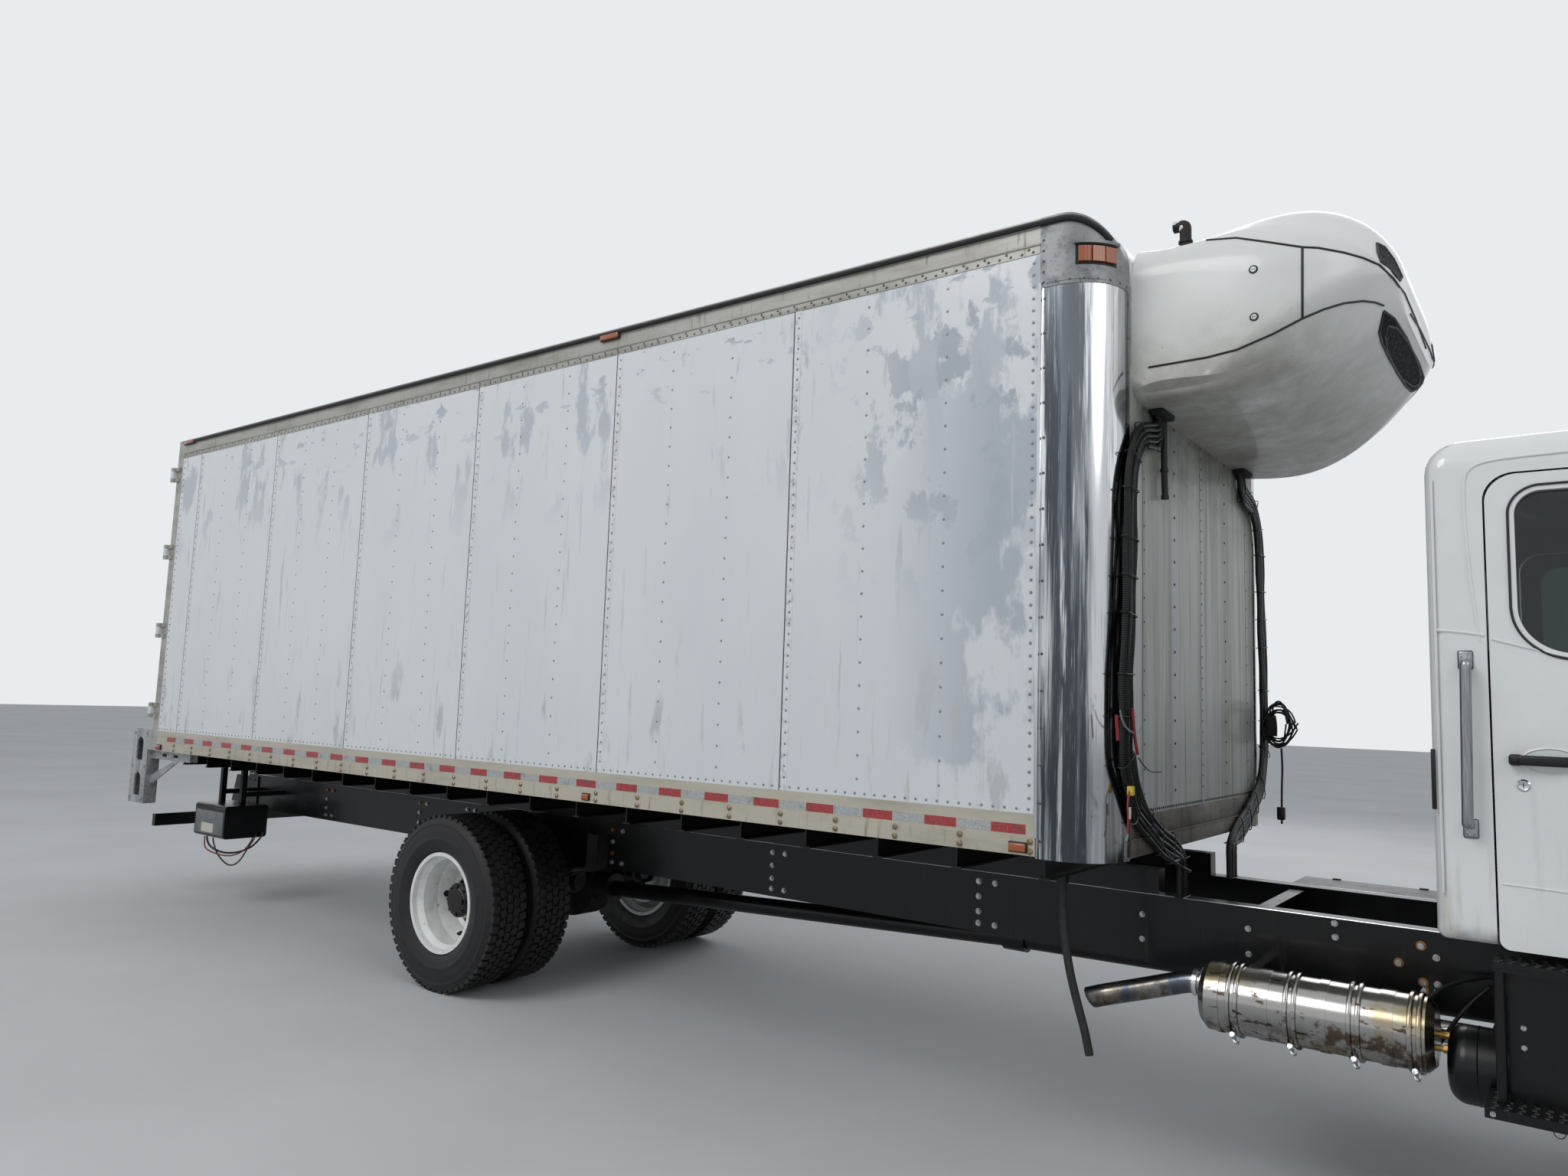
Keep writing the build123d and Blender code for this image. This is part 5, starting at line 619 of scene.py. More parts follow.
def turned(bm, outline, centre, axis, steps=48, angle=math.tau, start=None):
    """Adds an outline of (distance along the axis, radius), spun about the axis."""
    axis = Vector(axis).normalized()
    side = start or axis.orthogonal().normalized()
    centre = Vector(centre)
    corners = [bm.verts.new(centre + axis * along + side * radius) for along, radius in outline]
    edges = [bm.edges.new(ends) for ends in zip(corners, corners[1:])]
    whole = angle == math.tau
    bmesh.ops.spin(bm, geom=corners + edges, cent=centre, axis=axis, dvec=(0, 0, 0), angle=angle,
                   steps=steps, use_merge=whole, use_duplicate=False)


def hoop(bm, centre, axis, inner, outer, start, end, steps):
    """Adds a flat ring about an axis, from start to end along it, open towards the axis."""
    turned(bm, [(start, inner), (start, outer), (end, outer), (end, inner)], centre, axis, steps=steps)


def arc_band(bm, start, end, low, high, inner, outer, steps=10):
    """Adds a band that wraps the box's corner between two angles, with closed ends."""
    band = bmesh.new()
    outline = [(low, inner), (low, outer), (high, outer), (high, inner), (low, inner)]
    first = Vector((math.sin(start), -math.cos(start), 0))
    turned(band, outline, (CORNER_X, -CORNER_Y, 0), Z, steps=steps, angle=end - start, start=first)
    bmesh.ops.remove_doubles(band, verts=band.verts[:], dist=1e-6)
    rims = [edge for edge in band.edges if edge.is_boundary]
    bmesh.ops.holes_fill(band, edges=rims, sides=0)
    join(bm, band)


def join(bm, other):
    """Adds another bmesh to this one."""
    mesh = bpy.data.meshes.new("part")
    other.to_mesh(mesh)
    other.free()
    bm.from_mesh(mesh)
    bpy.data.meshes.remove(mesh)


def smooth_line(name, routes, radius, fineness, fine):
    """A round curve that runs smoothly near the points of each route."""
    line = bpy.data.curves.new(name, "CURVE")
    line.dimensions = "3D"
    line.bevel_depth = radius
    line.bevel_resolution = fineness
    line.use_fill_caps = True
    line.resolution_u = fine
    for route in routes:
        spline = line.splines.new("NURBS")
        spline.points.add(len(route) - 1)
        for point, place in zip(spline.points, route):
            point.co = (*place, 1)
        spline.order_u = min(3, len(route))
        spline.use_endpoint_u = True
    return line


def strands(bm, routes, radius, fineness=2, fine=5):
    """Adds round strands that run smoothly near the points of each route."""
    line = smooth_line("line", routes, radius, fineness, fine)
    holder = bpy.data.objects.new("line", line)
    mesh = bpy.data.meshes.new_from_object(holder)
    bm.from_mesh(mesh)
    bpy.data.objects.remove(holder)
    bpy.data.curves.remove(line)
    bpy.data.meshes.remove(mesh)


def prism(bm, outline, reach, bevel=0.0):
    """Adds an outline of places in one plane, drawn out along a vector, with its edges rounded."""
    block = bmesh.new()
    face = block.faces.new([block.verts.new(place) for place in outline])
    grown = bmesh.ops.extrude_face_region(block, geom=[face])["geom"]
    ends = [part for part in grown if isinstance(part, bmesh.types.BMVert)]
    bmesh.ops.translate(block, vec=reach, verts=ends)
    bmesh.ops.recalc_face_normals(block, faces=block.faces[:])
    if bevel:
        rims = [edge for edge in block.edges if edge.calc_face_angle(0) > 1.2]
        bmesh.ops.bevel(block, geom=rims, offset=bevel, offset_type="OFFSET", affect="EDGES",
                        segments=2, profile=0.5, material=-1)
    join(bm, block)


def both_sides(bm):
    """Adds the mirror image on the driver's side."""
    everything = bm.verts[:] + bm.edges[:] + bm.faces[:]
    bmesh.ops.mirror(bm, geom=everything, matrix=Matrix.Identity(4), merge_dist=0.0, axis="Y")


def to_side(bm, side):
    """Mirrors what was made for the right side to the side that is wanted."""
    if side > 0:
        bmesh.ops.scale(bm, vec=(1, -1, 1), verts=bm.verts[:])


def piece(name, bm, coat, body="chassis", replaces=(), angle=38):
    """Makes the finished object: closed, facing out, dressed and riding on its body."""
    bmesh.ops.remove_doubles(bm, verts=bm.verts[:], dist=1e-6)
    bmesh.ops.recalc_face_normals(bm, faces=bm.faces[:])
    mesh = bpy.data.meshes.new(name)
    bm.to_mesh(mesh)
    bm.free()
    mesh.shade_smooth()
    mesh.set_sharp_from_angle(angle=math.radians(angle))
    mesh.materials.append(finish(coat))
    made = bpy.data.objects.new(name, mesh)
    bpy.context.scene.collection.objects.link(made)
    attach(made, body)
    if replaces:
        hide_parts(*replaces)
    return made


def pair(name, bm, coat, body="chassis", replaces=()):
    """Makes the finished object with its mirror image on the driver's side."""
    both_sides(bm)
    piece(name, bm, coat, body, replaces)


def pairs(rows, body="chassis"):
    """Makes a mirrored object from each row of name, shape, slot and finish."""
    for name, bm, slot, coat in rows:
        pair(name, bm, coat, body)


def one_side(word, side, body, rows):
    """Makes the objects of one side from rows of name, shape, slot and finish."""
    for name, bm, slot, coat in rows:
        to_side(bm, side)
        piece("%s_%s" % (name, word), bm, coat, body)


def steps_between(start, end, pitch):
    """Places from start to end at about a pitch, both ends in."""
    count = max(1, round(abs(end - start) / pitch))
    return [start + (end - start) * i / count for i in range(count + 1)]


def surface(node):
    """A tree of a CAD node's faces, for finding points on them."""
    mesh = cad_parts[node].data
    points = [vertex.co.copy() for vertex in mesh.vertices]
    return BVHTree.FromPolygons(points, [polygon.vertices[:] for polygon in mesh.polygons])


def onto(tree, start, direction):
    """The point where a straight look from start meets the surface."""
    place, normal, index, distance = tree.ray_cast(Vector(start), Vector(direction))
    if place is None:
        raise RuntimeError("nothing to meet from %s" % (tuple(start),))
    return place


def camera_axes():
    """The camera's right, up and forward directions."""
    level_reach = math.cos(CAMERA_PITCH)
    ahead = Vector((math.sin(CAMERA_YAW) * level_reach, math.cos(CAMERA_YAW) * level_reach,
                    math.sin(CAMERA_PITCH)))
    level_right = Vector((math.cos(CAMERA_YAW), -math.sin(CAMERA_YAW), 0))
    level_up = level_right.cross(ahead)
    right = level_right * math.cos(CAMERA_ROLL) + level_up * math.sin(CAMERA_ROLL)
    up = level_up * math.cos(CAMERA_ROLL) - level_right * math.sin(CAMERA_ROLL)
    return right, up, ahead


def sight(px, py):
    """The direction from the camera through a pixel of the photograph."""
    right, up, ahead = camera_axes()
    across = right * (px - IMAGE_WIDTH / 2) / FOCAL_PIXELS
    rise = up * (IMAGE_HEIGHT / 2 - py) / FOCAL_PIXELS
    return (ahead + across + rise).normalized()


def traced(tree, pixels, lift=0.0):
    """Places on a surface that the photograph shows at these pixels, lifted off it."""
    points = []
    for px, py in pixels:
        place, normal, index, distance = tree.ray_cast(CAMERA_PLACE, sight(px, py))
        if place is not None:
            points.append(place + normal * lift)
    return points


def closer(pixels, pitch=5):
    """The same line of pixels with more of them."""
    line = []
    for start, end in zip(pixels, pixels[1:]):
        shares = steps_between(0, 1, pitch / math.dist(start, end))
        line += [Vector(start).lerp(Vector(end), share) for share in shares]
    return line


def on_plane(pixels, axis, reach):
    """Places that the photograph shows at these pixels, on a plane at a reach along an axis."""
    looks = [sight(px, py) for px, py in pixels]
    return [CAMERA_PLACE + look * ((reach - CAMERA_PLACE[axis]) / look[axis]) for look in looks]


def on_side(pixels, across):
    """Places that the photograph shows at these pixels, at a distance right of the truck's middle."""
    return on_plane(pixels, 1, -across)


def ahead_of_wall(pixels, gap):
    """Places that the photograph shows at these pixels, a gap ahead of the front wall."""
    return on_plane(pixels, 0, BOX_FRONT + gap)


def patch(bm, tree, pixels, lift, thickness, cuts=3):
    """Adds a thin plate that lies on a surface, with the outline that the photograph shows."""
    plate = bmesh.new()
    corners = [plate.verts.new((px, py, 0)) for px, py in pixels]
    face = plate.faces.new(corners)
    bmesh.ops.triangulate(plate, faces=[face])
    bmesh.ops.subdivide_edges(plate, edges=plate.edges[:], cuts=cuts, use_grid_fill=True)
    missed = []
    for corner in plate.verts:
        place, normal, index, distance = tree.ray_cast(CAMERA_PLACE, sight(corner.co.x, corner.co.y))
        if place is None:
            missed.append(corner)
        else:
            corner.co = place + normal * lift
    bmesh.ops.delete(plate, geom=missed, context="VERTS")
    bmesh.ops.recalc_face_normals(plate, faces=plate.faces[:])
    bmesh.ops.solidify(plate, geom=plate.faces[:], thickness=thickness)
    join(bm, plate)


def circle(radius, pitch):
    """Places round a circle in two directions, at about a pitch in radians, the first one again last."""
    return [(radius * math.cos(turn), radius * math.sin(turn)) for turn in steps_between(0, math.tau, pitch)]


def closed(outline):
    """An outline with its first place again at its end."""
    return outline + outline[:1]


def rounded(corners, radii, steps=6):
    """An outline in two directions whose corners are arcs."""
    outline = []
    for i, radius in enumerate(radii):
        before, corner, after = (Vector(corners[j % len(corners)]) for j in (i - 1, i, i + 1))
        back = (before - corner).normalized()
        on = (after - corner).normalized()
        half = back.angle(on) / 2
        centre = corner + (back + on).normalized() * radius / math.sin(half)
        first = corner + back * radius / math.tan(half) - centre
        last = corner + on * radius / math.tan(half) - centre
        for step in range(steps + 1):
            outline.append(centre + first.slerp(last, step / steps) * radius)
    return outline


def side_ring(bm, outline, width, outer_y, inner_y):
    """Adds a flat ring that follows an outline of (x, z), between two distances from the middle."""
    ring = bmesh.new()
    face = ring.faces.new([ring.verts.new((x, -outer_y, z)) for x, z in outline])
    bmesh.ops.inset_individual(ring, faces=[face], thickness=width, use_even_offset=True)
    bmesh.ops.delete(ring, geom=[face], context="FACES_ONLY")
    grown = bmesh.ops.extrude_face_region(ring, geom=ring.faces[:])["geom"]
    bmesh.ops.translate(ring, vec=(0, outer_y - inner_y, 0),
                        verts=[part for part in grown if isinstance(part, bmesh.types.BMVert)])
    join(bm, ring)


# Finish of each piece that is carried over from the frame
NODE_FINISHES = {
    "frame": "chassis_paint", "subframe": "chassis_paint", "bumper": "chrome", "front_axle": "oily_iron",
    "rear_axle": "oily_iron", "leaf_springs": "oily_iron", "propshaft": "chassis_paint",
    "engine_and_gearbox": "oily_iron", "radiator": "radiator_fins", "exhaust": "heat_tinted",
    "air_tank": "chassis_paint", "fuel_tank": "tank_aluminium", "entry_steps": "chassis_paint",
    "battery_box": "black_plastic", "rear_step": "zinc", "underride_guard": "chassis_paint",
    "power_pack": "chassis_paint", "box_floor": "floor_aluminium", "side_walls": "body_sheet",
    # The front wall's finish holds painted shade and painted reflections.
    "front_wall": "front_sheet", "box_roof": "body_sheet", "top_rails": "weathered_rail",
    # The corner posts' finish holds painted reflections.
    "bottom_rails": "dirty_rail", "corner_posts": "polished_corner", "corner_caps": "cast_corner",
    # The unit's finish holds painted shade on its belly.
    "rear_frame": "weathered_rail", "evaporator": "unit_shell", "unit_housing": "unit_shell",
    "cab_shell": "cab_enamel", "cab_glass": "tinted_glass", "dashboard": "dash_plastic",
    "seats": "seat_cloth", "hood": "cab_enamel", "grille": "chrome", "headlamps": "clear_lens",
    "tie_rod": "oily_iron", "marker_lamps": "amber_lens", "wall_cables": "conduit",
    "hanging_hose": "hose_rubber",
}
SIDE_FINISHES = {
    "cab_door": "cab_enamel", "door_glass": "tinted_glass", "rear_door": "body_sheet", "lock_rods": "zinc",
    "knuckle": "oily_iron", "front_rim": "wheel_enamel", "rear_rims": "wheel_enamel",
    "front_tyre": "tyre_rubber", "rear_tyres": "tyre_rubber",
}


class TRUCK_OT_stage(bpy.types.Operator):
    """Plain pale floor, soft studio light and the camera where the photograph was taken"""
    bl_idname = "truck.stage"
    bl_label = "Stage"

    def execute(self, context):
        sizes = context.scene.truck_stage
        bm = bmesh.new()
        bmesh.ops.create_grid(bm, x_segments=1, y_segments=1, size=sizes.floor_size / 2)
        mesh = bpy.data.meshes.new("floor")
        bm.to_mesh(mesh)
        bm.free()
        material = bpy.data.materials.new("studio_floor")
        material.use_nodes = True
        tree = material.node_tree
        shader = tree.nodes["Principled BSDF"]
        shader.inputs["Roughness"].default_value = 0.9
        near = list(sizes.floor_colour) + [1.0]
        grain = mask(tree, "clouds", 2500, 0.35, 0.7, ALL, None)
        mixed = add(tree, "ShaderNodeMix", {0: grain, 6: near, 7: tint("BFC1C2")}, data_type="RGBA")
        tree.links.new(mixed.outputs[2], shader.inputs["Base Color"])
        mesh.materials.append(material)
        floor = bpy.data.objects.new("floor", mesh)
        context.scene.collection.objects.link(floor)
        self.light(context, sizes)
        self.camera(context)
        return {"FINISHED"}

    def light(self, context, sizes):
        """Soft light from all round, and three large lamps."""
        world = bpy.data.worlds.new("studio")
        world.use_nodes = True
        context.scene.world = world
        tree = world.node_tree
        soft = tree.nodes["Background"]
        soft.inputs["Color"].default_value = list(sizes.sky_colour) + [1.0]
        soft.inputs["Strength"].default_value = 0.62
        seen = add(tree, "ShaderNodeBackground", {"Color": tint("E9ECEF"), "Strength": 1.0})
        path = add(tree, "ShaderNodeLightPath")
        some = add(tree, "ShaderNodeMath", {0: path.outputs["Is Camera Ray"],
                                            1: path.outputs["Is Glossy Ray"]},
                   operation="MAXIMUM")
        both = add(tree, "ShaderNodeMath", {0: some.outputs[0], 1: path.outputs["Is Transmission Ray"]},
                   operation="MAXIMUM")
        mixed = add(tree, "ShaderNodeMixShader", {0: both.outputs[0], 1: soft.outputs[0], 2: seen.outputs[0]})
        tree.links.new(mixed.outputs[0], tree.nodes["World Output"].inputs["Surface"])
        lamps = (  # name, place, aim, size, watts
            ("key", (-3.0, -13.0, 13.0), (0.5, 0, 1.5), 9.0, 900),
            ("front", (13.0, -5.0, 9.0), (3.0, 0, 2.0), 8.0, 260),
            ("far_side", (0.0, 13.0, 10.0), (0, 0, 2.0), 9.0, 420),
        )
        for name, place, aim, size, watts in lamps:
            data = bpy.data.lights.new(name, "AREA")
            data.shape = "DISK"
            data.size = size
            data.energy = watts
            lamp = bpy.data.objects.new(name, data)
            lamp.location = place
            lamp.rotation_euler = (Vector(aim) - Vector(place)).to_track_quat("-Z", "Y").to_euler()
            context.scene.collection.objects.link(lamp)
        context.scene.view_settings.view_transform = "Standard"

    def camera(self, context):
        """A camera that stands and looks as the one that took the photograph."""
        right, up, ahead = camera_axes()
        data = bpy.data.cameras.new("photo")
        data.sensor_width = 36
        data.lens = data.sensor_width * FOCAL_PIXELS / IMAGE_WIDTH
        data.clip_end = 400
        camera = bpy.data.objects.new("photo", data)
        camera.matrix_world = Matrix((
            (right.x, up.x, -ahead.x, CAMERA_PLACE.x), (right.y, up.y, -ahead.y, CAMERA_PLACE.y),
            (right.z, up.z, -ahead.z, CAMERA_PLACE.z), (0, 0, 0, 1)))
        context.scene.collection.objects.link(camera)
        context.scene.camera = camera


class TRUCK_OT_finishes(bpy.types.Operator):
    """Finish on every piece that is carried over from the frame"""
    bl_idname = "truck.finishes"
    bl_label = "Finishes"

    def execute(self, context):
        table = dict(NODE_FINISHES)
        for stem, name in SIDE_FINISHES.items():
            for word, side in SIDES:
                table[stem + "_" + word] = name
        for node, name in table.items():
            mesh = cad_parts[node].data
            mesh.materials.clear()
            mesh.materials.append(finish(name))
        return {"FINISHED"}


class TRUCK_OT_hose(bpy.types.Operator):
    """Drain hose that hangs below the floor behind the corner"""
    bl_idname = "truck.hose"
    bl_label = "Drain hose"

    def execute(self, context):
        line = smooth_line("drain_hose", [HOSE_ROUTE], HOSE_RADIUS, 4, 16)
        line.materials.append(finish("hose_rubber"))
        hose = bpy.data.objects.new("drain_hose", line)
        context.scene.collection.objects.link(hose)
        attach(hose, "chassis")
        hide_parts("hanging_hose")
        return {"FINISHED"}


class TRUCK_OT_sheets(bpy.types.Operator):
    """Laps, sealant lines, rivet rows and the bright moulding of both side walls"""
    bl_idname = "truck.sheets"
    bl_label = "Side sheets"

    def execute(self, context):
        trim = context.scene.truck_trim
        pins = context.scene.truck_fasteners
        skin = -HALF_WIDTH
        laps = bmesh.new()
        lines = bmesh.new()
        for x in SEAMS:
            slab(laps, (x - 0.002, skin - 0.0016, SHEET_FOOT),
                 (x + trim.lap_width * 1.4, skin + 0.001, SHEET_TOP))
            slab(lines, (x - 0.009, skin - 0.0012, SHEET_FOOT), (x - 0.002, skin + 0.001, SHEET_TOP))
        pair("sheet_laps", laps, "body_trim")
        pair("sheet_sealant", lines, "sealant")
        heads, high = bmesh.new(), bmesh.new()
        for x in steps_between(SHEET_REAR + 0.02, SHEET_FRONT - 0.03, pins.rivet_pitch):
            rivet(heads, (x, skin, SHEET_FOOT + 0.017), OUT)
            rivet(high, (x, skin - 0.003, SHEET_TOP + 0.012), OUT)
        for x in steps_between(SHEET_REAR + 0.04, SHEET_FRONT - 0.05, pins.open_pitch):
            rivet(high, (x, skin - 0.003, SHEET_TOP + 0.026), OUT)
        rises = steps_between(SHEET_FOOT + 0.06, SHEET_TOP - 0.035, pins.rivet_pitch)
        for x in [seam + 0.02 for seam in SEAMS] + [SHEET_FRONT - 0.028, SHEET_REAR + 0.03]:
            for z in rises:
                rivet(heads, (x, skin - 0.0016, z), OUT)
        for seam in SEAMS:
            for step in STUD_COLUMNS:
                x = seam + step
                for z in steps_between(SHEET_FOOT + 0.08, SHEET_TOP - 0.06, pins.open_pitch):
                    rivet(heads, (x, skin, z), OUT)
        pair("sheet_rivets", heads, "dull_rivet")
        pair("top_rail_rivets", high, "dark_rivet")
        bright = bmesh.new()
        x, y = SHEET_FRONT + 0.001, skin - 0.001
        strands(bright, [[(x, y, SHEET_FOOT - 0.09), (x, y, SHEET_TOP - 0.13)]], trim.moulding_radius)
        pair("bright_moulding", bright, "bright_steel")
        return {"FINISHED"}


class TRUCK_OT_rails(bpy.types.Operator):
    """Ridge and drip edge of the top rails, tape and bolts of the bottom rails"""
    bl_idname = "truck.rails"
    bl_label = "Rails"

    def execute(self, context):
        trim = context.scene.truck_trim
        pins = context.scene.truck_fasteners
        skin = -HALF_WIDTH
        ridge = bmesh.new()
        slab(ridge, (SHEET_REAR, skin - 0.003, SHEET_TOP), (SHEET_FRONT, skin, SHEET_TOP + 0.036), 0.001, 1)
        y, z = skin - 0.002, SHEET_TOP + 0.040
        strands(ridge, [[(SHEET_REAR, y, z), (SHEET_FRONT, y, z)]], 0.006)
        pair("top_rail_ridge", ridge, "weathered_rail")
        # The dark line under the rail's lip, round the corner, is a black rubber tube: painted shade.
        lip_shade = bmesh.new()
        high = ROOF_TOP - 0.025
        route = [(SHEET_REAR, skin - 0.009, high), (CORNER_X - 0.10, skin - 0.009, high)]
        for step in range(10):
            x = CORNER_X + step * 0.021
            y = -CORNER_Y - math.sqrt(max(CORNER_RADIUS ** 2 - (x - CORNER_X) ** 2, 0)) - 0.004
            drop = NOSE_RADIUS - math.sqrt(NOSE_RADIUS ** 2 - max(x - NOSE_X, 0) ** 2)
            route.append((x, y, high - drop))
        strands(lip_shade, [route], 0.014, fine=8)
        pair("drip_edges", lip_shade, "seal_rubber")
        red = bmesh.new()
        silver = bmesh.new()
        low = RAIL_FOOT + 0.080
        ends = [SHEET_FRONT - 0.039 - trim.tape_length * i for i in range(49)]
        for count, x in enumerate(ends):
            bm = silver if count % 2 else red
            slab(bm, (x - trim.tape_length + 0.002, skin - 0.0009, low),
                 (x - 0.002, skin, low + trim.tape_height))
        pair("tape_red", red, "tape_red")
        pair("tape_silver", silver, "tape_silver")
        heads = bmesh.new()
        x = SHEET_FRONT - 0.020
        while x > SHEET_REAR + 0.1:
            for z in (RAIL_FOOT + 0.055, RAIL_FOOT + 0.017):
                stud(heads, (x, skin - 0.006, z), OUT, pins.bolt_radius, 0.004, sides=12)
                stud(heads, (x, skin - 0.010, z), OUT, pins.bolt_radius * 0.86, 0.004, tip=0.55, sides=12)
            x -= pins.bolt_pitch
        pair("rail_bolts", heads, "brassy_bolt")
        return {"FINISHED"}


class TRUCK_OT_corners(bpy.types.Operator):
    """Rivets, cap lamps, brows and plain plaques of the front corners"""
    bl_idname = "truck.corners"
    bl_label = "Front corners"

    def execute(self, context):
        skin = -HALF_WIDTH
        heads = bmesh.new()
        for z in steps_between(RAIL_FOOT + 0.06, CORNER_TOP - 0.05, 0.15):
            rivet(heads, (SHEET_FRONT + 0.020, skin, z), OUT)
            rivet(heads, (BOX_FRONT, -FRONT_EDGE - 0.018, z), X)
        for z in steps_between(CORNER_TOP + 0.02, ROOF_TOP - 0.10, 0.05):
            rivet(heads, (SHEET_FRONT + 0.014, skin, z), OUT)
        for angle in steps_between(0.0, math.pi / 2, 0.27):
            out = Vector((math.sin(angle), -math.cos(angle), 0))
            place = Vector((CORNER_X, -CORNER_Y, CORNER_TOP + 0.016)) + out * CORNER_RADIUS
            rivet(heads, place, out)
        pair("corner_rivets", heads, "dark_rivet")
        edge = bmesh.new()
        arc_band(edge, 0.0, math.pi / 2, CORNER_TOP - 0.003, CORNER_TOP + 0.003, CORNER_RADIUS - 0.002,
                 CORNER_RADIUS + 0.003, steps=14)
        slab(edge, (SHEET_FRONT, skin - 0.003, CORNER_TOP - 0.003), (CORNER_X, skin, CORNER_TOP + 0.003))
        pair("cap_edges", edge, "cast_corner")
        start, end = 0.40, 1.16
        lamp_low, lamp_high = 3.602, 3.688
        plaque_low, plaque_high = 3.542, 3.588
        inner = CORNER_RADIUS - 0.004
        pocket = bmesh.new()
        arc_band(pocket, start - 0.04, end + 0.04, lamp_low, lamp_high, inner, CORNER_RADIUS + 0.0015)
        pair("lamp_pockets", pocket, "black_plastic")
        brow = bmesh.new()
        arc_band(brow, start - 0.06, end + 0.06, lamp_high, 3.700, inner, CORNER_RADIUS + 0.018)
        pair("lamp_brows", brow, "cast_corner")
        lens = bmesh.new()
        third = (end - start) / 3
        for i in range(3):
            arc_band(lens, start + third * i + 0.012, start + third * (i + 1) - 0.012, 3.613, 3.677,
                     CORNER_RADIUS, CORNER_RADIUS + 0.013, steps=4)
        pair("cap_lamps", lens, "amber_lens")
        plaque = bmesh.new()
        arc_band(plaque, 0.0, 0.95, plaque_low, plaque_high, CORNER_RADIUS - 0.002, CORNER_RADIUS + 0.0022)
        slab(plaque, (2.078, skin - 0.0022, plaque_low), (CORNER_X, skin + 0.001, plaque_high))
        pair("plain_plaques", plaque, "cast_corner")
        return {"FINISHED"}


class TRUCK_OT_front_wall(bpy.types.Operator):
    """Rivet columns, lapped seams and the two-band sill of the front wall"""
    bl_idname = "truck.front_wall"
    bl_label = "Front wall"

    def execute(self, context):
        pins = context.scene.truck_fasteners
        face = BOX_FRONT
        sill = bmesh.new()
        edge = RAIL_FOOT + 0.072
        for low, high, proud, bevel in ((RAIL_FOOT + 0.003, edge, 0.012, 0.003),
                                        (edge, SHEET_FOOT, 0.006, 0.002),
                                        (RAIL_FOOT + 0.068, RAIL_FOOT + 0.076, 0.016, 0.003)):
            slab(sill, (face - 0.001, -FRONT_EDGE, low), (face + proud, FRONT_EDGE, high), bevel)
        piece("front_sill", sill, "brown_sill")
        laps = bmesh.new()
        for y in (0.0, FRONT_SHEET, -FRONT_SHEET):
            slab(laps, (face, y - 0.002, SHEET_FOOT), (face + 0.0016, y + 0.034, FRONT_SHEET_TOP))
        # The laps take the front sheet's painted shade and painted reflections.
        piece("front_laps", laps, "front_sheet")
        heads = bmesh.new()
        for y in steps_between(-FRONT_EDGE + 0.03, FRONT_EDGE - 0.03, pins.rivet_pitch / 2):
            rivet(heads, (face, y, SHEET_FOOT + 0.014), X)
        for column in (0.0, -0.5, 0.5, -1.0, 1.0):
            y = column * FRONT_SHEET
            pitch = pins.open_pitch if column else pins.rivet_pitch
            for z in steps_between(SHEET_FOOT + 0.08, FRONT_SHEET_TOP - 0.02, pitch):
                rivet(heads, (face + 0.0008, y + 0.014, z), X)
        piece("front_rivets", heads, "oily_iron")
        return {"FINISHED"}


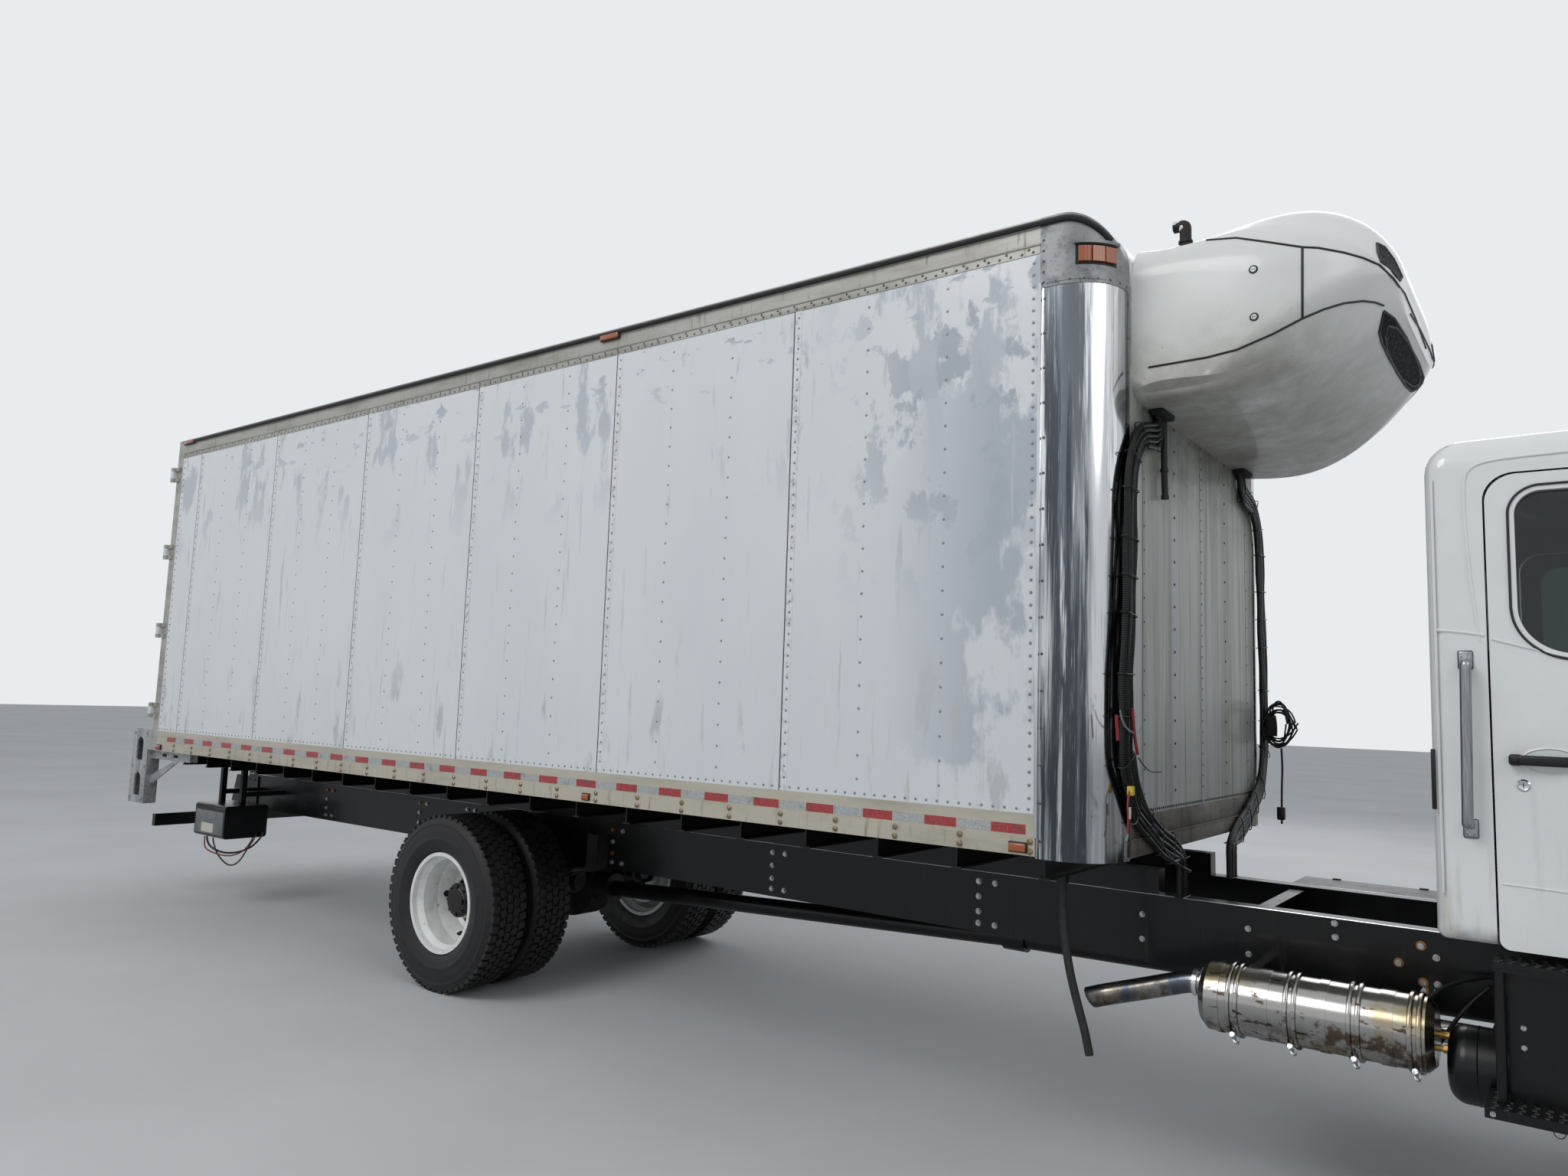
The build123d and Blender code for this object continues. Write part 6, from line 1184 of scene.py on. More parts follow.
class TRUCK_OT_tyres(bpy.types.Operator):
    """Tyres: lugged treads behind, ribbed treads in front, moulded rings on the sidewalls"""
    bl_idname = "truck.tyres"
    bl_label = "Tyres"

    def execute(self, context):
        sizes = context.scene.truck_tyres
        for word, side in SIDES:
            twin = bmesh.new()
            for y in (REAR_TYRE_Y, REAR_TYRE_Y - DUAL_SPACING):
                centre = Vector((REAR_AXLE_X, side * y, TYRE_RADIUS))
                turned(twin, self.section(sizes, ribbed=False), centre, Y, steps=96)
                self.lugs(twin, centre, sizes)
            piece("rear_tread_" + word, twin, "tyre_rubber", "rear_wheels_" + word,
                  replaces=("rear_tyres_" + word,))
            single = bmesh.new()
            centre = Vector((FRONT_AXLE_X, side * FRONT_TYRE_Y, TYRE_RADIUS))
            turned(single, self.section(sizes, ribbed=True), centre, Y, steps=96)
            self.shoulder(single, centre, 0.114, 0.012, 0.016, sizes.front_blocks, 0.0)
            piece("front_tread_" + word, single, "tyre_rubber", "front_wheel_" + word,
                  replaces=("front_tyre_" + word,))
        return {"FINISHED"}

    def section(self, sizes, ribbed):
        """Outline of a tyre from bead to bead over the tread, and back inside it."""
        wall = [
            (0.104, 0.2868), (0.105, 0.303), (0.112, 0.309), (0.117, 0.305), (0.125, 0.320), (0.1345, 0.350),
            (0.1385, 0.374), (0.1398, 0.377), (0.1398, 0.383), (0.1388, 0.386), (0.1395, 0.412),
            (0.1370, 0.446), (0.1315, 0.466), (0.1330, 0.470), (0.1310, 0.474), (0.1235, 0.492),
        ]
        top = TYRE_RADIUS - 0.0008
        base = top - sizes.tread_depth
        crown = [(0.113, base)]
        if ribbed:
            crown = [(0.117, top - 0.004), (0.110, top)]
            for groove in (0.072, 0.025):
                crown += [(groove + 0.007, top), (groove + 0.0045, base), (groove - 0.0045, base),
                          (groove - 0.007, top)]
        outer = wall + crown
        hollow = [(0.084, 0.2868), (0.084, 0.308), (0.116, 0.360), (0.118, 0.412), (0.094, 0.484)]
        outline = [(-across, radius) for across, radius in outer] + list(reversed(outer))
        outline += hollow + [(-across, radius) for across, radius in reversed(hollow)]
        return closed(outline)

    def shoulder(self, bm, centre, across, width, length, count, twist, low=0.494, phase=0.0):
        """Adds a ring of blocks, each standing on the carcass."""
        high = TYRE_RADIUS - 0.0008
        for i in range(count):
            turn = Matrix.Rotation(math.tau * (i + phase) / count, 4, "Y")
            place = Matrix.Translation(centre) @ turn @ Matrix.Translation((0, across, (low + high) / 2))
            place = place @ Matrix.Rotation(twist, 4, "Z") @ Matrix.Diagonal((length, width, high - low, 1))
            bmesh.ops.create_cube(bm, size=1, matrix=place)

    def lugs(self, bm, centre, sizes):
        """Adds the five rows of blocks of a drive tyre."""
        count = sizes.rear_blocks
        for mirrored in (-1, 1):
            self.shoulder(bm, centre, mirrored * 0.096, 0.044, 0.037, count, mirrored * 0.10, low=0.488)
            self.shoulder(bm, centre, mirrored * 0.047, 0.040, 0.042, count, mirrored * -0.35, low=0.502,
                          phase=0.5)
        self.shoulder(bm, centre, 0.0, 0.034, 0.046, count, 0.0, low=0.502)


class TRUCK_OT_wheels(bpy.types.Operator):
    """Hubs with their bolts, wheel nuts on their studs, rust round them, and tyre valves"""
    bl_idname = "truck.wheels"
    bl_label = "Wheels"

    def execute(self, context):
        rear_disc = REAR_TYRE_Y - 0.1595
        front_disc = FRONT_TYRE_Y + 0.1715
        for word, side in SIDES:
            self.hub(word, side, "rear", REAR_AXLE_X, rear_disc, [
                (0.0, 0.112), (0.006, 0.112), (0.016, 0.096), (0.118, 0.0935), (0.122, 0.103), (0.142, 0.103),
                (0.146, 0.094), (0.154, 0.074), (0.167, 0.072), (0.1685, 0.060), (0.1688, 0.0),
            ], 0.144)
            self.hub(word, side, "front", FRONT_AXLE_X, front_disc, [
                (0.0, 0.108), (0.005, 0.108), (0.008, 0.0945), (0.030, 0.088), (0.052, 0.074),
                (0.0625, 0.058), (0.0628, 0.0),
            ], 0.0)
        return {"FINISHED"}

    def spoke(self, step, count):
        """Direction from the axle at one of the steps that divide a turn evenly."""
        turn = step * math.tau / count
        return Vector((math.cos(turn), 0, math.sin(turn)))

    def hub(self, word, side, end, x, disc, outline, flange):
        """Hub, nuts, hand holes, rust and valve of one wheel."""
        centre = Vector((x, -disc, TYRE_RADIUS))
        body = "rear_wheels_" + word if end == "rear" else "front_wheel_" + word
        skin = bmesh.new()
        turned(skin, outline, centre, OUT, steps=40)
        nuts = bmesh.new()
        for i in range(WHEEL_NUTS):
            place = centre + self.spoke(i, WHEEL_NUTS) * NUT_RING
            stud(nuts, place, OUT, 0.021, 0.005, sides=16)
            stud(nuts, place + OUT * 0.005, OUT, 0.0185, 0.022, tip=0.94, sides=6)
            stud(nuts, place, OUT, 0.0105, 0.045, sides=10)
        count, seat, ring = (8, flange, 0.086) if flange else (5, 0.030, 0.062)
        for i in range(count):
            place = centre + OUT * seat + self.spoke(i, count) * ring
            stud(nuts, place, OUT, 0.010, 0.014, tip=0.95, sides=6)
        # Hand holes are thin dark discs on the rim: painted shade of the openings.
        holes = bmesh.new()
        rim = surface(("rear_rims_" if flange else "front_rim_") + "right")
        for i in range(HAND_HOLES):
            aim = centre + self.spoke(i + 0.5, HAND_HOLES) * HAND_HOLE_RING
            place, normal, index, distance = rim.ray_cast(Vector((aim.x, -1.4, aim.z)), Y)
            stud(holes, place - normal * 0.001, normal, HAND_HOLE_RADIUS, 0.0018, sides=28)
        rust = bmesh.new()
        turned(rust, [(0.0, 0.100), (0.0009, 0.104), (0.0009, 0.188), (0.0, 0.194)], centre, OUT, steps=48)
        valve = bmesh.new()
        lean = Vector((0.35, -1, 0)).normalized()
        foot = centre + Vector((0.236, 0, 0.030)) + Vector((0, 0.02 if end == "front" else 0.0, 0))
        stud(valve, foot, lean, 0.0075, 0.045, tip=0.8, sides=10)
        stud(valve, foot + lean * 0.045, lean, 0.0055, 0.012, sides=8)
        one_side(word, side, body, (
            (end + "_hub", skin, "raw_iron", "greasy_hub"), (end + "_nuts", nuts, "raw_iron", "rusty_nut"),
            (end + "_hand_holes", holes, "raw_iron", "hollow_black"),
            (end + "_rust_ring", rust, "raw_iron", "wheel_rust"),
            (end + "_valve", valve, "stainless", "brass"),
        ))


class TRUCK_OT_lamps(bpy.types.Operator):
    """Side marker lamps, reflectors and the row of lamps over the rear doors"""
    bl_idname = "truck.lamps"
    bl_label = "Marker lamps"

    def execute(self, context):
        places = (  # name, x, z, length, height, where it stands, lens
            ("upper_rear", BOX_REAR + 0.200, 3.800, 0.190, 0.034, "rail", "red_lens"),
            ("upper_middle", BOX_FRONT - 2.825, 3.785, 0.150, 0.040, "rail", "amber_lens"),
            ("lower_front", BOX_FRONT - 0.353, 1.262, 0.080, 0.042, "ledge", "amber_lens"),
            ("lower_rear", BOX_REAR + 0.160, 1.262, 0.095, 0.045, "ledge", "red_lens"),
            ("lower_middle", BOX_FRONT - 2.825, 1.262, 0.060, 0.040, "ledge", "amber_lens"),
        )
        proud = {"rail": 0.008, "ledge": 0.006}
        bases = bmesh.new()
        lenses = {"red_lens": bmesh.new(), "amber_lens": bmesh.new()}
        for name, x, z, long, tall, seat, lens in places:
            face = -HALF_WIDTH - proud[seat]
            slab(bases, (x - long / 2, face - 0.005, z - tall / 2), (x + long / 2, face, z + tall / 2), 0.002)
            slab(lenses[lens], (x - long / 2 + 0.005, face - 0.016, z - tall / 2 + 0.005),
                 (x + long / 2 - 0.005, face - 0.004, z + tall / 2 - 0.005), 0.005, 3)
        for bm in (bases, *lenses.values()):
            both_sides(bm)
        for y in (-0.60, -0.16, 0.0, 0.16, 0.60):
            slab(bases, (BOX_REAR - 0.006, y - 0.060, 3.740), (BOX_REAR, y + 0.060, 3.775), 0.002)
            slab(lenses["red_lens"], (BOX_REAR - 0.020, y - 0.054, 3.745),
                 (BOX_REAR - 0.005, y + 0.054, 3.770), 0.004, 3)
        piece("lamp_bases", bases, "black_plastic", replaces=("marker_lamps",))
        piece("red_lamps", lenses["red_lens"], "red_lens")
        piece("amber_lamps", lenses["amber_lens"], "amber_lens")
        return {"FINISHED"}


class TRUCK_OT_cables(bpy.types.Operator):
    """Conduit bundles tied down the front wall, their loose ends, and the spare coil"""
    bl_idname = "truck.cables"
    bl_label = "Wall cables"

    def execute(self, context):
        sizes = context.scene.truck_cables
        radius = sizes.conduit_radius
        chance = random.Random(4)
        conduits = bmesh.new()
        for lane in range(5):
            shift = (lane - 2) * radius * 2.08
            route = []
            for place, along in self.stations(0.11):
                beside = Vector((0, along.z, -along.y))
                aside = beside * (shift + chance.uniform(-0.003, 0.003))
                route.append(place + aside + X * chance.uniform(0, 0.007))
            strands(conduits, [route], radius, fine=3)
        pair("conduits", conduits, "conduit", replaces=("wall_cables",))
        ties = bmesh.new()
        for place, along in self.stations(sizes.tie_pitch)[1:]:
            beside = Vector((0, along.z, -along.y))
            half = radius * 5.5
            deep = radius + 0.005
            ring = [place + beside * a * half + X * (b * deep + 0.004)
                    for a, b in ((-1, -1), (-1.06, 0), (-1, 1), (0, 1.25), (1, 1), (1.06, 0), (1, -1),
                                 (0, -1), (-1, -1))]
            strands(ties, [ring], 0.0024, fineness=1, fine=3)
        pair("cable_ties", ties, "tie_nylon")
        self.loose_ends()
        self.coil()
        return {"FINISHED"}

    def stations(self, pitch):
        """Places at about a pitch along the bundle on the right side, each with the direction there."""
        points = [Vector((CABLE_X, -y, z)) for y, z in CABLE_ROUTE]
        found = []
        for start, end in zip(points, points[1:]):
            run = end - start
            for share in range(max(1, round(run.length / pitch))):
                found.append((start + run * share / max(1, round(run.length / pitch)), run.normalized()))
        found.append((points[-1], (points[-1] - points[-2]).normalized()))
        return found

    def loose_ends(self):
        """Leads, sleeves, plug and tag that hang loose ahead of the wall."""
        ends = (  # name, finish, radius, gap ahead of the wall, pixels
            ("black_lead", "cable_rubber", 0.0085, 0.030,
             ((1481, 985), (1484, 1012), (1490, 1036), (1502, 1068), (1518, 1109), (1536, 1130),
              (1554, 1138))),
            ("grey_lead", "grey_wire", 0.0035, 0.050,
             ((1463, 928), (1465, 940), (1472, 953), (1486, 960), (1492, 950))),
            ("stray_lead", "cable_rubber", 0.0025, 0.046,
             ((1487, 990), (1494, 1001), (1505, 1010), (1517, 1008))),
            ("red_sleeve_long", "red_wire", 0.0065, 0.052,
             ((1479, 925), (1480, 940), (1482, 965), (1486, 985))),
            ("red_sleeve_short", "red_wire", 0.0065, 0.048, ((1458, 934), (1459, 945), (1460, 967))),
            ("red_lead", "red_wire", 0.0040, 0.046, ((1476, 1030), (1472, 1048), (1474, 1070), (1473, 1092))),
            ("lead_end", "clear_end", 0.0045, 0.046, ((1473, 1090), (1471, 1099))),
        )
        for name, coat, radius, gap, pixels in ends:
            bm = bmesh.new()
            strands(bm, [ahead_of_wall(pixels, gap)], radius)
            piece(name, bm, coat)
        plug = ahead_of_wall(((1477, 1033),), 0.048)[0]
        bm = bmesh.new()
        slab(bm, plug - Vector((0.012, 0.012, 0.018)), plug + Vector((0.012, 0.012, 0.018)), 0.004)
        piece("yellow_plug", bm, "yellow_plastic")
        tag = ahead_of_wall(((1476, 1062),), 0.052)[0]
        bm = bmesh.new()
        slab(bm, tag - Vector((0.0012, 0.010, 0.022)), tag + Vector((0.0012, 0.010, 0.022)), 0.0008)
        piece("pale_tag", bm, "pale_tag")

    def coil(self):
        """Spare wire in loose loops round a dark roll on the driver's side bundle."""
        chance = random.Random(9)
        middle = ahead_of_wall(((1670, 948),), 0.105)[0]
        turns = []
        for _ in range(11):
            wide, tall = chance.uniform(0.050, 0.088), chance.uniform(0.085, 0.140)
            lean, drop = chance.uniform(-0.6, 0.6), chance.uniform(-0.02, 0.02)
            beside = Vector((math.cos(lean), math.sin(lean), 0))
            loop = []
            for i in range(10):
                turn = i * math.tau / 9
                across = wide * math.cos(turn) + chance.uniform(-0.010, 0.010)
                loop.append(middle + beside * across + Z * (tall * math.sin(turn) + drop))
            turns.append(loop)
        wire = bmesh.new()
        strands(wire, turns, 0.0042, fine=4)
        strands(wire, [[middle + Vector((0.010, 0.01, -0.12)), middle + Vector((0.015, 0.012, -0.22)),
                        middle + Vector((0.010, 0.0, -0.34)), middle + Vector((0.008, 0.004, -0.52))]],
                        0.0055)
        slab(wire, middle + Vector((-0.014, -0.014, -0.50)), middle + Vector((0.026, 0.020, -0.43)), 0.008)
        piece("coiled_wire", wire, "cable_rubber")
        roll = bmesh.new()
        strands(roll, [[middle + Vector((-0.045, 0, 0.050)), middle + Vector((-0.035, 0, 0.0)),
                        middle + Vector((-0.040, 0, -0.055))]], 0.032, fineness=4)
        piece("foam_roll", roll, "foam_sleeve")


class TRUCK_OT_unit(bpy.types.Operator):
    """Shut lines drawn dark as painted shade, latches, mesh openings, exhaust stub and drain hoses of the
    cooling unit
    """
    bl_idname = "truck.unit"
    bl_label = "Cooling unit"

    def execute(self, context):
        shell = surface("unit_housing")
        lines = bmesh.new()
        # Each shut line is a dark rubber strand on the shell: painted shade of the gap.
        for pixels in UNIT_SHUT_LINE_SHADE:
            strands(lines, [traced(shell, closer(pixels), 0.0008)], 0.0045, fineness=1, fine=2)
        pair("unit_shut_lines", lines, "seal_rubber")
        mesh = bmesh.new()
        rims = bmesh.new()
        for pixels in UNIT_OPENINGS:
            patch(mesh, shell, pixels, 0.003, 0.002, cuts=8)
            strands(rims, [traced(shell, closer(closed(pixels)), 0.001)], 0.005, fine=2)
        pair("unit_mesh", mesh, "black_mesh")
        pair("unit_mesh_rims", rims, "seal_rubber")
        wells = bmesh.new()
        latches = bmesh.new()
        for pixels in UNIT_LATCHES:
            place = traced(shell, (pixels,), 0.0)[0]
            stud(wells, place, -Y, 0.017, 0.0015, sides=28)
            stud(latches, place, -Y, 0.0125, 0.005, tip=0.85, sides=24)
            slab(wells, place - Vector((0.007, 0.0056, 0.0012)), place + Vector((0.007, -0.004, 0.0012)))
        pair("latch_wells", wells, "black_plastic")
        pair("unit_latches", latches, "satin_bar")
        self.stub()
        self.drains()
        return {"FINISHED"}

    def stub(self):
        """Exhaust stub that rises beside the unit and bends back, with its collar."""
        foot = Vector((BOX_FRONT + STUB_OUT, -STUB_Y, ROOF_TOP - 0.088))
        bend = foot + Z * STUB_RISE
        bm = bmesh.new()
        strands(bm, [[foot, foot + Z * 0.10, bend - Z * 0.035, bend, bend - X * 0.03,
                      bend - X * (STUB_REACH - 0.001)]],
                STUB_RADIUS + 0.0008, fineness=6, fine=10)
        collar = STUB_RADIUS + 0.006
        turned(bm, [(0, collar), (0.010, collar), (0.010, STUB_RADIUS), (0, STUB_RADIUS), (0, collar)],
               foot + Z * 0.105, Z, steps=24)
        piece("unit_exhaust", bm, "sooty_pipe")

    def drains(self):
        """The gland under the unit and the short hose with its clamp."""
        bm = bmesh.new()
        foot = Vector((CABLE_X + 0.002, -CABLE_ROUTE[0][0], CABLE_ROUTE[0][1]))
        strands(bm, [[foot + Vector((0, 0.05, 0.02)), foot + Vector((0, 0.052, -0.06)),
                      foot + Vector((0, 0.052, -0.14)), foot + Vector((0, 0.056, -0.26)),
                      foot + Vector((0, 0.064, -0.35))]], 0.014, fineness=4)
        stud(bm, foot + Vector((0, 0.054, -0.22)), (0, 0.02, -1), 0.0175, 0.014, sides=20)
        slab(bm, foot + Vector((0, 0.028, -0.232)), foot + Vector((0.008, 0.044, -0.220)), 0.002)
        stud(bm, foot + Vector((0, 0.062, -0.335)), (0, 0.08, -1), 0.0165, 0.018, sides=20)
        piece("drain_tail", bm, "hose_rubber")
        gland = bmesh.new()
        slab(gland, foot + Vector((-0.022, -0.085, -0.010)), foot + Vector((0.040, 0.085, 0.045)), 0.012, 3)
        pair("foam_glands", gland, "foam_sleeve")


class TRUCK_OT_cab(bpy.types.Operator):
    """Seals, window rubbers, handles, locks, grab bars, creases and wipers of the cab"""
    bl_idname = "truck.cab"
    bl_label = "Cab"

    def execute(self, context):
        seal = bmesh.new()
        side_ring(seal, rounded(DOOR_OPENING, DOOR_RADII), 0.0052, CAB_SIDE - 0.002, CAB_SIDE - 0.030)
        pair("door_seals", seal, "seal_rubber")
        for word, side in SIDES:
            self.door(word, side)
        self.creases()
        self.bars()
        self.windows()
        return {"FINISHED"}

    def door(self, word, side):
        """Window rubber, handle in its cup, lock and belt line of one door."""
        skin = -CAB_SIDE
        rubber = bmesh.new()
        side_ring(rubber, rounded(WINDOW_OPENING, WINDOW_RADII), 0.030, CAB_SIDE + 0.003, CAB_SIDE - 0.027)
        edge = rounded(WINDOW_OPENING, WINDOW_RADII, 10)
        strands(rubber, [[(x, skin - 0.002, z) for x, z in closed(edge)]], 0.004, fine=2)
        handle = bmesh.new()
        slab(handle, (3.590, skin - 0.037, 1.676), (3.757, skin - 0.015, 1.708), 0.008, 3)
        for low, high in (((3.592, 1.674), (3.624, 1.710)), ((3.726, 1.676), (3.752, 1.708))):
            slab(handle, (low[0], skin - 0.026, low[1]), (high[0], skin + 0.002, high[1]), 0.006, 3)
        slab(handle, (3.600, skin - 0.040, 1.684), (3.618, skin - 0.034, 1.700), 0.003)
        cup = bmesh.new()
        ring = [(3.700 + 0.078 * math.cos(turn), skin - 0.0005, 1.692 + 0.040 * math.sin(turn))
                for turn in steps_between(0, math.tau, 0.3)]
        strands(cup, [ring], 0.003, fine=3)
        strands(cup, [[(3.556, skin - 0.0008, 2.079), (3.660, skin - 0.001, 2.045),
                       (3.900, skin - 0.001, 1.985), (4.300, skin - 0.001, 1.930), (4.600, skin, 1.905)]],
                       0.004, fine=8)
        strands(cup, [[(3.560, skin, 1.300), (4.000, skin - 0.0008, 1.285), (4.600, skin, 1.280)]], 0.0035,
                fine=8)
        lock = bmesh.new()
        turned(lock, [(-0.002, 0.0), (-0.002, 0.019), (0.003, 0.019), (0.006, 0.015), (0.0045, 0.012),
                      (0.0055, 0.0)],
               (3.626, skin, 1.613), OUT, steps=24)
        # The lock's keyway is a black strip: painted shade of the slot.
        keyhole_shade = bmesh.new()
        slab(keyhole_shade, (3.6245, skin - 0.0062, 1.606), (3.6275, skin - 0.005, 1.620), 0.0006, 1)
        hinge = bmesh.new()
        for z in (1.260, 1.720):
            for x in (4.563, 4.593):
                for dz in (0.012, -0.012):
                    stud(hinge, (x, skin - 0.008, z + dz), OUT, 0.007, 0.004, tip=0.9, sides=6)
        one_side(word, side, "cab_door_" + word, (
            ("window_rubber", rubber, "grey_plastic", "seal_rubber"),
            ("door_handle", handle, "grey_plastic", "black_plastic"),
            ("door_pressing", cup, "white_paint", "cab_enamel"), ("door_lock", lock, "chrome", "chrome"),
            ("lock_slot", keyhole_shade, "grey_plastic", "black_plastic"),
            ("hinge_bolts", hinge, "stainless", "bright_bolt"),
        ))
        self.mirror(word, side)

    def mirror(self, word, side):
        """Black mirror shell over the head, its two glasses and its arm."""
        x, y = 4.558, -1.240
        head = bmesh.new()
        plan = rounded([(x - 0.0365, -1.3337), (x + 0.0365, -1.3117), (x + 0.0365, y + 0.072),
                        (x - 0.0365, y + 0.102)],
                       [0.004, 0.020, 0.020, 0.004])
        prism(head, [(px, py, 1.9335) for px, py in plan], (0, 0, 0.433), 0.0035)
        strands(head, [[(x - 0.030, -1.030, 1.800), (x - 0.030, -1.150, 1.800), (x - 0.030, y - 0.006, 1.802),
                        (x - 0.012, y, 1.835), (x, y, 1.860), (x, y, 1.955)]], 0.0160, fineness=4, fine=8)
        slab(head, (x - 0.075, -CAB_SIDE - 0.010, 1.765), (x + 0.012, -CAB_SIDE + 0.002, 1.835), 0.008)
        glass = bmesh.new()
        for low, high in ((2.075, 2.350), (1.950, 2.055)):
            slab(glass, (x - 0.0385, -1.3180, low), (x - 0.0360, -1.1560, high), 0.001, 1)
        one_side(word, side, "cab_door_" + word, (("mirror_shell", head, "grey_plastic", "black_plastic"),
                                                  ("mirror_glass", glass, "glass", "mirror_glass")))

    def creases(self):
        """Pressed lines round the door opening and along the cab's rear edge."""
        skin = -CAB_SIDE
        line = bmesh.new()
        strands(line, [
            [(3.524, skin + 0.003, 2.070), (3.508, skin - 0.001, 2.200), (3.494, skin - 0.001, 2.400),
             (3.490, skin - 0.001, 2.560), (3.496, skin - 0.0005, 2.640), (3.540, skin + 0.0005, 2.668),
             (3.640, skin + 0.001, 2.676), (4.000, skin + 0.001, 2.680), (4.330, skin + 0.001, 2.682)],
            [(3.398, skin + 0.0005, 1.250), (3.398, skin + 0.0005, 2.620)],
            [(3.402, skin, 2.110), (3.510, skin, 2.099), (3.536, skin, 2.090)],
        ], 0.005, fine=8)
        pair("cab_creases", line, "cab_enamel")
        strip = bmesh.new()
        slab(strip, (3.374, skin - 0.004, 1.518), (3.388, skin + 0.001, 1.715), 0.002)
        pair("edge_strips", strip, "black_plastic")

    def bars(self):
        """Satin stainless grab bars with flattened, bolted ends."""
        skin = -CAB_SIDE
        steel = bmesh.new()
        bolts = bmesh.new()
        x, out = 3.485, skin - 0.062
        strands(steel, [[
            (x - 0.008, skin + 0.010, 1.480), (x - 0.008, skin - 0.030, 1.480),
            (x - 0.008, out + 0.004, 1.480), (x - 0.008, out, 1.486), (x - 0.007, out, 1.530),
            (x - 0.004, out, 1.740), (x - 0.001, out, 1.945), (x, out, 1.989), (x, out + 0.004, 1.995),
            (x, skin - 0.030, 1.995), (x, skin + 0.010, 1.995),
        ]], 0.0168, fineness=5, fine=8)
        for z, foot in ((1.480, -0.030), (1.995, 0.030)):
            slab(steel, (x - 0.026, skin - 0.004, min(z, z + foot) - 0.016),
                 (x + 0.018, skin + 0.001, max(z, z + foot) + 0.016), 0.006, 3)
            stud(bolts, (x - 0.004, skin - 0.004, z + foot * 0.8), OUT, 0.0125, 0.002, sides=20)
            stud(bolts, (x - 0.004, skin - 0.006, z + foot * 0.8), OUT, 0.0085, 0.006, tip=0.9, sides=6)
        pair("grab_bars", steel, "satin_bar")
        pair("grab_bar_bolts", bolts, "bright_bolt")

    def windows(self):
        """Rubbers of the windscreen and rear window, wipers, and the lamps on the roof's front edge."""
        rubber = bmesh.new()
        top, foot = Vector((4.383, 0, 2.775)), Vector((4.853, 0, 1.800))
        out = Vector((foot.z - top.z, 0, top.x - foot.x)).normalized() * -1
        high, low = top.lerp(foot, 0.1), top.lerp(foot, 0.9)
        across = Y * 0.930
        loop = [high - across, high, high + across, high.lerp(low, 0.5) + across, low + across, low,
                low - across, high.lerp(low, 0.5) - across, high - across]
        doubled = [point + out * -0.004 for corner in loop for point in (corner, corner)]
        strands(rubber, [doubled[1:-1]], 0.014, fineness=3, fine=4)
        rear = [(3.374, y, z) for y, z in rounded([(-0.52, 2.18), (0.52, 2.18), (0.52, 2.60), (-0.52, 2.60)],
                                                  [0.004] * 4)]
        strands(rubber, [closed(rear)], 0.011, fineness=3, fine=2)
        piece("window_rubbers", rubber, "seal_rubber")
        wipers = bmesh.new()
        for y in (-0.20, 0.62):
            pivot = foot.lerp(top, 0.03) + Y * y + out * 0.012
            tip = foot.lerp(top, 0.36) + Y * (y - 0.34) + out * 0.022
            stud(wipers, pivot - out * 0.010, out, 0.020, 0.030, sides=16)
            strands(wipers, [[pivot + out * 0.012, pivot.lerp(tip, 0.5) + out * 0.016, tip]], 0.006)
            half = Vector((-0.434, 0, 0.901)) * 0.10 + Y * -0.22
            strands(wipers, [[tip - half - out * 0.012, tip - out * 0.004, tip + half - out * 0.012]], 0.007)
        piece("wipers", wipers, "black_plastic")
        lamps = bmesh.new()
        for y in (-0.62, -0.16, 0.0, 0.16, 0.62):
            slab(lamps, (4.255, y - 0.045, 2.766), (4.330, y + 0.045, 2.792), 0.010, 3)
        piece("roof_lamps", lamps, "amber_lens")


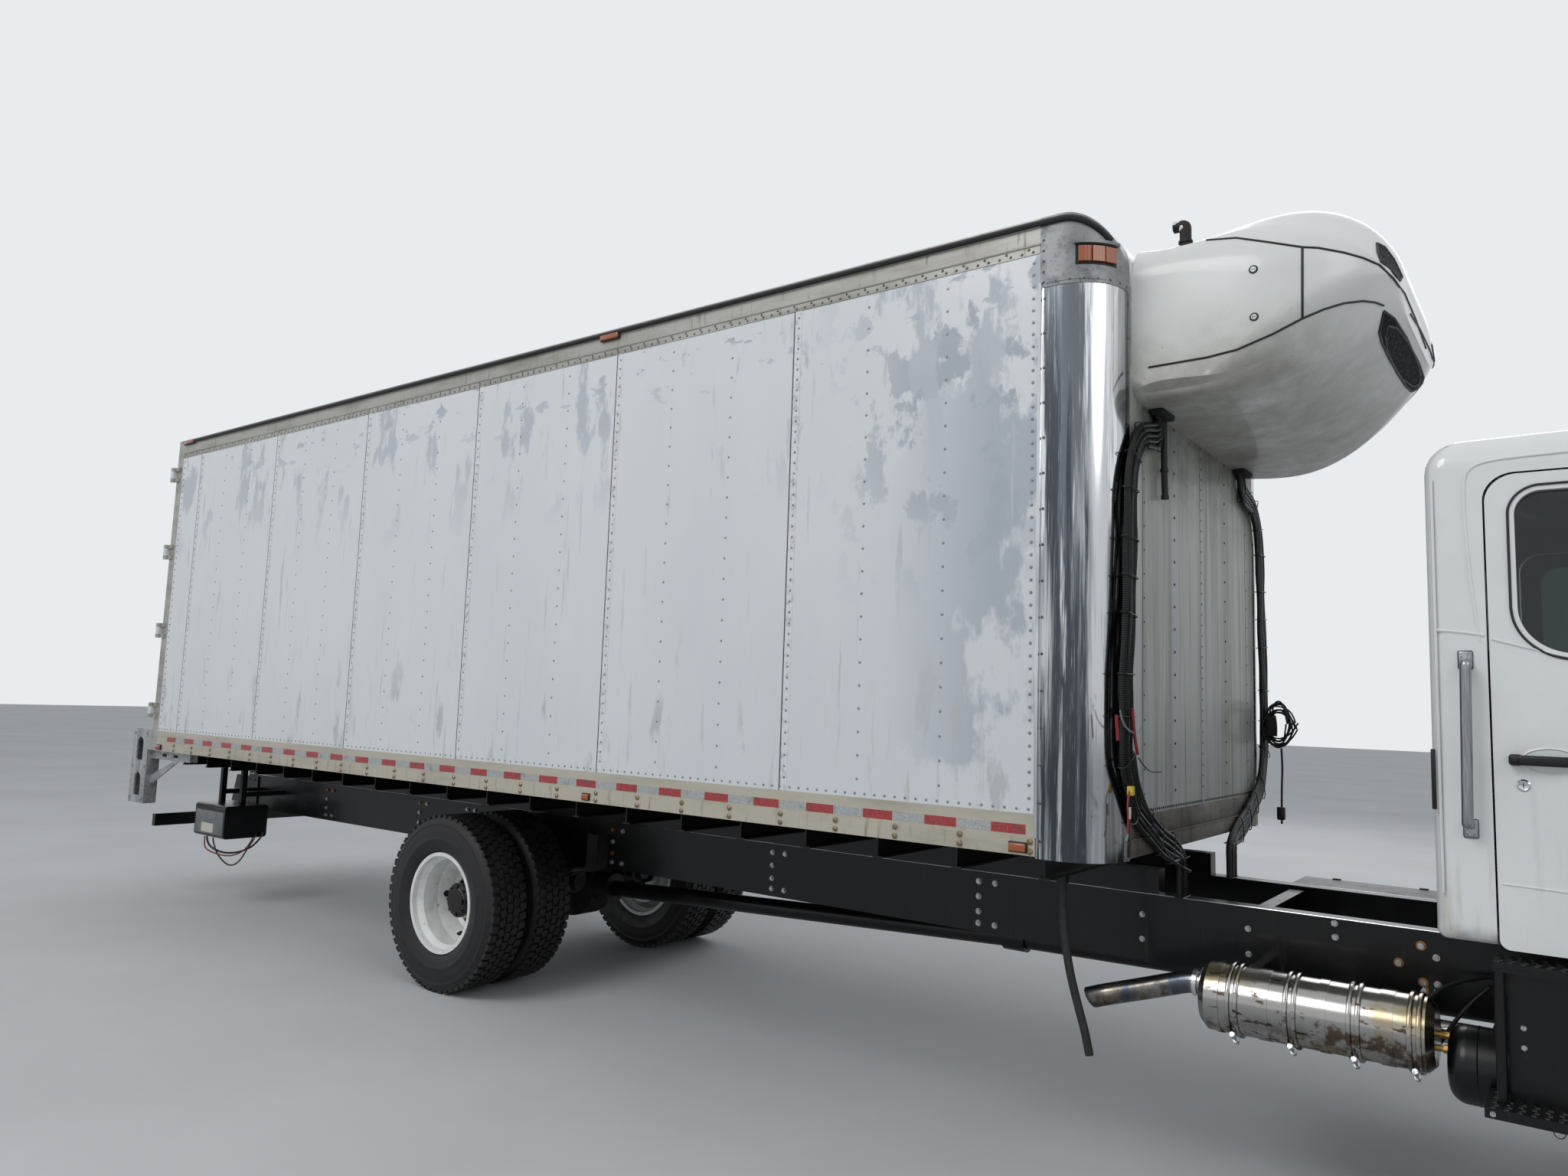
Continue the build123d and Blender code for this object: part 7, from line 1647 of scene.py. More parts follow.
class TRUCK_OT_seats(bpy.types.Operator):
    """Two cloth seats, swollen by simulated pressure, on their bases"""
    bl_idname = "truck.seats"
    bl_label = "Seats"

    def execute(self, context):
        bases = bmesh.new()
        slab(bases, (3.640, -0.700, 1.151), (4.025, -0.260, 1.225), 0.010)
        for i in range(5):
            slab(bases, (3.655 + 0.004 * (i % 2), -0.690, 1.225 + 0.040 * i),
                 (4.010, -0.270, 1.262 + 0.040 * i), 0.014)
        slab(bases, (3.560, -0.715, 1.422), (4.100, -0.245, 1.446), 0.010)
        for y in (-0.735, -0.235):
            slab(bases, (3.590, y - 0.008, 1.440), (3.690, y + 0.008, 1.560), 0.006)
        pair("seat_bases", bases, "black_plastic", replaces=("seats",))
        pads = (  # name, middle, size, lean
            ("seat_cushion", Vector((3.868, -0.480, 1.500)), Vector((0.480, 0.455, 0.090)), 0.0),
            ("seat_back", Vector((3.578, -0.480, 1.800)), Vector((0.080, 0.440, 0.560)), -0.17),
            ("head_rest", Vector((3.520, -0.480, 2.145)), Vector((0.065, 0.260, 0.090)), -0.17),
        )
        for name, middle, size, lean in pads:
            place = Matrix.Translation(middle) @ Matrix.Rotation(lean, 4, "Y")
            for word, side in SIDES:
                bm = bmesh.new()
                slab(bm, -size / 2, size / 2, min(size) * 0.38, 4)
                bmesh.ops.transform(bm, matrix=place, verts=bm.verts[:])
                to_side(bm, side)
                pad = piece("%s_%s" % (name, word), bm, "seat_cloth", angle=80)
                self.swell(context, pad, 0.022)
                self.piping(name, word, side, place, size)
        return {"FINISHED"}

    def piping(self, name, word, side, place, size):
        """Welt along the pad's edge seams."""
        bm = bmesh.new()
        thin = min(range(3), key=lambda i: size[i])
        wide = [i for i in range(3) if i != thin]
        for face in (-1, 1):
            corners = []
            for a, b in ((-1, -1), (1, -1), (1, 1), (-1, 1)):
                corner = Vector((0, 0, 0))
                corner[thin] = face * size[thin] * 0.34
                corner[wide[0]] = a * size[wide[0]] * 0.5
                corner[wide[1]] = b * size[wide[1]] * 0.5
                corners.append(corner)
            loop = []
            for first, second in zip(corners, corners[1:] + corners[:1]):
                loop += [place @ first.lerp(second, share) for share in (0.06, 0.5, 0.94)]
            strands(bm, [closed(loop)], 0.004)
        to_side(bm, side)
        piece("%s_welt_%s" % (name, word), bm, "seat_welt")

    def swell(self, context, pad, cap):
        """Fills a pad with pressure, keeping each point within the cap of its start."""
        remesh = pad.modifiers.new("remesh", "REMESH")
        remesh.mode = "VOXEL"
        remesh.voxel_size = 0.006
        self.settle(context, pad)
        starts = [vertex.co.copy() for vertex in pad.data.vertices]
        cloth = pad.modifiers.new("cloth", "CLOTH")
        cloth.settings.use_pressure = True
        cloth.settings.uniform_pressure_force = 4
        cloth.settings.effector_weights.gravity = 0
        cloth.point_cache.frame_start = 1
        cloth.point_cache.frame_end = 20
        for step in range(1, 21):
            context.scene.frame_set(step)
        self.settle(context, pad)
        context.scene.frame_set(1)
        for vertex, start in zip(pad.data.vertices, starts):
            move = vertex.co - start
            if move.length > cap:
                vertex.co = start + move * (cap / move.length)
        soft = pad.modifiers.new("soft", "SUBSURF")
        soft.levels = soft.render_levels = 1

    def settle(self, context, pad):
        """Keeps what the pad's modifiers make of it, and takes them off."""
        shaped = bpy.data.meshes.new_from_object(pad.evaluated_get(context.evaluated_depsgraph_get()))
        pad.modifiers.clear()
        shaped.name = pad.name
        shaped.shade_smooth()
        pad.data = shaped


class TRUCK_OT_dashboard(bpy.types.Operator):
    """Binnacle with dials, vents, switches and the steering wheel's pad"""
    bl_idname = "truck.dashboard"
    bl_label = "Dashboard"

    def execute(self, context):
        fittings = bmesh.new()
        slab(fittings, (4.430, 0.260, 1.735), (4.640, 0.700, 1.800), 0.022, 3)
        axis = Vector((-0.55, 0, 0.84)).normalized()
        middle = Vector((4.278, 0.480, 1.760))
        turned(fittings, [(-0.030, 0.0), (-0.030, 0.050), (-0.012, 0.082), (0.010, 0.088), (0.022, 0.074),
                          (0.026, 0.0)],
               middle, axis, steps=40)
        for y in (0.375, 0.585):
            strands(fittings, [[middle + Vector((0.14, y - 0.48, -0.10)),
                                middle + Vector((0.13, (y - 0.48) * 1.8, -0.03)),
                            middle + Vector((0.12, (y - 0.48) * 2.6, 0.04))]], 0.007)
        slab(fittings, (4.10, -0.055, 1.150), (4.20, 0.055, 1.260), 0.020, 3)
        strands(fittings, [[(4.15, 0, 1.24), (4.14, 0, 1.45), (4.08, 0, 1.68)]], 0.010)
        stud(fittings, (4.08, 0, 1.665), (-0.2, 0, 1), 0.026, 0.060, tip=0.8, sides=16)
        piece("dash_fittings", fittings, "black_plastic")
        rings = bmesh.new()
        faces = bmesh.new()
        back = Vector((-0.992, 0, -0.124))
        for y, z, radius in ((0.390, 1.640, 0.052), (0.570, 1.640, 0.052), (0.480, 1.590, 0.026),
                             (0.660, 1.600, 0.030), (0.300, 1.600, 0.030), (-0.30, 1.620, 0.036),
                             (-0.70, 1.620, 0.036), (0.10, 1.620, 0.036)):
            place = Vector((4.4135 - (z - 1.6) * 0.125, y, z))
            turned(rings, [(-0.004, radius), (0.006, radius), (0.006, radius - 0.004),
                           (-0.004, radius - 0.004), (-0.004, radius)], place, back, steps=24)
            turned(faces, [(0.001, 0.0), (0.001, radius - 0.003), (-0.002, radius - 0.003), (-0.002, 0.0)],
                   place, back, steps=24)
        piece("dial_rings", rings, "chrome")
        piece("dial_faces", faces, "black_mesh")
        return {"FINISHED"}


class TRUCK_OT_hood(bpy.types.Operator):
    """Creases, latches, vents, lamp bezels and grille mesh of the tilting hood"""
    bl_idname = "truck.hood"
    bl_label = "Hood"

    def execute(self, context):
        shell = surface("hood")
        lines = bmesh.new()
        for y in (0.18, 0.56):
            places = [(x, y * (1 - 0.12 * (x - 4.9)), 2.2) for x in steps_between(4.90, 5.90, 0.10)]
            route = [onto(shell, place, -Z) for place in places]
            strands(lines, [route], 0.005, fine=3)
        arch = []
        for angle in steps_between(*ARCH_TURN, 0.09):
            x, z = ARCH_RADIUS * math.cos(angle), ARCH_RADIUS * math.sin(angle)
            arch.append((FRONT_AXLE_X + x, -1.197, TYRE_RADIUS + z))
        strands(lines, [arch], 0.007, fineness=3, fine=3)
        pair("hood_creases", lines, "cab_enamel", "hood")
        vents = bmesh.new()
        slant = ((0.0, 1.40), (0.020, 1.47), (0.040, 1.54))
        for i in range(7):
            x = 5.02 + 0.050 * i
            strands(vents, [[onto(shell, (x + lean, -1.6, z), Y) for lean, z in slant]], 0.011, fine=3)
        pair("hood_vents", vents, "black_mesh", "hood")
        latches = bmesh.new()
        foot = onto(shell, (4.945, -1.6, 1.170), Y)
        slab(latches, foot + Vector((-0.040, -0.020, -0.028)), foot + Vector((0.045, 0.004, 0.028)), 0.009, 3)
        stud(latches, foot + Vector((-0.020, -0.022, 0)), -Y, 0.014, 0.010, tip=0.8, sides=16)
        pair("hood_latches", latches, "black_plastic", "hood")
        bezels = bmesh.new()
        dark = bmesh.new()
        ambers = bmesh.new()
        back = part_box("headlamps")[1].x - 0.030
        slab(dark, (back - 0.002, -1.086, 0.954), (back + 0.012, -0.794, 1.126), 0.006)
        for y in (-0.885, -1.000):
            turned(bezels, [(0.012, 0.048), (0.0285, 0.053), (0.0285, 0.049), (0.014, 0.044), (0.012, 0.0)],
                   (back, y, 1.045), X, steps=32)
        slab(ambers, (back + 0.004, -1.072, 0.964), (back + 0.0288, -0.808, 0.985), 0.003)
        pairs((("lamp_housings", dark, "grey_plastic", "black_plastic"),
               ("lamp_reflectors", bezels, "chrome", "chrome"),
               ("turn_lamps", ambers, "lamp_lens", "amber_lens")), "hood")
        glow = bmesh.new()
        foot = onto(shell, (5.10, -1.10, 2.0), -Z)
        slab(glow, foot + Vector((-0.045, -0.020, -0.004)), foot + Vector((0.045, 0.020, 0.020)), 0.008, 3)
        pair("fender_lamps", glow, "amber_lens", "hood")
        mesh = bmesh.new()
        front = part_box("grille")[1].x
        slab(mesh, (front - 0.027, -0.515, 0.990), (front - 0.0225, 0.515, 1.295))
        piece("grille_mesh", mesh, "black_mesh", "hood")
        return {"FINISHED"}


class TRUCK_OT_running_gear(bpy.types.Operator):
    """Bolts of the frame, spring clips, brake chambers, shock absorbers and air lines"""
    bl_idname = "truck.running_gear"
    bl_label = "Running gear"

    def execute(self, context):
        bright = bmesh.new()
        tinted = bmesh.new()
        chance = random.Random(11)
        for x in FRAME_JOINTS:
            for dx, z in ((0.0, 0.975), (0.0, 0.905), (0.0, 0.835), (0.0, 0.780), (0.085, 0.975),
                          (0.085, 0.780)):
                bm = tinted if chance.random() < 0.2 else bright
                stud(bm, (x + dx, FRAME_WEB, z), OUT, 0.0145, 0.003, sides=14)
                stud(bm, (x + dx, FRAME_WEB - 0.003, z), OUT, 0.0115, 0.009, tip=0.94, sides=6)
        for bm, pixels, radius in ((bright, BRIGHT_BOLTS, 0.0125), (tinted, COPPERED_BOLTS, 0.0175)):
            for place in on_side(pixels, -FRAME_WEB):
                stud(bm, place, OUT, radius, 0.003, sides=18)
                stud(bright, place + OUT * 0.003, OUT, radius * 0.72, 0.010, tip=0.94, sides=6)
        pair("frame_bolts", bright, "bright_bolt")
        pair("coppered_bolts", tinted, "copper_bolt")
        # A thin bright steel line along the rail's top outer edge: a painted highlight.
        edge = bmesh.new()
        y, z = FRAME_WEB - 0.0006, 1.0238
        strands(edge, [[(BOX_REAR + 0.12, y, z), (5.94, y, z)]], 0.0022, fineness=1)
        pair("frame_edges", edge, "bright_steel")
        clips = bmesh.new()
        for x, y, low, high in ((REAR_AXLE_X, REAR_SPRING_Y, 0.440, 0.672),
                                (FRONT_AXLE_X, FRONT_SPRING_Y, 0.385, 0.572)):
            bend = high + 0.010
            hoop = ((-0.046, low), (-0.046, high), (-0.044, bend), (0, bend), (0.044, bend), (0.046, high),
                    (0.046, low))
            for dx in (-0.075, 0.075):
                strands(clips, [[(x + dx, y + dy, z) for dy, z in hoop]], 0.009, fineness=3, fine=4)
            slab(clips, (x - 0.11, y - 0.060, low - 0.004), (x + 0.11, y + 0.060, low + 0.014), 0.004)
        pair("spring_clips", clips, "oily_iron")
        leaves = bmesh.new()
        for x, y, seat, reach, rise in ((REAR_AXLE_X, REAR_SPRING_Y, 0.592, 0.66, 0.739),
                                        (FRONT_AXLE_X, FRONT_SPRING_Y, 0.490, 0.61, 0.679)):
            for share in (0.25, 0.5, 0.75):
                end = reach * (1 - 0.35 * share)
                end_z = rise + 0.022 * share - (rise - seat) * 0.35 * share
                sag = seat + 0.070 * share
                for dy in (-0.0385, 0.0385):
                    line = ((-end, end_z), (-0.12, sag), (0.12, sag), (end, end_z))
                    strands(leaves, [[(x + dx, y + dy, z) for dx, z in line]], 0.0022, fineness=1, fine=2)
        pair("leaf_edges", leaves, "bright_bolt")
        pots = bmesh.new()
        x, y = REAR_AXLE_X, -0.300
        turned(pots, [(-0.150, 0.0), (-0.150, 0.055), (-0.128, 0.074), (-0.070, 0.078), (-0.066, 0.084),
                      (-0.058, 0.084), (-0.054, 0.078), (0.0, 0.076), (0.006, 0.082), (0.014, 0.082),
                      (0.018, 0.066), (0.060, 0.052), (0.060, 0.0)], (x + 0.250, y, 0.600), X, steps=28)
        strands(pots, [[(x + 0.30, y, 0.600), (x + 0.16, y - 0.02, 0.590), (x + 0.06, y - 0.10, 0.560)]],
                0.012)
        slab(pots, (x + 0.02, y - 0.03, 0.520), (x + 0.26, y + 0.03, 0.534), 0.004)
        for x, y, low in ((REAR_AXLE_X - 0.20, -0.385, 0.560), (FRONT_AXLE_X - 0.15, -0.350, 0.470)):
            foot, top = Vector((x, y, low)), Vector((x - 0.10, y, 0.900))
            run = top - foot
            stud(pots, foot, run, 0.026, run.length * 0.55, sides=18)
            stud(pots, foot + run * 0.50, run, 0.033, run.length * 0.48, sides=18)
        pair("brake_chambers", pots, "chassis_paint")
        hoses = bmesh.new()
        line = ((0.17, -0.30, 0.66), (0.22, -0.28, 0.78), (0.42, -0.25, 0.84), (0.70, -0.33, 0.90))
        strands(hoses, [[(REAR_AXLE_X + dx, y, z) for dx, y, z in line]], 0.008, fine=8)
        pair("air_lines", hoses, "cable_rubber")
        return {"FINISHED"}


class TRUCK_OT_exhaust(bpy.types.Operator):
    """Stepped bands and clamps with their bolts along the canister"""
    bl_idname = "truck.exhaust"
    bl_label = "Exhaust"

    def execute(self, context):
        y, z, radius = -0.800, 0.735, 0.125
        bands = bmesh.new()
        bolts = bmesh.new()
        for x, wide, out in ((2.640, 0.020, 0.0035), (2.800, 0.045, 0.0030), (3.000, 0.030, 0.0030),
                             (3.200, 0.045, 0.0030)):
            hoop(bands, (x - wide / 2, y, z), X, radius - 0.004, radius + out, 0, wide, 56)
        down = Vector((0, -0.52, -0.854)).normalized()
        along = Vector((0, -0.854, 0.52)).normalized()
        for x in (2.698, 2.896, 3.101, 3.286):
            for lane in (-0.014, 0.014):
                turned(bands, [(0, radius - 0.002), (0.003, radius + 0.009), (0.006, radius + 0.011),
                               (0.014, radius + 0.011), (0.017, radius + 0.009), (0.020, radius - 0.002)],
                               (x + lane - 0.010, y, z), X, steps=56)
            middle = Vector((x, y, z)) + down * (radius + 0.020)
            stud(bolts, middle - along * 0.040, along, 0.0055, 0.080, sides=10)
            for end in (-1, 1):
                stud(bolts, middle + along * 0.022 * end, along * end, 0.010, 0.012, sides=12)
                stud(bolts, middle + along * 0.034 * end, along * end, 0.0095, 0.008, sides=6)
        piece("canister_bands", bands, "heat_tinted")
        piece("clamp_bolts", bolts, "bright_bolt")
        tip = bmesh.new()
        start = Vector((2.573, y, z + 0.036))
        hoop(tip, start - X * 0.040, X, 0.0425, 0.050, 0, 0.016, 32)
        hoop(tip, start - X * 0.006, X, 0.0425, 0.062, 0, 0.006, 32)
        piece("tail_clamp", tip, "bright_steel")
        return {"FINISHED"}


class TRUCK_OT_tanks(bpy.types.Operator):
    """Straps, weld beads, fittings and lines of the tanks, and the battery box's lid"""
    bl_idname = "truck.tanks"
    bl_label = "Tanks and boxes"

    def execute(self, context):
        low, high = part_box("air_tank")
        y, z, radius = -0.770, 0.655, 0.128
        beads = bmesh.new()
        for x in (low.x + 0.085, high.x - 0.095):
            turned(beads, [(0, radius - 0.002), (0.004, radius + 0.0022), (0.008, radius - 0.002)], (x, y, z),
                   X, steps=48)
        for x in (low.x + 0.150, high.x - 0.150):
            hoop(beads, (x - 0.019, y, z), X, radius - 0.002, radius + 0.0035, 0, 0.038, 48)
        piece("air_tank_straps", beads, "chassis_paint")
        brass = bmesh.new()
        for dy, dz in ((0.02, 0.075), (-0.045, 0.045)):
            foot = Vector((low.x + 0.008, y + dy, z + dz))
            stud(brass, foot, -X, 0.015, 0.020, sides=6)
            stud(brass, foot - X * 0.020, -X, 0.011, 0.018, sides=16)
        stud(brass, (low.x + 0.30, y, z - radius + 0.004), -Z, 0.012, 0.026, sides=6)
        piece("brass_fittings", brass, "brass")
        lines = bmesh.new()
        strands(lines, [
            [(low.x - 0.030, y + 0.02, z + 0.075), (low.x - 0.075, y + 0.03, z + 0.080),
             (low.x - 0.090, y + 0.12, z + 0.160), (low.x + 0.020, y + 0.26, z + 0.230),
             (low.x + 0.140, y + 0.328, z + 0.245)],
            [(low.x - 0.030, y - 0.045, z + 0.045), (low.x - 0.085, y - 0.045, z + 0.030),
             (low.x - 0.105, y + 0.03, z - 0.060), (low.x - 0.060, y + 0.17, z - 0.020),
             (low.x + 0.020, y + 0.30, z + 0.120), (low.x + 0.10, y + 0.328, z + 0.200)],
        ], 0.0075, fineness=3, fine=10)
        eye = [(low.x + 0.30 + dx, y, z - radius - 0.036 + dz) for dx, dz in circle(0.016, 0.6)]
        strands(lines, [eye], 0.0016, fine=3)
        piece("tank_lines", lines, "cable_rubber")
        low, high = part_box("fuel_tank")
        straps = bmesh.new()
        grown = rounded([(0.459, 0.447), (0.897, 0.447), (0.897, 1.003), (0.459, 1.003)], [0.083] * 4, 8)
        for x in (3.728, 4.213):
            prism(straps, [(x - 0.025, py, pz) for py, pz in grown], (0.050, 0, 0), 0.0015)
            stud(straps, (x, 0.899, 0.50), Y, 0.010, 0.014, sides=6)
        cap = Vector((4.243, 0.864, 1.040))
        turned(straps, [(-0.010, 0.0), (-0.010, 0.046), (0.016, 0.046), (0.020, 0.041), (0.021, 0.0)], cap,
               Vector((0, 0.60, 0.80)), steps=28)
        piece("tank_straps", straps, "bright_steel")
        ends = bmesh.new()
        for x in (low.x, high.x):
            out = rounded([(0.470, 0.458), (0.886, 0.458), (0.886, 0.992), (0.470, 0.992)], [0.075] * 4, 8)
            strands(ends, [[(x, py, pz) for py, pz in closed(out)]], 0.0045, fine=2)
        piece("tank_seams", ends, "tank_aluminium")
        box = bmesh.new()
        low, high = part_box("battery_box")
        slab(box, (low.x - 0.003, 0.498, 0.935), (high.x + 0.003, high.y + 0.003, 0.983), 0.004)
        for x in (low.x + 0.15, high.x - 0.15):
            slab(box, (x - 0.020, high.y - 0.012, 0.840), (x + 0.020, high.y + 0.008, 0.990), 0.004)
            slab(box, (x - 0.014, high.y - 0.004, 0.880), (x + 0.014, high.y + 0.014, 0.925), 0.004)
        for i in range(6):
            x = low.x + 0.07 + 0.11 * i
            slab(box, (x - 0.012, high.y - 0.006, 0.600), (x + 0.012, high.y + 0.006, 0.830), 0.004)
        piece("battery_lid", box, "black_plastic")
        return {"FINISHED"}


class TRUCK_OT_steps(bpy.types.Operator):
    """Raised rings of the perforated treads, bolts of the riser, both sides"""
    bl_idname = "truck.steps"
    bl_label = "Entry steps"

    def execute(self, context):
        rings = bmesh.new()
        # The treads' holes and slots are dark discs and strips: painted shade of the openings.
        holes = bmesh.new()
        treads = ((3.540, 4.386, -1.067, -0.961, 1.060), (3.520, 4.380, -1.125, -0.925, 0.630))
        for x0, x1, y0, y1, z in treads:
            for row, y in enumerate(steps_between(y0, y1, 0.027)):
                for x in steps_between(x0 + 0.007 * (row % 2), x1 - 0.007 * (1 - row % 2), 0.034):
                    stud(rings, (x, y, z - 0.0005), Z, 0.0105, 0.0032, tip=0.8, sides=8)
                    stud(holes, (x, y, z + 0.0022), Z, 0.0066, 0.0008, sides=6)
        bolts = bmesh.new()
        for x, y, z in ((3.600, -1.020, 0.86), (3.600, -1.020, 0.80), (4.360, -1.020, 0.86),
                        (4.360, -1.020, 0.80), (3.520, -1.139, 0.615), (4.385, -1.139, 0.615)):
            stud(bolts, (x, y, z), -Y, 0.0095, 0.007, tip=0.92, sides=6)
        lips = bmesh.new()
        for x in steps_between(3.545, 4.350, 0.060):
            slab(lips, (x - 0.018, -1.1400 + 0.0004, 0.609), (x + 0.018, -1.1380, 0.621), 0.0008, 1)
            slab(lips, (x - 0.016, -1.0796, 1.0385), (x + 0.016, -1.0780, 1.0505), 0.0007, 1)
        pairs((("tread_rings", rings, "black_paint", "chassis_paint"),
               ("tread_holes", holes, "grey_plastic", "hollow_black"),
               ("tread_slots", lips, "grey_plastic", "hollow_black"),
               ("step_bolts", bolts, "stainless", "bright_bolt")))
        return {"FINISHED"}


class TRUCK_OT_rear_end(bpy.types.Operator):
    """Door gaskets, keepers, grips, tail lamps, bare plate, post bolts and the power pack's fittings"""
    bl_idname = "truck.rear_end"
    bl_label = "Rear end"

    def execute(self, context):
        for word, side in SIDES:
            self.leaf(word, side)
        self.lamps()
        self.posts()
        self.pack()
        return {"FINISHED"}

    def leaf(self, word, side):
        """Gasket, rivets, cams and grip of one door leaf."""
        x = BOX_REAR
        y0, y1, z0, z1 = -1.111, -0.010, 1.418, 3.682
        gasket = bmesh.new()
        wide = 0.024
        for low, high in (((y0, z0), (y1, z0 + wide)), ((y1 - wide, z0), (y1, z1)),
                          ((y0, z1 - wide), (y1, z1)), ((y0, z0), (y0 + wide, z1))):
            slab(gasket, (x - 0.005, *low), (x + 0.001, *high), 0.002)
        rivets = bmesh.new()
        for y in (y0 + 0.045, y1 - 0.045, (y0 + y1) / 2):
            for z in steps_between(z0 + 0.06, z1 - 0.06, 0.1016):
                rivet(rivets, (x, y, z), -X)
        grips = bmesh.new()
        cams = bmesh.new()
        for y, tip in ((-0.250, -0.474), (-0.800, -0.690)):
            slab(grips, (x - 0.037, tip, 1.990), (x - 0.011, tip + 0.114, 2.036), 0.008, 3)
            for z in (1.440, 3.640):
                slab(cams, (x - 0.042, y - 0.045, z - 0.018), (x - 0.003, y + 0.045, z + 0.018), 0.006)
            for z in (1.458, 2.078, 2.938, 3.582):
                for dz in (0.012, 0.048):
                    for dy in (-0.022, 0.022):
                        stud(cams, (x - 0.034, y + dy, z + dz), -X, 0.006, 0.004, tip=0.8, sides=8)
        for z in (1.560, 2.220, 2.880, 3.540):
            for y in (y0 + 0.035, y0 + 0.085):
                for dz in (0.014, -0.014):
                    stud(cams, (x - 0.019, y, z + dz), -X, 0.007, 0.004, tip=0.9, sides=6)
        one_side(word, side, "rear_door_" + word, (("door_gasket", gasket, "grey_plastic", "seal_rubber"),
                                                   ("door_rivets", rivets, "white_sheet", "dull_rivet"),
                                                   ("lock_grips", grips, "grey_plastic", "black_plastic"),
                                                   ("lock_cams", cams, "galvanised", "zinc")))

    def lamps(self):
        """Tail and reversing lamps in their rims, and the bare number plate."""
        red, clear, rims = bmesh.new(), bmesh.new(), bmesh.new()
        for y, bm in ((-0.980, red), (-0.840, red), (-0.700, clear)):
            foot = Vector((BOX_REAR - 0.012, y, 1.297))
            turned(rims, [(0, 0.058), (0.006, 0.058), (0.008, 0.052), (0.0, 0.050)], foot, -X, steps=32)
            turned(bm, [(0.0, 0.051), (0.010, 0.051), (0.018, 0.042), (0.021, 0.0)], foot, -X, steps=32)
        plate = bmesh.new()
        slab(plate, (-5.9345, -0.148, 0.698), (-5.9322, 0.148, 0.838), 0.001, 1)
        pairs((("tail_lamps", red, "lamp_lens", "red_lens"),
               ("reverse_lamps", clear, "clear_lens", "clear_lens"),
               ("lamp_rims", rims, "grey_plastic", "seal_rubber")))
        piece("bare_plate", plate, "dull_rivet")

    def posts(self):
        """Bolts of the step posts, pocket rims and the bracket beam's oval slots."""
        bolts, slots, rims = bmesh.new(), bmesh.new(), bmesh.new()
        face = -HALF_WIDTH
        for x in (-6.045, -5.820):
            for z in (0.830, 1.090, 1.365):
                stud(bolts, (x, face, z), -Y, 0.012, 0.008, tip=0.92, sides=6)
        for z in (0.945, 1.235):
            pocket = rounded([(-5.994, z - 0.097), (-5.870, z - 0.097), (-5.870, z + 0.097),
                              (-5.994, z + 0.097)],
                             [0.012, 0.012, 0.057, 0.057])
            strands(rims, [[(px, face + 0.001, pz) for px, pz in closed(pocket)]], 0.0035, fine=2)
        # The oval slots are dark strips: painted shade of the openings.
        for x in (-5.560, -5.360):
            strands(slots, [[(x - 0.035, -1.1806, 1.196), (x + 0.035, -1.1806, 1.196)]], 0.0125, fineness=3)
        bmesh.ops.scale(slots, vec=(1, 0.06, 1), verts=slots.verts[:],
                        space=Matrix.Translation((0, 1.1806, 0)))
        pairs((("post_bolts", bolts, "galvanised", "bright_bolt"),
               ("pocket_rims", rims, "galvanised", "zinc"),
               ("bracket_slots", slots, "grey_plastic", "hollow_black")))

    def pack(self):
        """Front cover, blank plate and wire loops of the power pack."""
        x0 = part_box("power_pack")[0].x
        cover = bmesh.new()
        slab(cover, (x0 + 0.020, PACK_FACE - 0.0035, 0.580), (x0 + 0.480, PACK_FACE + 0.002, 0.765), 0.003)
        piece("pack_cover", cover, "grey_cover")
        (left, _, high), (right, _, low) = on_side(PACK_PLATE, -PACK_FACE)
        plate = bmesh.new()
        slab(plate, (left, PACK_FACE - 0.0048, low), (right, PACK_FACE - 0.0030, high), 0.0008, 1)
        piece("pack_plate", plate, "pale_tag")
        for name, coat, radius, places in PACK_WIRES:
            route = [on_side([(px, py)], across)[0] for px, py, across in places]
            wires = bmesh.new()
            strands(wires, [[route[0] + Z * 0.025] + route + [route[-1] + Z * 0.025]], radius, fine=8)
            piece(name, wires, coat)


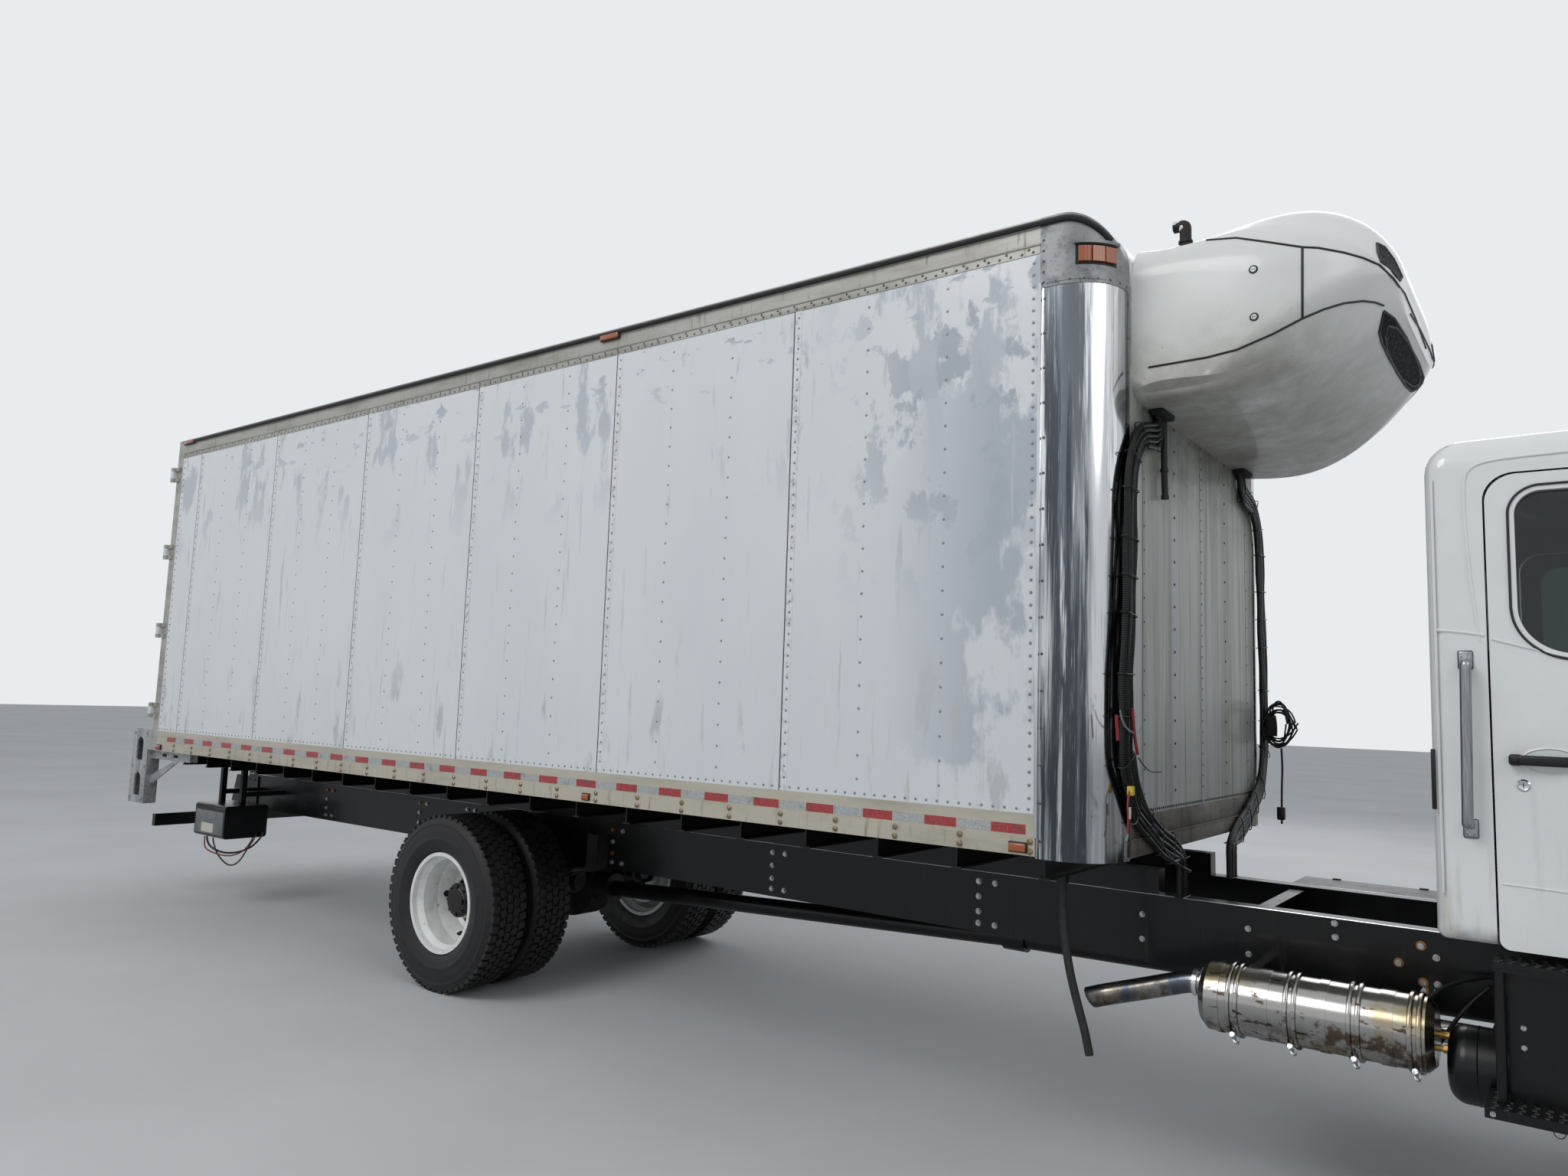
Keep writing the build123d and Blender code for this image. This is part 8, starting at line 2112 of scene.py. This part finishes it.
class TRUCK_OT_load_space(bpy.types.Operator):
    """Floor ribs, scuff rails, air outlet's grille and lamps inside the box"""
    bl_idname = "truck.load_space"
    bl_label = "Load space"

    def execute(self, context):
        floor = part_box("box_floor")[1].z
        ribs = bmesh.new()
        for y in steps_between(-1.120, 1.120, 0.040):
            slab(ribs, (BOX_REAR + 0.115, y - 0.006, floor), (BOX_FRONT - 0.110, y + 0.006, floor + 0.005))
        piece("floor_ribs", ribs, "floor_aluminium")
        scuffs = bmesh.new()
        for z in (floor + 0.010, floor + 0.30):
            slab(scuffs, (BOX_REAR + 0.115, -1.1435, z), (BOX_FRONT - 0.300, -1.1340, z + 0.200), 0.002, 1)
        pair("scuff_rails", scuffs, "floor_aluminium")
        low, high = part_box("evaporator")
        fans = bmesh.new()
        for y in (-0.42, 0.42):
            for radius in (0.06, 0.10, 0.135):
                turned(fans, [(0, radius), (0.005, radius), (0.005, radius - 0.004), (0, radius - 0.004),
                              (0, radius)],
                       (low.x + 0.09, y, low.z + 0.115), Vector((-0.75, 0, -0.66)), steps=36)
        piece("fan_guards", fans, "bright_steel")
        lamps = bmesh.new()
        for x in (-4.2, -1.6, 1.0):
            slab(lamps, (x - 0.30, -0.035, high.z - 0.022), (x + 0.30, 0.035, high.z), 0.008)
        piece("ceiling_lamps", lamps, "clear_lens")
        return {"FINISHED"}


class TRUCK_PT_sidebar(bpy.types.Panel):
    """Lists the truck's sizes, colours and pieces"""
    bl_idname = "TRUCK_PT_sidebar"
    bl_label = "Refrigerated truck"
    bl_space_type = "VIEW_3D"
    bl_region_type = "UI"
    bl_category = "Truck"

    def draw(self, context):
        for name in GROUPS:
            box = self.layout.box()
            group = getattr(context.scene, name)
            for prop in group.bl_rna.properties:
                if prop.identifier not in ("rna_type", "name"):
                    box.prop(group, prop.identifier)
        for operator in OPERATORS:
            self.layout.operator(operator.bl_idname)


GROUPS = {
    "truck_paints": TruckPaints, "truck_fasteners": TruckFasteners, "truck_trim": TruckTrim,
    "truck_tyres": TruckTyres, "truck_cables": TruckCables, "truck_stage": TruckStage,
}
OPERATORS = (
    TRUCK_OT_stage, TRUCK_OT_hose, TRUCK_OT_finishes, TRUCK_OT_sheets, TRUCK_OT_rails, TRUCK_OT_corners,
    TRUCK_OT_front_wall, TRUCK_OT_tyres, TRUCK_OT_wheels, TRUCK_OT_lamps, TRUCK_OT_cables, TRUCK_OT_unit,
    TRUCK_OT_cab, TRUCK_OT_seats, TRUCK_OT_dashboard, TRUCK_OT_hood, TRUCK_OT_running_gear, TRUCK_OT_exhaust,
    TRUCK_OT_tanks, TRUCK_OT_steps, TRUCK_OT_rear_end, TRUCK_OT_load_space,
)


def register():
    for name, group in GROUPS.items():
        bpy.utils.register_class(group)
        setattr(bpy.types.Scene, name, bpy.props.PointerProperty(type=group))
    for operator in OPERATORS:
        bpy.utils.register_class(operator)
    bpy.utils.register_class(TRUCK_PT_sidebar)


def unregister():
    bpy.utils.unregister_class(TRUCK_PT_sidebar)
    for operator in reversed(OPERATORS):
        bpy.utils.unregister_class(operator)
    for name, group in GROUPS.items():
        delattr(bpy.types.Scene, name)
        bpy.utils.unregister_class(group)


def main():
    register()
    for operator in OPERATORS:
        group, name = operator.bl_idname.split(".")
        getattr(getattr(bpy.ops, group), name)()


if __name__ == "__main__":
    main()
